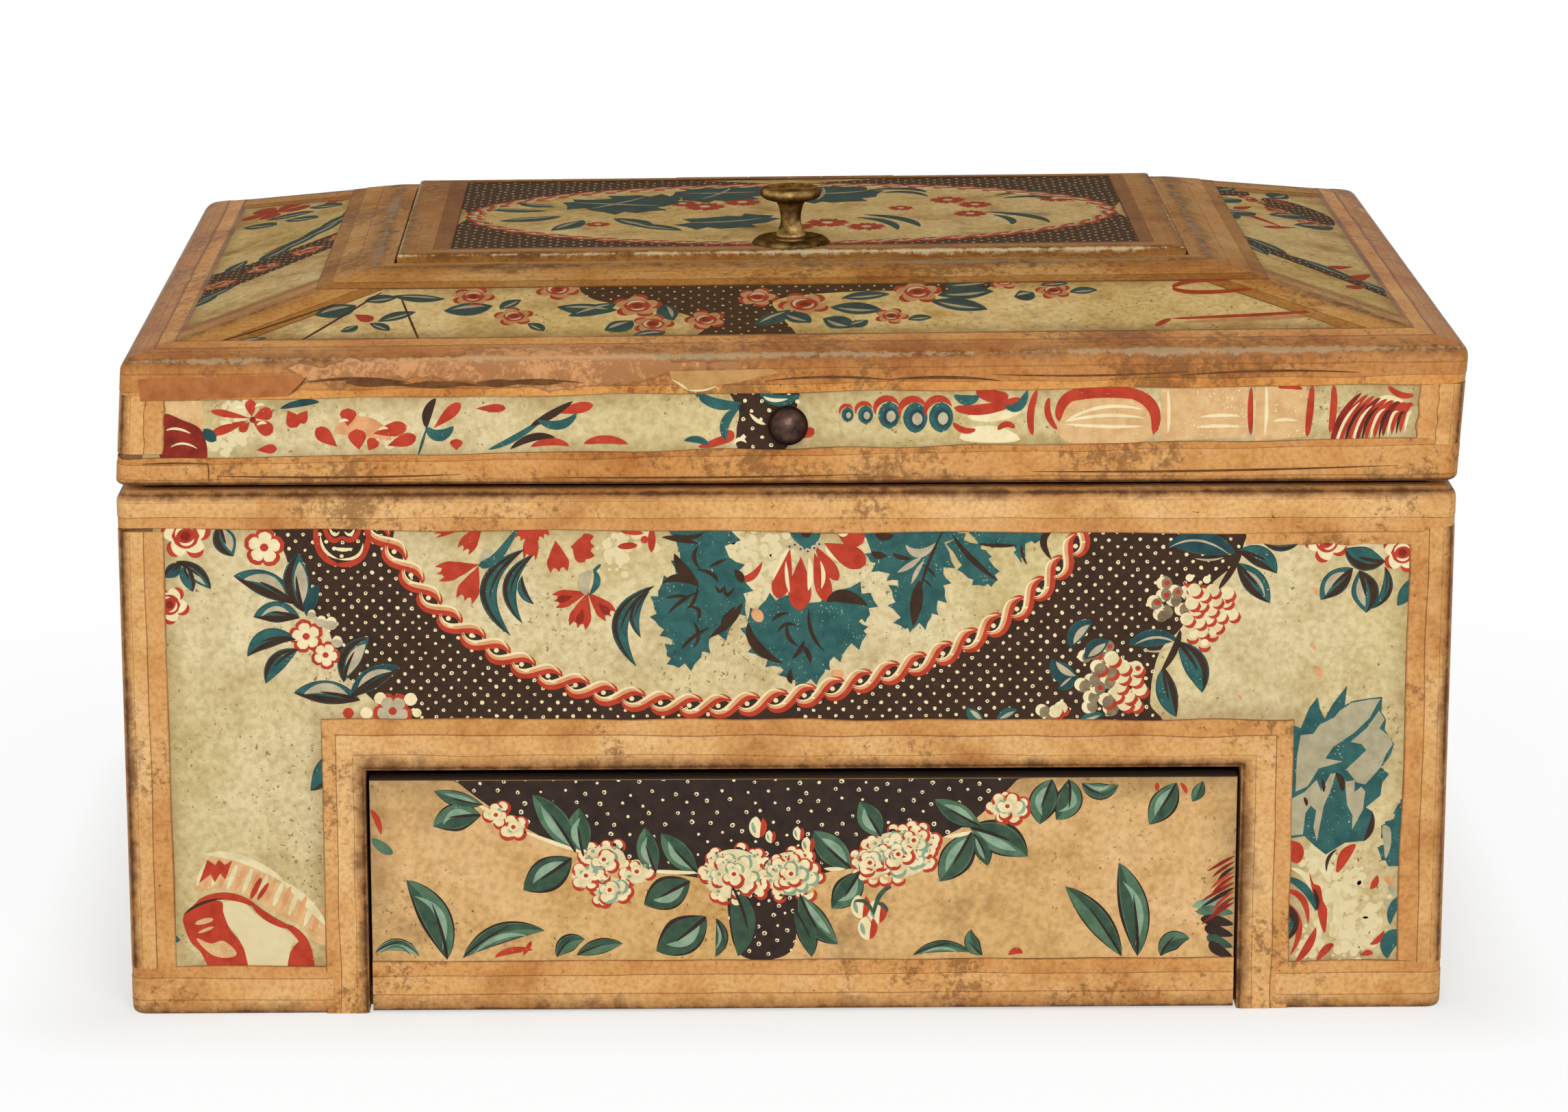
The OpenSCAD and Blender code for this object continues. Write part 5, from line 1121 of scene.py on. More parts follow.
# Garland leaves, from the left end to the right
for values in ((-76, 54.6, -88, 58.2, 1.7, 0.4), (-76.5, 51.8, -88.4, 49, 3, -1),
        (-53, 42, -63.6, 57.2, 3.1, -0.6, "green", -1), (-51, 41, -52, 53.6, 2.9, 0.6, "green", -1),
        (-54, 40.6, -66.2, 32.3, 3.6, 0.2, "dark_green"), (-33, 36.5, -35.6, 48.4, 2.6, 0.6, "green", -1),
        (-22.5, 36.5, -31.6, 47, 2.8, 0.3, "green", -1), (-24.5, 34.4, -36, 28.3, 3.6, 0.1, "dark_green", -1),
        (16, 37.5, 6.4, 47.4, 3.3, 0.4), (23.3, 45.8, 18, 55, 2.9, 0, "green", -1),
        (18, 36.8, 11, 27, 3, 0.6, "green", -1), (46, 47, 38, 34, 3.4, 0.4), (45.5, 48, 60, 40.4, 3.6, 1.2),
        (46.5, 46.5, 50, 38, 1.8, 0.5, "dark_green"), (48, 48.5, 36.6, 55.4, 2.5, 0.2),
        (66, 60.5, 63, 48.8, 3.1, -0.6), (70, 60.5, 67, 50, 2.9, 1.6, "green", -1),
        (73.3, 59.5, 82.5, 59, 1.8, -2, "green", -1), (97, 59.5, 90.4, 48.6, 2.8, 0.2),
        (103.5, 59.8, 101, 54.6, 1.3, 0.3, "green", 1, ""), (-14, 33, -12.5, 14.5, 3, 2.2, "dark_green", 1,
        ""), (-18, 24.5, -18.2, 14.4, 1.3, 1.6, "dark_green"), (-20.5, 25, -33, 16, 4.1, 0.6, "dark_green",
        -1), (3, 31, 12.6, 17.6, 2.7, -1.4, "green", -1), (1.5, 27, 6, 14.2, 2.1, 1, "dark_green", 1, ""),
        (-85.5, 14, -95.4, 35, 3.3, -2.2), (-81.5, 14.5, -61, 21.5, 2.2, 3),
        (-58, 14.6, -51, 19.2, 1.9, 1.4, "green", 1, ""), (-53, 15, -41.5, 18, 1.7, 0.8, "green", 1, ""),
        (-103.5, 16, -92.5, 15, 1.3, 2.6, "mint", 1, "green"), (31.5, 14.6, 46, 15.2, 1.3, 2),
        (49, 14.5, 46, 21.2, 1.6, 1.2, "green", -1, ""), (84, 14, 69.6, 32.4, 2.6, -1, "green", -1, ""),
        (88, 14, 83, 38.6, 3.1, -1.4), (93.8, 14, 101, 18.6, 2.1, 1.8, "green", -1, "")):
    green_leaf(*values)
for x0, y0, x1, y1 in ((-77, 54.5, -73, 52.5), (-66, 47.6, -50, 41.6), (-35, 37.2, -22, 36.6),
        (9, 37.5, 14.5, 37.6), (39, 45.6, 46.5, 47)):
    stroke("cream", [(x0, y0), ((x0 + x1) / 2, (y0 + y1) / 2 - 0.4), (x1, y1)], 0.55, 0.10, 0.5)
for k, values in enumerate(((-72.8, 52, 3, 2.6, 1), (-68.5, 48.8, 3, 2.7, 1), (-46, 40.2, 5.6, 4.2, 2),
        (-50.5, 36, 3.6, 3.4, 1), (-44.6, 32.2, 4.2, 3.6, 2), (-37.8, 37, 4, 3.4, 1),
        (-13.5, 36.2, 8.2, 7.2, 3), (0.8, 36.2, 7.2, 6.4, 3), (27.6, 41.2, 9.2, 6.6, 3),
        (31.5, 44.8, 5.4, 4, 2), (20.5, 39, 4.4, 4.6, 2), (54.8, 53.6, 4.6, 3.6, 2))):
    flower_head(*values, 51 + k)
for x, y, half in ((-7.3, 48.2, 2), (2.8, 46.6, 1.3), (-4.2, 45.8, 1.2), (5.2, 43.6, 1.5), (18.4, 27.2, 2.2),
        (22.6, 25.8, 2.2), (20.2, 21.5, 2.2)):
    for colour, wide, lift, curve in (("cream", 0.85, 0.12, [(-0.3, 1.5), (-0.6, 0), (0, -1.3)]),
            ("red", 0.42, 0.15, [(0.5, 1.3), (0.9, 0), (0.2, -1.2)]),
            ("mint", 0.25, 0.16, [(-0.8, 0.8), (-0.7, 0), (-0.4, -0.7)])):
        stroke(colour, half * np.array(curve) + (x, y), wide * half, lift, 0.6)
strokes("dark_green", 16, 24, 0.17, 0.3, (10, 8.6, 6.5, 8, 5.4, 1, 0.6), (0.6, 4.8, 4, 6, 5.5, 1.5, 0.5),
    (6, 4.5, 8.6, 4, 9, 2, 0.5))
strokes("red", -70, 13, 0.07, 0.6, (-3.5, 1.6, 0, 4, 6, 3.5, 0.9), (3.5, 2, 5.2, 4.5, 5.6, 5.8, 0.6),
    (125.5, 1.4, 127.5, 3.5, 129, 1.8, 0.9), (-34, 40.5, -32, 38, -31.5, 34, 0.8),
    (168, 46.5, 169.3, 45, 169.5, 43.6, 0.6), (162, 46.6, 162.4, 45.4, 162, 44.4, 0.6))
stroke("green", [(-103.8, 46), (-101, 43), (-98.6, 42)], 1.4, 0.07, 0.6)
for k in range(10):
    z, reach = 40 - 1.3 * k + rng.normal(0, 0.4), rng.uniform(4, 9)
    stroke(("wine", "wine", "soot", "red")[k % 4], [(112, z), (109, z - 1.6), (112 - reach, z - 4 - 0.2 * k)],
        rng.uniform(0.35, 0.6), 0.07 + 0.004 * k, 0.7)
for k, (colour, z) in enumerate((("mint", 27), ("green", 25.5), ("soot", 23.6), ("soot", 21.6),
        ("dark_green", 19.6), ("soot", 18))):
    stroke(colour, [(101.5 + 1.1 * k, z), (106, z + 1.6 - 0.7 * k), (112, z + 0.6 - k)], 1.5,
        0.06 + 0.006 * k, 0.6)
print_on("drawer_print", on_front, "drawer", "drawer_paper", within(drawer_low[0] + 0.2, drawer_high[0] - 0.2,
    10.0, drawer_high[2] - 0.15))
# Its strip, with a fold under the edge
x = np.linspace(drawer_low[0] + 0.05, drawer_high[0] - 0.05, 90)
way = np.linspace(0, 1, 90)
out = np.array([0.1, 0.6, 0.63, 0.74, 0.74, 0.72, 0.6, 0.3, -0.3, -0.3])
high = np.array([13.7, 13.6, 9.75, 9.65, 5.0, 1.6, 0.95, 0.65, 0.65, 13.7])
grid = np.stack([np.repeat(x[:, None], 10, 1), np.broadcast_to(front_y - out, (90, 10)),
    np.broadcast_to(high, (90, 10))], -1)
grid[:, [0, 1, 9], 2] += wander(way, 71, 0.12, 0.2)[:, None]
grid[:, [2, 3], 2] += wander(way, 72, 0.15, 0.2)[:, None]
strip("drawer_strip", grid, [0, 0.02, 0.97, 1.03, 2.0, 2.6, 2.9, 3.1, 6, 6], tan_strip,
    "drawer", ["drawer_binding"])

# Printed paper on the lid's rim
# Offcuts of printed paper pasted side by side between the two strips: flowers, a row of beads, a framed panel
# and part of a plume, all cut by the edges.
lid_foot, rim_h, lean = 136.6, 32.0, 2.0
tilt = np.radians(0.45)


def lid_shape(points):
    """The lid as it was made by hand: up to the eave it comes to lean 2 mm to the right and to tilt by 0.45
    degrees, and what is over the eave keeps that. Points are x, y and the height over the lid's foot."""
    x, y, h = np.moveaxis(np.asarray(points, float), -1, 0)
    share = np.clip(h / rim_h, 0, 1)
    x = x + lean * share
    return np.stack([x - np.maximum(h - rim_h, 0) * np.sin(tilt), y,
        lid_foot + h + x * np.sin(tilt) * share], -1)


u, v = np.meshgrid(np.linspace(-158, 160, 107), np.linspace(142, 163.5, 12))
to_strip = np.minimum(v - 145.2 - 0.0133 * u, 159.8 + 0.0083 * u - v)
to_strip = np.minimum(to_strip, np.minimum(u + 152.3, 153.8 - u))
sheet("front_rim_sheet", on_front, u, v, to_strip, green_ground, "lid", "printed_paper", ["rim_papers"])
# Left: a pasted scrap, and red flowers
blot("buff", [(-152.5, 164), (-142.8, 164), (-142.8, 142), (-152.5, 142)], 0.02, sharp=True)
blot("wine", from_place(-148, 141, -5, 13, 0, 12.2, 5, 9, 5, 1, -5, 1), 0.05)
strokes("wine", -153, 143, 0.08, 0.6, (0, 9, 4, 7, 10, 6, 1.2), (0, 5.5, 5, 4.5, 9.5, 2, 1.5),
    (1, 2, 4, 3, 6, 1, 1.4))
strokes("pale", -152, 145, 0.1, 0.5, (0, 5.6, 2.5, 6.8, 6, 4.8, 0.35), (1, 1.4, 4, 3.4, 7.5, 1, 0.3))
for k, (x, y) in enumerate(((-139, 147), (-136, 150), (-134, 157), (-104, 152), (-97, 150))):
    rubbed_place(x, y, 1.8, 22, 340 + k)
for values in ((-131.5, 153.6, -141, 155.4, 0.9), (-132, 153, -141, 149.6, 1.2),
        (-131, 154, -131.4, 158.3, 1.4), (-130.6, 153.8, -125.9, 155.2, 1.7), (-130.8, 152.8, -126, 150, 1.9),
        (-131.6, 152.6, -134, 150.2, 1.1), (-122.2, 155.4, -120, 151.3, 2),
        (-117.4, 155.4, -119.6, 152.4, 1.5), (-107.6, 151.6, -107.4, 156, 2.1),
        (-110.4, 146.4, -115.4, 151, 1.9), (-105, 145.6, -105.6, 150.8, 2.3),
        (-102.6, 145.4, -101, 148.4, 1.6), (-101.4, 149.6, -93.2, 151.4, 1.9), (-98, 146.6, -91, 148.8, 1.7),
        (-86.6, 151, -80, 157.2, 1.5), (-81.2, 145.4, -81.2, 148.2, 1.6), (-76.2, 155.8, -69, 155.9, 1.1),
        (-57.2, 154.6, -47.6, 156.6, 1.4), (-130, 145.6, -125, 146, 1.2)):
    petal("red", *values)
spot("wine", -130.8, 153.2, 0.8, 0.1)
stroke("peach", [(-111, 150), (-104, 154), (-97, 148)], 2.6, 0.035, 0.5)
for x, y in ((-134, 156.4), (-129, 157), (-137, 152.5), (-128.6, 152.4), (-108.6, 153), (-99, 151)):
    stroke("cream", [(x - 1.2, y - 0.6), (x, y + 0.5), (x + 1.2, y - 0.2)], 0.4, 0.11, 0.6)
for colour, points, half in (("deep", [(-142.8, 151), (-141.5, 149), (-139.8, 148)], 1.5),
        ("deep", [(-124, 156), (-119, 157.8), (-114.4, 157.6)], 0.9),
        ("umber", [(-88.4, 151), (-89, 155), (-86, 158.4)], 1.2),
        ("teal", [(-88.6, 151.3), (-85.6, 146.8), (-81.8, 151.4)], 1.5),
        ("teal", [(-90.6, 144), (-89.6, 147), (-88.4, 151)], 0.35),
        ("teal", [(-73.4, 145.5), (-67, 147.5), (-59.6, 153.4)], 0.8),
        ("umber", [(-63, 151.4), (-58.6, 153.6), (-52.6, 157.5)], 1),
        ("teal", [(-61.4, 153), (-55.4, 149.4), (-51.6, 154.6)], 1.2),
        ("umber", [(-68, 145.6), (-62.6, 150), (-57, 148.4)], 1),
        ("teal", [(-25.4, 147.6), (-22, 148.6), (-19.2, 146.4)], 0.9)):
    stroke(colour, points, half, 0.10, 0.6)
strokes("red", -54, 145, 0.08, 0.6, (-9, 1.2, -4, 3.6, 0.4, 1.4, 1), (4, 1.9, 9, 4, 14.8, 1.8, 1.1),
    (32, 1, 37, 1.6, 40, 4.4, 1))
# Middle: a dark dotted scrap behind the stud, with leaves, then a row of beads
dotted_ground(from_place(-5, 154, -9.6, 9, 6.4, 9, 7, 1, 4, -9, -6.5, -9, -7.6, -4, -7, 1), 81, 4.4, 0.55)
strokes("teal", -18, 151, 0.1, 0.6, (-5, 9, 0.5, 4, 6.8, 6, 1.4), (2.8, -3.4, 1, 1.6, 6.2, 5, 1.2),
    (11, 9, 15, 4.6, 21, 8, 1.5))
petal("red", -17, 146.4, -13.4, 149.8, 1.5)
strokes("cream", -12, 149, 0.13, 0.6, (2.6, 5.4, 4.4, 3, 6.6, 2.6, 0.5), (-1.4, -2.4, 0.2, 0, 1.8, -2, 0.5),
    (6, 9.6, 8, 8, 12, 9, 0.5))
petal("red", 3, 148, 6.4, 150.4, 1.3)
for x, y, r in ((14.6, 154.2, 1.6), (19, 154.2, 2), (24.8, 154.2, 2.9),
        (31.2, 153.6, 3.2), (37.5, 153.7, 3.2)):
    arc("red", x - 0.15 * r, y + 0.25 * r, 1.05 * r, 25, 200, 0.30 * r, 0.09)
    for colour, shift, wide, tall, lift in (("teal", 0.0, 0.95, 1.2, 0.07), ("deep", 0.1, 0.66, 0.9, 0.10),
            ("grey", 0.15, 0.42, 0.6, 0.13)):
        low, high = y - 0.15 * r - tall * r, y - 0.15 * r + tall * r * (1 - 2 * shift)
        stroke(colour, [(x + shift * r, low), (x + shift * r, (low + high) / 2),
            (x + shift * r, high)], wide * r, lift, 0.5)
# Right: a scrap of a red flower, the framed panel, uprights and the plume
strokes("cream", 41, 146, 0.05, 0.5, (1, 2, 7, 4, 16, 1.6, 2.2), (3, 7.4, 9, 6.6, 16, 8.6, 1.3))
strokes("red", 46, 152, 0.08, 0.35, (-5.4, 3.6, 2, 1.6, 11, 6, 1.4), (0, 8, 4, 5.6, 8, 6.6, 1.6),
    (-5.6, -0.2, -3, -3.2, 0, -1.8, 0.8), (5.4, -2, 7.6, 0.6, 9.6, -1.6, 0.8),
    (14, -3.4, 12.4, 2, 15, 8, 0.9), (18, 6, 16.4, 2, 20, -2, 0.8), (20.4, 0, 19.6, 9, 33, 7.4, 1.4),
    (30, 8, 47, 8, 43.6, -3.4, 1.5), (22, 5, 32, 7.8, 42, 5.2, 0.5), (67.4, 8.5, 67.2, 2, 67.6, -3.5, 0.7),
    (82.4, 9, 82, 2, 81.4, -4, 0.9), (74, 8.4, 77, 8.9, 80, 8, 0.6), (87.6, 9, 88.2, 3, 87, -3, 0.9),
    (101, 8.6, 104, 5.4, 107.4, 6.4, 0.8))
strokes("teal", 39, 152, 0.11, 0.6, (1.6, 6.8, 5, 4.2, 7.8, 6.6, 1.3), (14, 4.2, 18, 1.6, 19.6, 8, 1.2))
blot("buff", from_place(66, 148, 1, 0, 11, -2, 23, 0, 23, 9, 12, 11, 1, 9.6), 0.035)
for left, right in ((91.4, 112.6), (114.6, 127)):
    blot("buff", [(left, 163), (right, 163), (right, 148), (left, 147)], 0.035, sharp=True)
strokes("cream", 68, 148, 0.06, 0.5, (0, 4, 8, 9.6, 19, 7, 0.45), (0, 4, 9, 6.6, 19.6, 4.8, 0.45),
    (0, 3.4, 10, 2.4, 19, 2.8, 0.45), (49, 0.4, 49.6, 7, 49, 13, 0.45), (25.2, 1, 25.6, 6, 25, 12, 0.45),
    (32, 2.4, 37, 3, 43, 2.6, 0.45), (33, 5, 38, 5.8, 43, 5.2, 0.45), (51, 4, 54, 4.6, 57, 4, 0.45))
for k in range(9):
    x, y = 133.5 + 2.1 * k, 147 + 0.5 * k
    stroke("red" if k % 3 else "wine", [(x, y - 2), (x + 0.6, y + 6), (x + 7 - 0.5 * k, y + 12 - 0.9 * k)],
        0.85, 0.07 + 0.004 * k, 0.5)
    stroke("umber" if k % 2 else "cream", [(x + 1.1, y - 2), (x + 1.8, y + 5),
        (x + 6.6 - 0.5 * k, y + 9.6 - 0.9 * k)], 0.4, 0.12, 0.6)
stroke("cream", [(143.5, 156), (147, 158.6), (152, 155)], 1.3, 0.06, 0.5)
print_on("front_rim_print", on_front, "lid", "printed_paper", within(-157, 159, 142.3, 163))


def scraps(half, low, high, seed):
    """A row of offcuts along a narrow face, half its length: roses, crossed leaves, small flowers and
    carnations by turns, 17 mm apart and cut by the edges."""
    rng = np.random.default_rng(seed)
    for k, x in enumerate(np.arange(-half + 6, half, 17)):
        y = rng.uniform(low + 3, high - 3)
        if k % 4 == 0:
            rose(x, y, 4.4, int(rng.integers(60)))
        elif k % 4 == 1:
            leaf(x - 6, low, x + 5, y + 3, 2.4, 1.0, 1, 0.8)
            leaf(x + 4, low - 1, x - 7, high, 2.2, -1.0, -1, 0.6)
        elif k % 4 == 2:
            five_petals(x, y, 4.2, 30)
        else:
            for dx, dy in ((-6, -3), (0, -6.5), (6, -3)):
                fringed_petal(x, high - 2, x + dx, high - 2 + dy, 1.9)


for k, (side, (origin, across, reach)) in enumerate(sides.items()):
    face = face_at(origin, across, (0, 0, 1))
    on_rim = lambda u, v, h: lid_shape(face(u, v, h))
    u, v = np.meshgrid(np.linspace(8 - reach, reach - 8, 81), np.linspace(6.5, 27, 12))
    sheet(f"{side}_rim_sheet", on_rim, u, v, np.minimum(v - 8.6, 23.4 - v), green_ground, "lid",
        "printed_paper", ["rim_papers"])
    scraps(reach - 11, 10, 23.5, 240 + k)
    print_on(f"{side}_rim_print", on_rim, "lid", "printed_paper", within(8.5 - reach, reach - 8.5, 7, 26.5))

# Printed paper on the lid's slopes
# The same print, pasted in odd pieces with open joints. It faces up, so dust and old varnish have browned it.
flat_x, flat_y, rise = 105.5, 59.0, 13.2
front_slope = np.arctan2(rise, half_d - flat_y)
end_slope = np.arctan2(rise, half_w - flat_x)


def slope_at(side):
    """A slope as a function of u along the eave, seen from its own side, and v up the slope."""
    c, s = np.cos(front_slope), np.sin(front_slope)
    ce, se = np.cos(end_slope), np.sin(end_slope)
    face = {"front": ((-lean, -half_d, rim_h), (1, 0, 0), (0, c, s)),
        "back": ((lean, half_d, rim_h), (-1, 0, 0), (0, -c, s)),
        "left": ((-half_w, 0, rim_h), (0, -1, 0), (ce, 0, se)),
        "right": ((half_w, 0, rim_h), (0, 1, 0), (-ce, 0, se))}
    place = face_at(*face[side])
    return lambda u, v, h: lid_shape(place(u, v, h))


def browned(colour, share=0.3, coat="#6B4F2C"):
    """A hex colour under a share of brown dust."""
    pairs = [(int(colour[i:i + 2], 16), int(coat[i:i + 2], 16)) for i in (1, 3, 5)]
    return "#%02X%02X%02X" % tuple(round((1 - share) * own + share * dust) for own, dust in pairs)


dusty_paints = {}
for name, tone in tones.items():
    dusty_paints[name] = distemper(f"dusty_{name}_distemper", *map(browned, tone[:3]), tone[3], 0.03)
dusty_ground = printed_paper("printed_paper_dusty_ground", "#E0C38B", "#D3B278", "#B08D56",
    "#6B4A26", 0.8, 0.8, 0.03)
for side in ("front", "back", "left", "right"):
    ends = side in ("left", "right")
    length = rise / np.sin(end_slope if ends else front_slope)
    wide, narrow = (half_d, flat_y) if ends else (half_w, flat_x)
    v, share = np.meshgrid(np.linspace(7, length - 6, 16), np.linspace(-1, 1, 70), indexing="ij")
    reach = wide + (narrow - wide) * v / length
    to_strip = np.minimum(np.minimum(v - 12, length - 11.5 - v), (1 - np.abs(share)) * reach - 11)
    middle = 0.0 if ends else lean
    sheet(f"{side}_slope_sheet", slope_at(side), middle + share * (reach - 3), v, to_strip, dusty_ground,
        "lid", "printed_paper", ["slope_papers"])


def within_slope(side):
    """Keeps a point of a print on its slope, under the strips."""
    ends = side in ("left", "right")
    length = rise / np.sin(end_slope if ends else front_slope)
    wide, narrow = (half_d, flat_y) if ends else (half_w, flat_x)

    def limit(u, v):
        v = np.clip(v, 8, length - 7)
        reach = wide + (narrow - wide) * v / length - 4
        return np.clip(u, -reach, reach), v
    return limit


# Front slope
dotted_ground(from_place(-28, 7, -21, 35, 8, 35, 38, 35, 78, 35, 77, 26, 68, 26, 48, 27, 26, 23, 27, 13, 29,
    1, 6, 1, 8, 9, 0, 17, -20, 24), 91, 4.0, 0.34)
for x, y, r, turn in ((-78, 33, 4.5, 0), (-67.5, 22, 4.2, 30), (-57, 36.5, 4.6, 60), (-37, 27, 5.2, 15),
        (-33, 17, 4.4, 80), (-20, 19, 4.4, 40), (-7, 31, 4.4, 0), (4.5, 27, 5.4, 50), (33, 33, 5.2, 20),
        (26, 20, 3.6, 0), (67, 33, 3.8, 35), (55, 38.4, 3.6, 10)):
    rose(x, y, r, turn, "peach")
for values in ((-85, 32, -98, 34, 2), (-73, 28, -85, 25.5, 3.4), (-71, 26, -66, 31, 1.8),
        (-64, 18, -60, 14, 1.6), (-42, 25, -57, 27, 3), (-42, 29, -54, 22, 2.6), (-38, 19, -45, 14, 3),
        (-30, 13, -38, 11, 2.4), (-28, 19, -30, 28, 2.6), (-1, 22, 6, 17, 2.8), (9, 19, 16, 14, 3.4),
        (1, 24, -8, 16, 2.6), (11, 25, 24, 23, 3.2), (14, 30, 26, 32, 2.2), (20, 18, 15, 15, 1.8),
        (30, 18, 36, 19, 1.6), (38, 31, 52, 33, 3.4), (36, 28, 50, 23, 3.2), (40, 36, 52, 38, 2.2),
        (62, 32, 57, 30, 2.8), (71, 32, 78, 33, 1.8), (64, 36, 71, 37, 1.6), (-101, 20, -92, 25, 2),
        (-107, 29, -117, 24, 3.6), (-105, 31, -97, 33, 2.2), (-103, 19, -98, 15, 1.6),
        (-106, 18, -110, 15, 1.4), (-128, 12, -136, 10, 1.6), (110, 41, 120, 37, 1.8)):
    leaf(*values, 0.5, 0, 0.5, "deep")
petal("red", -107, 24, -102.5, 20.5, 2)
strokes("red", 91, 12, 0.08, 0.3, (6, 22, 9, 28, 29, 25, 1.1), (6, 22, 8, 17, 27, 21, 1.1),
    (27, 25, 33, 24, 27, 21, 1), (25, 19, 32, 19, 37, 18, 0.9), (0, 1, 1.5, 3, 4, 5, 0.9),
    (4, 5, 24, 6, 49, 9, 0.8))
stroke("peach", [(98, 15), (116, 16), (136, 18.6)], 1.2, 0.05, 0.4)
strokes("umber", -121, 8, 0.16, 0.2, (0, 0, 9, 12, 20, 28, 0.28), (25, 25, 28, 12, 31, 0, 0.28),
    (-20, 1, -7, 9, 9, 22, 0.28))
print_on("front_slope_print", slope_at("front"), "lid", "printed_paper", within_slope("front"), dusty_paints)
# Left slope, where u runs from back to front
dotted_ground(from_place(3, 7, 15, 1, 9, 13, 1, 25, -9, 37, -15, 45, 5, 45, 13, 37, 23, 27, 33, 17, 43, 7,
    45, 1), 92, 3.6, 0.34)
for values in ((50, 12, 38, 22, 2.4), (46, 18, 56, 10, 2), (30, 12, 20, 8, 2.2), (10, 26, -4, 34, 3),
        (2, 30, -14, 40, 3.2), (-8, 36, -26, 46, 3.2), (-18, 40, -36, 50, 2.8), (16, 18, 4, 22, 2.4),
        (-30, 46, -44, 52, 2.6), (-50, 16, -42, 26, 3.2), (-54, 22, -50, 36, 3.2), (-46, 28, -38, 38, 2.8),
        (-58, 34, -50, 44, 2.6)):
    leaf(*values, 0.6, 0, 0.5, "deep")
for values in ((-64, 24, -74, 18, 3.4), (-64, 24, -72, 30, 3.4), (-64, 24, -60, 34, 3.2),
        (-64, 24, -56, 22, 3.2), (-64, 24, -64, 14, 3.4), (-62, 40, -66, 46, 2.4), (-62, 40, -58, 46, 2.4),
        (-62, 40, -56, 40, 2.2), (0, 26, -10, 36, 1.6), (-10, 34, -24, 44, 1.6), (-22, 42, -34, 50, 1.4)):
    petal("red", *values)
for x, y in ((31, 17), (21, 28), (10, 39), (0, 48)):
    rose(x, y, 4.2, 10 * x, "peach")
print_on("left_slope_print", slope_at("left"), "lid", "printed_paper", within_slope("left"), dusty_paints)
# Right slope, where u runs from front to back
dotted_ground(from_place(43, 35, 1, 19, 23, 19, 27, 9, 19, 1, 9, 7), 93, 3.6, 0.34)
dotted_ground(from_place(35, 15, 1, 1, 17, 0, 27, 9, 25, 17, 13, 19, 5, 13), 94, 3.6, 0.34)
dotted_ground(from_place(-55, 9, 47, 43, 37, 43, 21, 29, 7, 15, -9, 1, 3, 1, 17, 15, 33, 31), 95, 3.6, 0.34)
for values in ((34, 16, 24, 28, 3.4), (44, 22, 32, 34, 3.2), (30, 38, 20, 50, 3.2), (24, 44, 10, 50, 2.4),
        (48, 40, 36, 52, 3), (62, 30, 74, 24, 3), (-12, 46, -26, 36, 2.4), (-28, 34, -44, 20, 2.6),
        (-44, 20, -54, 12, 2.2), (4, 46, 2, 52, 1.6), (-20, 48, -34, 42, 2), (56, 46, 66, 40, 2.6)):
    leaf(*values, 0.6, 0, 0.5, "deep")
for values in ((16, 32, 26, 42, 1.6), (20, 28, 10, 38, 1.4), (48, 34, 56, 40, 1.8), (40, 38, 30, 44, 1.4),
        (-24, 18, -34, 26, 1.6), (-30, 14, -46, 22, 2), (-50, 18, -58, 24, 1.8), (36, 26, 44, 34, 1.8),
        (54, 24, 62, 30, 1.8)):
    petal("red", *values)
for x, y in ((52, 36), (42, 30), (33, 22)):
    rose(x, y, 3.6, 10 * x, "peach")
print_on("right_slope_print", slope_at("right"), "lid", "printed_paper", within_slope("right"), dusty_paints)
scraps(116, 14, 37, 261)
print_on("back_slope_print", slope_at("back"), "lid", "printed_paper", within_slope("back"), dusty_paints)

# Strips round the lid
# Tan strips round the lid's foot, up its corners, along the eaves, up the hips and round the flat top. The
# eave's has lost its face in long tears that show a rust-brown layer, and those on top are browned.
stained_strip = tan_paper("stained_strip_paper", "#7C5429", "#C99153", "#D39F62", "#64391A", 1.0, 0.95, 0.12)
torn_strip = tan_paper("torn_strip_paper", "#7C5429", "#D89F5A", "#C28B52", "#7A4A26",
    0.9, 0.45, 0.2, 0.5, 0.4)
brown_strip = tan_paper("browned_strip_paper", "#6A4724", "#AC7C42", "#C6975A", "#643C1C", 1.0, 0.4, 0.12,
    worn=0.25, shine=0.04)
dark_strip = tan_paper("dark_strip_paper", "#4A2F16", "#8F6231", "#B2844A", "#643C1C", 0.8, 0.4, 0.12,
    worn=0.75, shine=0.04)
out = np.concatenate([[0.1, 0.6, 0.64, 0.78], 1.5 * np.cos(bow) - 0.72, [-5.5, -5.9, -5.9, -0.3, -0.3]])
high = np.concatenate([[9.0, 8.9, 7.3, 7.2], 1.5 - 1.5 * np.sin(bow), [0, 0.1, 0.6, 1.2, 9.0]])
band = np.concatenate([[0, 0.02, 0.97, 1.03], np.linspace(2.05, 4.0, 7), [5, 5.1, 5.2, 6, 6]])
grid = round_box(half_w + out, half_d + out, np.maximum(board_r + out, 0), high)
askew = at_front(grid) * 0.011 * grid[:, 3, 0]
unsteady(grid, 101, (0.25, 0.2), 0.05, askew, askew)
strip("lid_foot_strip", lid_shape(grid), band, stained_strip, "lid", ["lid_foot_binding"])
for k, (side_x, side_y) in enumerate(corners):
    upright_strip(f"lid_corner_strip_{k + 1}", side_x, side_y, 8.4, 23.6, 111 + 4 * k, "lid",
        ["lid_corner_bindings"], lid_shape)


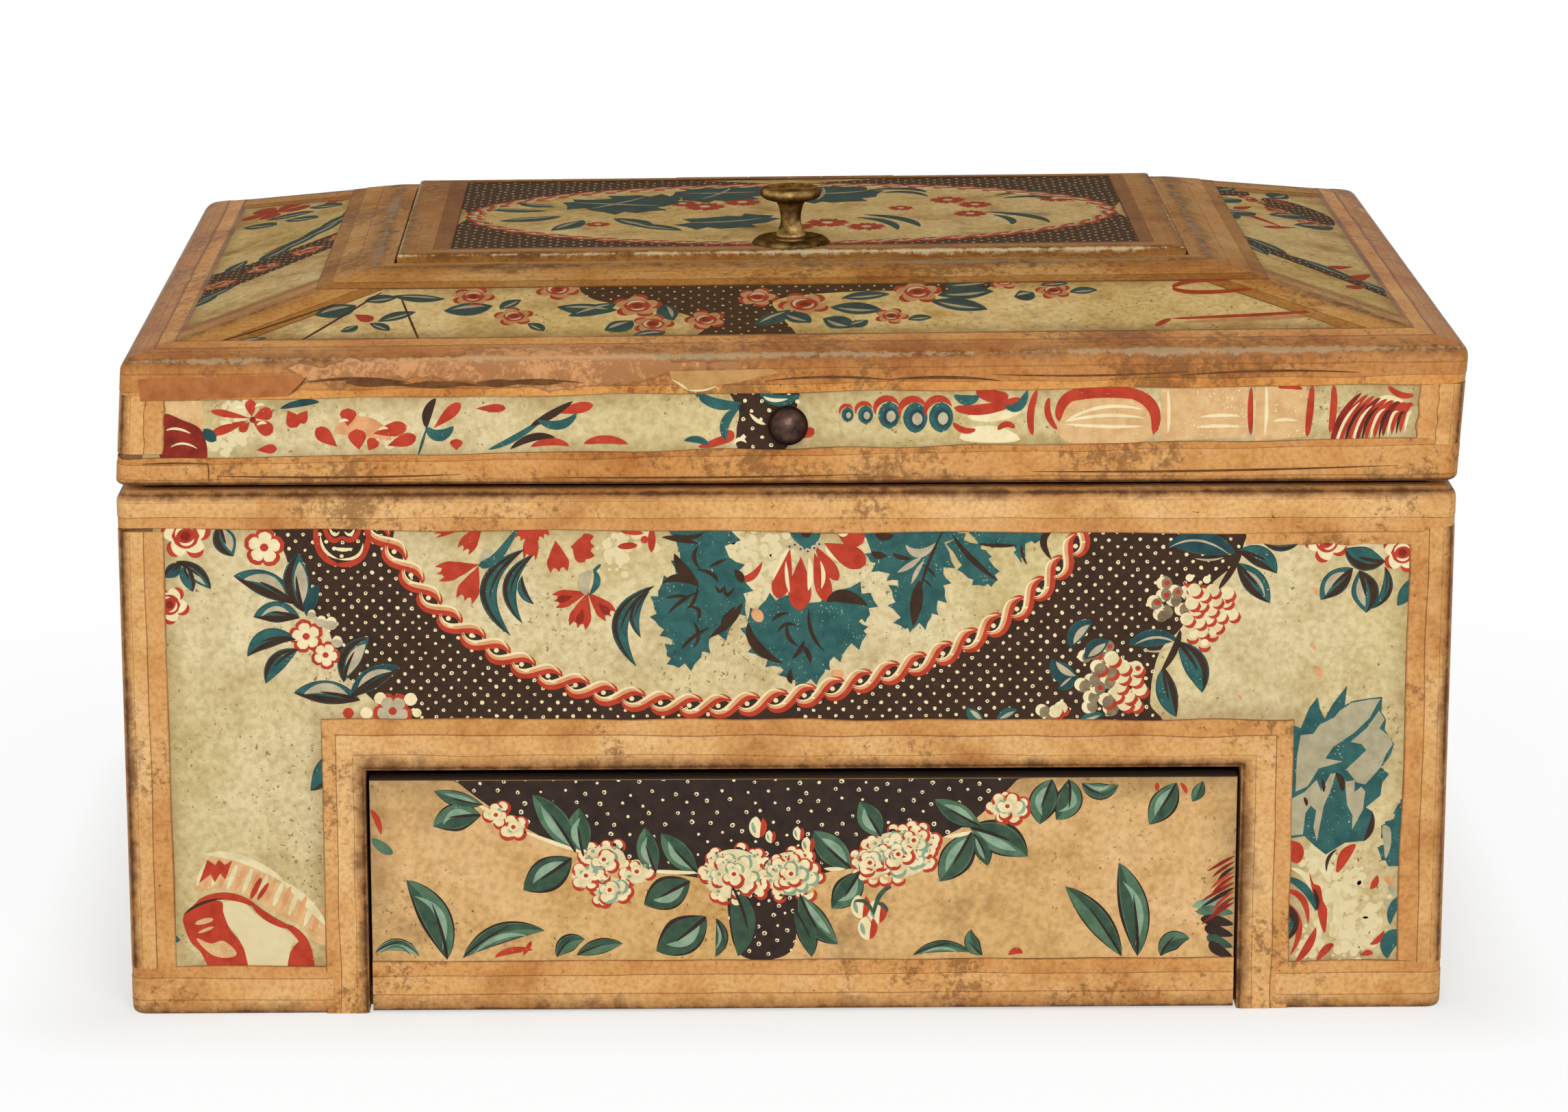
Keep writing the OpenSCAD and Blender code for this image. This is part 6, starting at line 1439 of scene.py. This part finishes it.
def over_eave(high, thick, slope):
    """How far outside the rim's face a skin of the given thickness lies at a height over the lid's foot:
    upright up to the eave, round it on the board's 3.3 mm radius, then in along the slope."""
    middle = rim_h - board_r * (1 - np.sin(slope)) / np.cos(slope)
    reach = board_r + thick
    turned = np.sqrt(np.maximum(reach ** 2 - (high - middle) ** 2, 0)) - board_r
    sloped = -(high - rim_h - thick / np.cos(slope)) / np.tan(slope)
    return np.where(high < middle, thick, np.where(high < middle + reach * np.cos(slope), turned, sloped))


high = np.array([22.9, 23.0, 25.2, 25.3, 28.6, 29.6, 30.6, 31.5, 32.3, 32.9, 33.25, 33.5, 34.0, 34.3, 34.35,
    35.3, 35.35, 35.3, 33.4, 32.0, 30.5, 28.5, 22.9])
thick = np.concatenate([[0.1, 0.6, 0.64], np.full(11, 0.78), [0.64, 0.6, 0.1], np.full(6, -0.3)])
band = np.array([0, 0.02, 0.97, 1.03, 1.95, 2.1, 2.4, 2.7, 3.0, 3.3, 3.5, 3.7, 4.1, 4.97, 5.03, 5.98,
    6, 6, 4, 3, 2, 1, 0])
out_y, out_x = over_eave(high, thick, front_slope), over_eave(high, thick, end_slope)
grid = round_box(half_w + out_x, half_d + out_y, np.maximum(board_r + out_y, 0), high)
askew = at_front(grid) * 0.004 * grid[:, 3, 0]
unsteady(grid, 103, (0.25, 0.25), 0.05, askew, askew)
strip("eave_strip", lid_shape(grid), band, torn_strip, "lid", ["eave_bindings"])
# Mends and losses on the front: a rust-brown patch at the left, a bare place by the stud, cracks in the folds
paints["rust"] = distemper("rust_brown_paper", "#AC6C3C", "#985A2E", "#7E4A26", 0.4)
paints["bare"] = distemper("bare_under_paper", "#BB905A", "#AB804B", "#8D6436", 0.5)
paints["crack"] = distemper("dirt_in_cracks", "#6A4524", "#4C2F16", "#A97B4A", 0.5)
blot("rust", from_place(-149, 157, -9.5, 6.4, 9, 7, 30, 7.6, 31.5, 5.5, 28, 3.4, 27, 2.2, 9, 1.6,
    -9, 1), 0.5, sharp=True)
blot("bare", from_place(-29, 159, 0, 6, 0.6, 4, 3.5, 2.6, 4.4, 1.4, 8, 1.2, 11, 2.5, 17, 3.2, 22, 4.6, 27,
    5.6, 25, 6.6), 0.5, sharp=True)
for outline in (from_place(-97, 160, -11, 2.6, -6, 3.6, 0, 3.2, 5, 2, 9, 2.9, 14, 2.4, 17, 1.6, 11, 1, 5, 1.4,
        0, 1.7, -6, 1.4), from_place(-67, 160, -9, 2.2, -4, 3.2, 1, 2.8, 7, 3.2, 12, 2.4, 7,
        1.6, 1, 1.9, -4, 1.2)):
    blot("crack", outline, 0.5)
strokes("pale", -26, 158, 0.52, 0.4, (-2.4, 5, 0.6, 3.4, 1.5, 2.3, 0.28), (1.5, 2.3, 6, 1.8, 8.4, 3.4, 0.28))
strokes("crack", -149, 136, 0.5, 0.7, (31, 26.6, 44, 28.4, 57, 26.4, 0.45),
    (54, 25.6, 65, 27, 75, 25.4, 0.55), (77, 26, 87, 27.8, 99, 26.2, 0.35),
    (27, 23.3, 30, 25.4, 31.6, 28, 0.3), (144, 26.6, 159, 28.4, 175, 26.6, 0.35),
    (173, 26.8, 189, 28, 201, 26.4, 0.4), (199, 28, 224, 27, 247, 28.6, 0.25),
    (245, 27.6, 267, 29.4, 289, 28.2, 0.3), (7, 1.8, 7.3, 4, 7, 6.4, 0.18), (-9, 6.2, -1, 6.6, 7, 6.3, 0.18),
    (9, 3.2, 39, 2.2, 69, 3.4, 0.3), (89, 2.6, 129, 2, 169, 3, 0.25), (209, 3.6, 249, 3, 299, 4.8, 0.3))
print_on("lid_strip_mends", on_front, "lid", "binding_paper", within(-158.5, 160, 137.6, 166))


def hip_strip(name, side_x, side_y):
    """A strip up one hip: the hip line from the eave to the flat top's corner, with points laid off square to
    it in the two slopes and raised along each slope's normal."""
    low = np.array([side_x * half_w, side_y * half_d, rim_h])
    top = np.array([side_x * flat_x, side_y * flat_y, rim_h + rise])
    run = (top - low) / np.linalg.norm(top - low)
    front_up = np.array([0, side_y * np.sin(front_slope), np.cos(front_slope)])
    end_up = np.array([side_x * np.sin(end_slope), 0, np.cos(end_slope)])
    in_front = np.cross(run, front_up) * side_x * side_y
    in_end = np.cross(end_up, run) * side_x * side_y
    ridge = front_up + end_up
    ridge /= np.linalg.norm(ridge)
    side = [(11.0, 0.1), (10.9, 0.42), (7.1, 0.44), (6.9, 0.52), (2.5, 0.52)]
    cross = [in_front * n + front_up * t for n, t in side] + [ridge * 0.52]
    cross += [in_end * n + end_up * t for n, t in side[::-1]]
    cross += [in_end * 11 - end_up * 0.3, -ridge * 0.4, in_front * 11 - front_up * 0.3]
    band = [0, 0.02, 0.97, 1.03, 2, 3, 4, 4.97, 5.03, 5.98, 6, 6, 3, 0]
    cross = np.array(cross)
    over = run[2] * np.linalg.norm(top - low)
    start = np.clip((1.2 - cross[:, 2]) / over, 0.06, 0.5)
    share = start + np.linspace(0, 1, 30)[:, None] * (0.99 - start)
    grid = low + share[..., None] * (top - low) + cross
    strip(name, lid_shape(grid), band, brown_strip, "lid")


for k, (side_x, side_y) in enumerate(corners):
    hip_strip(f"hip_strip_{k + 1}", side_x, side_y)
# Round the flat top: from the slope over its edge to the well
up = rim_h + np.array([10.0, 10.02, 10.9, 10.92, 12.0, 13.2])
skin = np.array([0.1, 0.62, 0.66, 0.8, 0.8, 0.75])
slope_y = half_d - (up - rim_h) / np.tan(front_slope)
slope_x = half_w - (up - rim_h) / np.tan(end_slope)
rim_in = np.array([1.5, 4.4, 4.55, 4.55, 0.0, -4.0, -18.0])
edge_y = np.concatenate([slope_y, flat_y - rim_in[:4], [flat_y - 4.5, flat_y + 2, slope_y[0]]])
edge_x = np.concatenate([slope_x, flat_x - rim_in[:4], [flat_x - 4.5, flat_x + 2, slope_x[0]]])
high = np.concatenate([up + skin, rim_h + rise + np.array([0.72, 0.7, 0.55, -0.3]),
    [42.0 + 2.4, 44.0, up[0] - 0.3]])
band = [0, 0.02, 0.97, 1.03, 2, 3, 3.4, 4.4, 4.6, 5, 6, 6, 6]
grid = round_box(edge_x, edge_y, np.zeros(len(edge_x)), high)
strip("flat_top_strip", lid_shape(grid), band, brown_strip, "lid", ["lid_top_binding"])

# Small lid
# A board papered like the rest, with an oval in a cord on a dark dotted ground, and wide browned strips
# folded down its edges, worn white along the front. It lies in the flat top and lifts by its knob.
hatch_x, hatch_y, hatch_top = 100.2, 53.7, rim_h + 16.1


def on_hatch(u, v, h):
    """The small lid's upper face: u to the right, v to the back, h over its paper."""
    u, v, h = np.broadcast_arrays(u, v, h)
    return lid_shape(np.stack([u - lean, v, hatch_top - 0.7 + paper_t + h], -1))


u, v = np.meshgrid(np.linspace(-89, 94, 93), np.linspace(-48.5, 50.5, 51))
to_strip = np.minimum(np.minimum(u + 84.7, 90.7 - u), np.minimum(v + 46.7, 49.7 - v))
sheet("hatch_sheet", on_hatch, u, v, to_strip, dusty_ground, "small_lid", "printed_paper", ["hatch_paper"])
turn = np.radians(np.linspace(0, 90, 10))
for side_x in (-1, 1):
    for side_y in (-1, 1):
        bend = np.stack([3 + 84 * side_x * np.cos(turn), -1 + 42 * side_y * np.sin(turn)], -1).tolist()
        dotted_ground(bend + [(3 + 30 * side_x, 1 + 49 * side_y), (3 + 88 * side_x, 1 + 49 * side_y),
            (3 + 89 * side_x, 20 * side_y)], 121 + side_x + 2 * side_y, 4.0, 0.4)
turn = np.radians(np.linspace(-180, 180, 60))
rope(np.stack([3 + 84 * np.cos(turn), -1 + 42 * np.sin(turn)], -1), 7.0, 1.9)
serrated("deep", from_place(-50, 1, 0, 5, 12, 1, 20, 11, 24, 21, 12, 27, 2, 21, -8, 17), 0.09, 0.7)
serrated("deep", from_place(-19, 17, -7, 3, 5, 1, 15, 9, 15, 21, 1, 23, -9, 15), 0.09, 0.6)
serrated("deep", from_place(1, 13, 3, 5, 13, 1, 25, 9, 23, 23, 9, 27, 1, 19), 0.09, 0.6)
serrated("deep", from_place(-7, -22, -21, 6, -9, 0, 3, 8, 5, 18, -7, 18), 0.09, 0.6)
strokes("grey", -50, 9, 0.13, 0.6, (-5, 9, 6, 5, 18, 3, 0.55), (0, 0, 8, 7, 14, 16, 0.55),
    (24, 21, 34, 20, 44, 22, 0.55), (29, 12, 36, 21, 37, 29, 0.55), (54, 19, 64, 17, 74, 22, 0.55),
    (60, 9, 63, 18, 62, 28, 0.55), (25, -22, 36, -23, 45, -17, 0.55))
for values in ((-62, 6, -78, 10, 2.4), (-58, -2, -74, -8, 3), (-52, -8, -60, -22, 3),
        (-44, -6, -34, -18, 3.4), (-40, -14, -26, -24, 2.8), (-60, 12, -70, 18, 2)):
    leaf(*values, 0.8, 0, 0.6, "deep")
strokes("deep", 27, -13, 0.09, 0.7, (-3, 45, 9, 51, 13, 41, 1.6), (1, 41, 9, 45, 13, 35, 1.4),
    (-5, 9, 7, 5, 9, -9, 1.8), (-7, 5, 3, 1, 3, -13, 1.6), (31, 35, 45, 47, 47, 33, 1.5),
    (33, 31, 43, 37, 49, 27, 1.4), (27, 11, 41, 7, 43, -5, 1.6), (29, 7, 35, 1, 33, -7, 1.3))
for x, y, r in ((-20, 10, 5), (-10, 16, 4.6), (-26, 15, 3.6), (12, -15, 5.2), (22, -21, 4.6), (4, -20, 4),
        (45, 16, 4.4), (52, 9, 4.2), (50, -4, 4), (74, 17, 4.4), (32, 5, 3), (-48, -14, 3)):
    for way in range(0, 360, 72):
        fringed_petal(x, y, x + r * np.cos(np.radians(way + 7 * x)),
            y + r * np.sin(np.radians(way + 7 * x)), 0.42 * r)
    spot("cream", x, y, 0.3 * r, 0.12)
print_on("hatch_print", on_hatch, "small_lid", "printed_paper", within(-88.5, 93.5, -48, 50), dusty_paints)
inset = np.array([12.5, 12.4, 8.2, 8.1, 4.0, 1.2, 0.35, 0.0, 0.0, 0.8, 1.2, 12.5])
inset_y = np.array([5.5, 5.45, 4.0, 3.9, 2.4, 1.2, 0.35, 0.0, 0.0, 0.8, 1.2, 5.5])
drop = np.array([0.6, 0.06, 0.04, 0.0, 0.0, 0.02, 0.3, 0.9, 6.6, 6.6, 1.2, 1.0])
band = [0, 0.02, 0.97, 1.03, 2, 2.6, 2.9, 3.2, 4.5, 6, 6, 6]
share = np.clip(inset / 12.5, 0, 1)
grid = round_box(hatch_x - inset, hatch_y - inset_y, np.full(12, 0.0), hatch_top - drop,
    1.0 * share, 1.5 * share)
strip("hatch_strip", lid_shape(grid), band, dark_strip, "small_lid", ["hatch_binding"])

# Knob, its rosette and the lift stud
# A turned brass knob on a stamped brass disc, both dulled to brown with bright rubbed edges, and a domed iron
# stud nailed through the lid's front.


def dulled_metal(name, bright, dull, dark, rough):
    """Old metal: bright where rubbed, dull elsewhere and nearly black in the hollows, in clouds of 4 mm."""
    material, add = new_material(name)
    place = add("TexCoord", out="Object")
    cloud = add("TexNoise", Vector=place, Scale=230, Detail=6, Roughness=0.65)
    colour = add("ValToRGB", Fac=cloud, stops=[(0.34, dark), (0.48, dull), (0.68, bright)])
    fine = add("TexNoise", Vector=place, Scale=1500, Detail=3)
    polish = add("MapRange", Value=cloud, From_Min=0.35, From_Max=0.65,
        To_Min=rough + 0.15, To_Max=rough - 0.1)
    bump = add("Bump", Height=fine, Strength=0.2, Distance=0.0002)
    shader = add("BsdfPrincipled", Base_Color=colour, Metallic=1, Roughness=polish,
        Specular_Tint=dull, Normal=bump)
    add("OutputMaterial", Surface=shader)
    return material


def turned(name, profile, place, material, body, slot, stands_for, lobes=0, depth=0.0):
    """A turned solid: each profile point (radius, height) carried round in 72 steps, its radius swelling by
    depth times the cosine of lobes times the angle, along a smooth curve from axis to axis."""
    radius, high = np.array(profile, float).T
    turn = np.arange(72) * np.pi / 36
    reach = radius * (1 + depth * np.cos(lobes * turn)[:, None])
    grid = np.stack([reach * np.cos(turn)[:, None], reach * np.sin(turn)[:, None],
        np.broadcast_to(high, reach.shape)], -1)
    steps, around = grid.shape[:2]
    index = np.arange(steps * around).reshape(steps, around)
    ahead = np.roll(index, -1, 0)
    faces = np.stack([index[:, :-1], ahead[:, :-1], ahead[:, 1:], index[:, 1:]], -1).reshape(-1, 4).tolist()
    piece = add_piece(name, place(grid.reshape(-1, 3)), faces, material, body, slot, stands_for, True)
    close_seams(piece)
    return piece


def smooth_profile(points):
    """A profile through its points by cubics in five steps, its ends held, and nothing beyond the axis."""
    p = np.array(points, float)
    p = np.concatenate([2 * p[:1] - p[1:2], p, 2 * p[-1:] - p[-2:-1]])
    curve = np.concatenate([cubics(p[:-3], p[1:-2], p[2:-1], p[3:], 5), p[-2:-1]])
    return np.stack([np.maximum(curve[:, 0], 0), curve[:, 1]], -1)


old_brass = dulled_metal("dulled_brass", "#B0915A", "#705630", "#3A2914", 0.5)
tarnished_brass = dulled_metal("tarnished_brass", "#7E6439", "#574223", "#2E2112", 0.6)
dark_iron = dulled_metal("dark_iron", "#6B5348", "#4A3832", "#2E2320", 0.45)
for name in ("frame_leaf", "hatch_leaf", "hatch_pin", "left_case_leaf", "right_case_leaf", "left_lid_leaf",
        "right_lid_leaf", "hinge_pins", "case_hinge_nails", "lid_hinge_nails"):
    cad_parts[name].data.materials.clear()
    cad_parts[name].data.materials.append(old_brass if "hatch" in name or "frame" in name else dark_iron)
knob_y = -42.7
at_knob = lambda points: lid_shape(points + np.array([0, knob_y, hatch_top]))
turned("rosette_disc", smooth_profile([(0, 0.9), (5.4, 0.8), (6.6, 0.7), (7.4, 1.15), (8.4, 1.25), (9.3, 0.7),
    (9.5, 0.1), (9.2, -0.05), (0, -0.05)]), at_knob, tarnished_brass, "small_lid", "brass",
    ["rosette"], 30, 0.015)
turned("turned_knob", smooth_profile([(0, 13.5), (3, 13.55), (5.4, 13.8), (6.5, 14.15), (7.2, 14.0),
    (7.65, 13.3), (7.65, 12.5), (7.1, 11.7), (5.9, 11.2), (4.4, 10.9), (3.5, 10.2), (3.0, 8.9), (2.65, 7.2),
    (2.6, 5.6), (2.85, 4.2), (3.4, 2.9), (3.8, 2.3), (3.95, 1.8), (3.8, 1.3), (3.8, 0.9), (3.6, 0.7),
    (0, 0.7)]), at_knob, old_brass, "small_lid", "brass", ["knob"])
stud_z = 151.6
at_stud = lambda points: np.stack([points[:, 0], front_y - points[:, 2], stud_z - points[:, 1]], -1)
turned("stud_dome", smooth_profile([(0, 6.4), (1.6, 6.2), (3.2, 5.3), (4.4, 3.8), (4.85, 2.2), (4.7, 1.0),
    (4.2, 0.3), (3.4, 0.1), (0, 0.1)]), at_stud, dark_iron, "lid", "iron", ["lift_stud"])

# Studio
# A wide pale floor that glows white a little way from the box, one large soft lamp in front of the box and
# above it, a weaker one from the left, and a white room. The camera stands where the photograph's was.


def area_lamp(name, place, target, size, power):
    """A square soft lamp at a place, turned to a target, sizes in metres."""
    lamp = bpy.data.lights.new(name, "AREA")
    lamp.size = size
    lamp.energy = power
    holder = bpy.data.objects.new(name, lamp)
    away = np.array(place) - np.array(target)
    away = away / np.linalg.norm(away)
    side = np.cross((0, 0, 1), away)
    side = side / np.linalg.norm(side)
    turn = np.eye(4)
    turn[:3, 0], turn[:3, 1], turn[:3, 2], turn[:3, 3] = side, np.cross(away, side), away, place
    holder.matrix_world = Matrix(turn.tolist())
    bpy.context.scene.collection.objects.link(holder)


def seen_rays(add):
    """1 for rays that show the room, straight, mirrored or through glass, 0 for those that only light it."""
    seen = add("LightPath", out="Is Camera Ray")
    mirrored = add("LightPath", out="Is Glossy Ray")
    through = add("LightPath", out="Is Transmission Ray")
    seen = add("Math", seen, mirrored, operation="MAXIMUM")
    return add("Math", seen, through, operation="MAXIMUM")


area_lamp("front_softbox", (0.25, -1.7, 1.05), (0, 0, 0.08), 1.4, 27)
area_lamp("left_softbox", (-1.6, -0.7, 0.9), (0, 0, 0.08), 1.0, 6)

white_room = bpy.data.worlds.new("white_room")
white_room.use_nodes = True
white_room.node_tree.nodes.clear()
add = partial(node, white_room.node_tree)
seen = seen_rays(add)
level = add("MapRange", Value=seen, To_Min=0.32, To_Max=1)
light = add("Background", Color="#FFFFFF", Strength=level)
add("OutputWorld", Surface=light)
bpy.context.scene.world = white_room

floor_paper, add = new_material("white_studio_floor")
box_half = (0.165, 0.107, 0.0)
matt = add("BsdfDiffuse", Color="#F4F4F2")
glow = add("Emission", Color="#FFFFFF", Strength=1)
seen = seen_rays(add)
away = add("VectorMath", add("TexCoord", out="Object"), operation="ABSOLUTE")
away = add("VectorMath", away, box_half, operation="SUBTRACT")
away = add("VectorMath", away, (0.0, 0.0, 0.0), operation="MAXIMUM")
away = add("VectorMath", away, out="Value", operation="LENGTH")
near = add("MapRange", Value=away, From_Max=0.035, To_Min=0.55, To_Max=0.92)
far = add("MapRange", Value=away, From_Min=0.035, From_Max=0.2, To_Max=0.08)
share = add("Math", near, far, operation="ADD")
seen = add("Math", seen, share, operation="MULTIPLY")
surface = add("MixShader", seen, matt, glow)
add("OutputMaterial", Surface=surface)
mesh = bpy.data.meshes.new("studio_floor")
mesh.from_pydata([(-8, -8, 0), (8, -8, 0), (8, 12, 0), (-8, 12, 0)], [], [(0, 1, 2, 3)])
mesh.materials.append(floor_paper)
studio_floor = bpy.data.objects.new("studio_floor", mesh)
bpy.context.scene.collection.objects.link(studio_floor)

pitch, yaw, roll = np.radians((13.4, 0.9475, 0.006))
ahead = np.array([np.sin(yaw) * np.cos(pitch), np.cos(yaw) * np.cos(pitch), -np.sin(pitch)])
right = np.array([np.cos(yaw), -np.sin(yaw), 0.0])
up = np.cross(right, ahead)
right, up = np.cos(roll) * right + np.sin(roll) * up, np.cos(roll) * up - np.sin(roll) * right
camera_place = (-0.0203, -1.2758, 0.4202)
stand = np.eye(4)
stand[:3, 0], stand[:3, 1], stand[:3, 2], stand[:3, 3] = right, up, -ahead, camera_place
lens = bpy.data.cameras.new("photo_camera")
lens.sensor_width = 36.0
lens.sensor_fit = "HORIZONTAL"
lens.lens = 112.46
lens.shift_y = -0.0591
camera = bpy.data.objects.new("photo_camera", lens)
camera.matrix_world = Matrix(stand.tolist())
bpy.context.scene.collection.objects.link(camera)
bpy.context.scene.camera = camera
bpy.context.scene.view_settings.view_transform = "Standard"
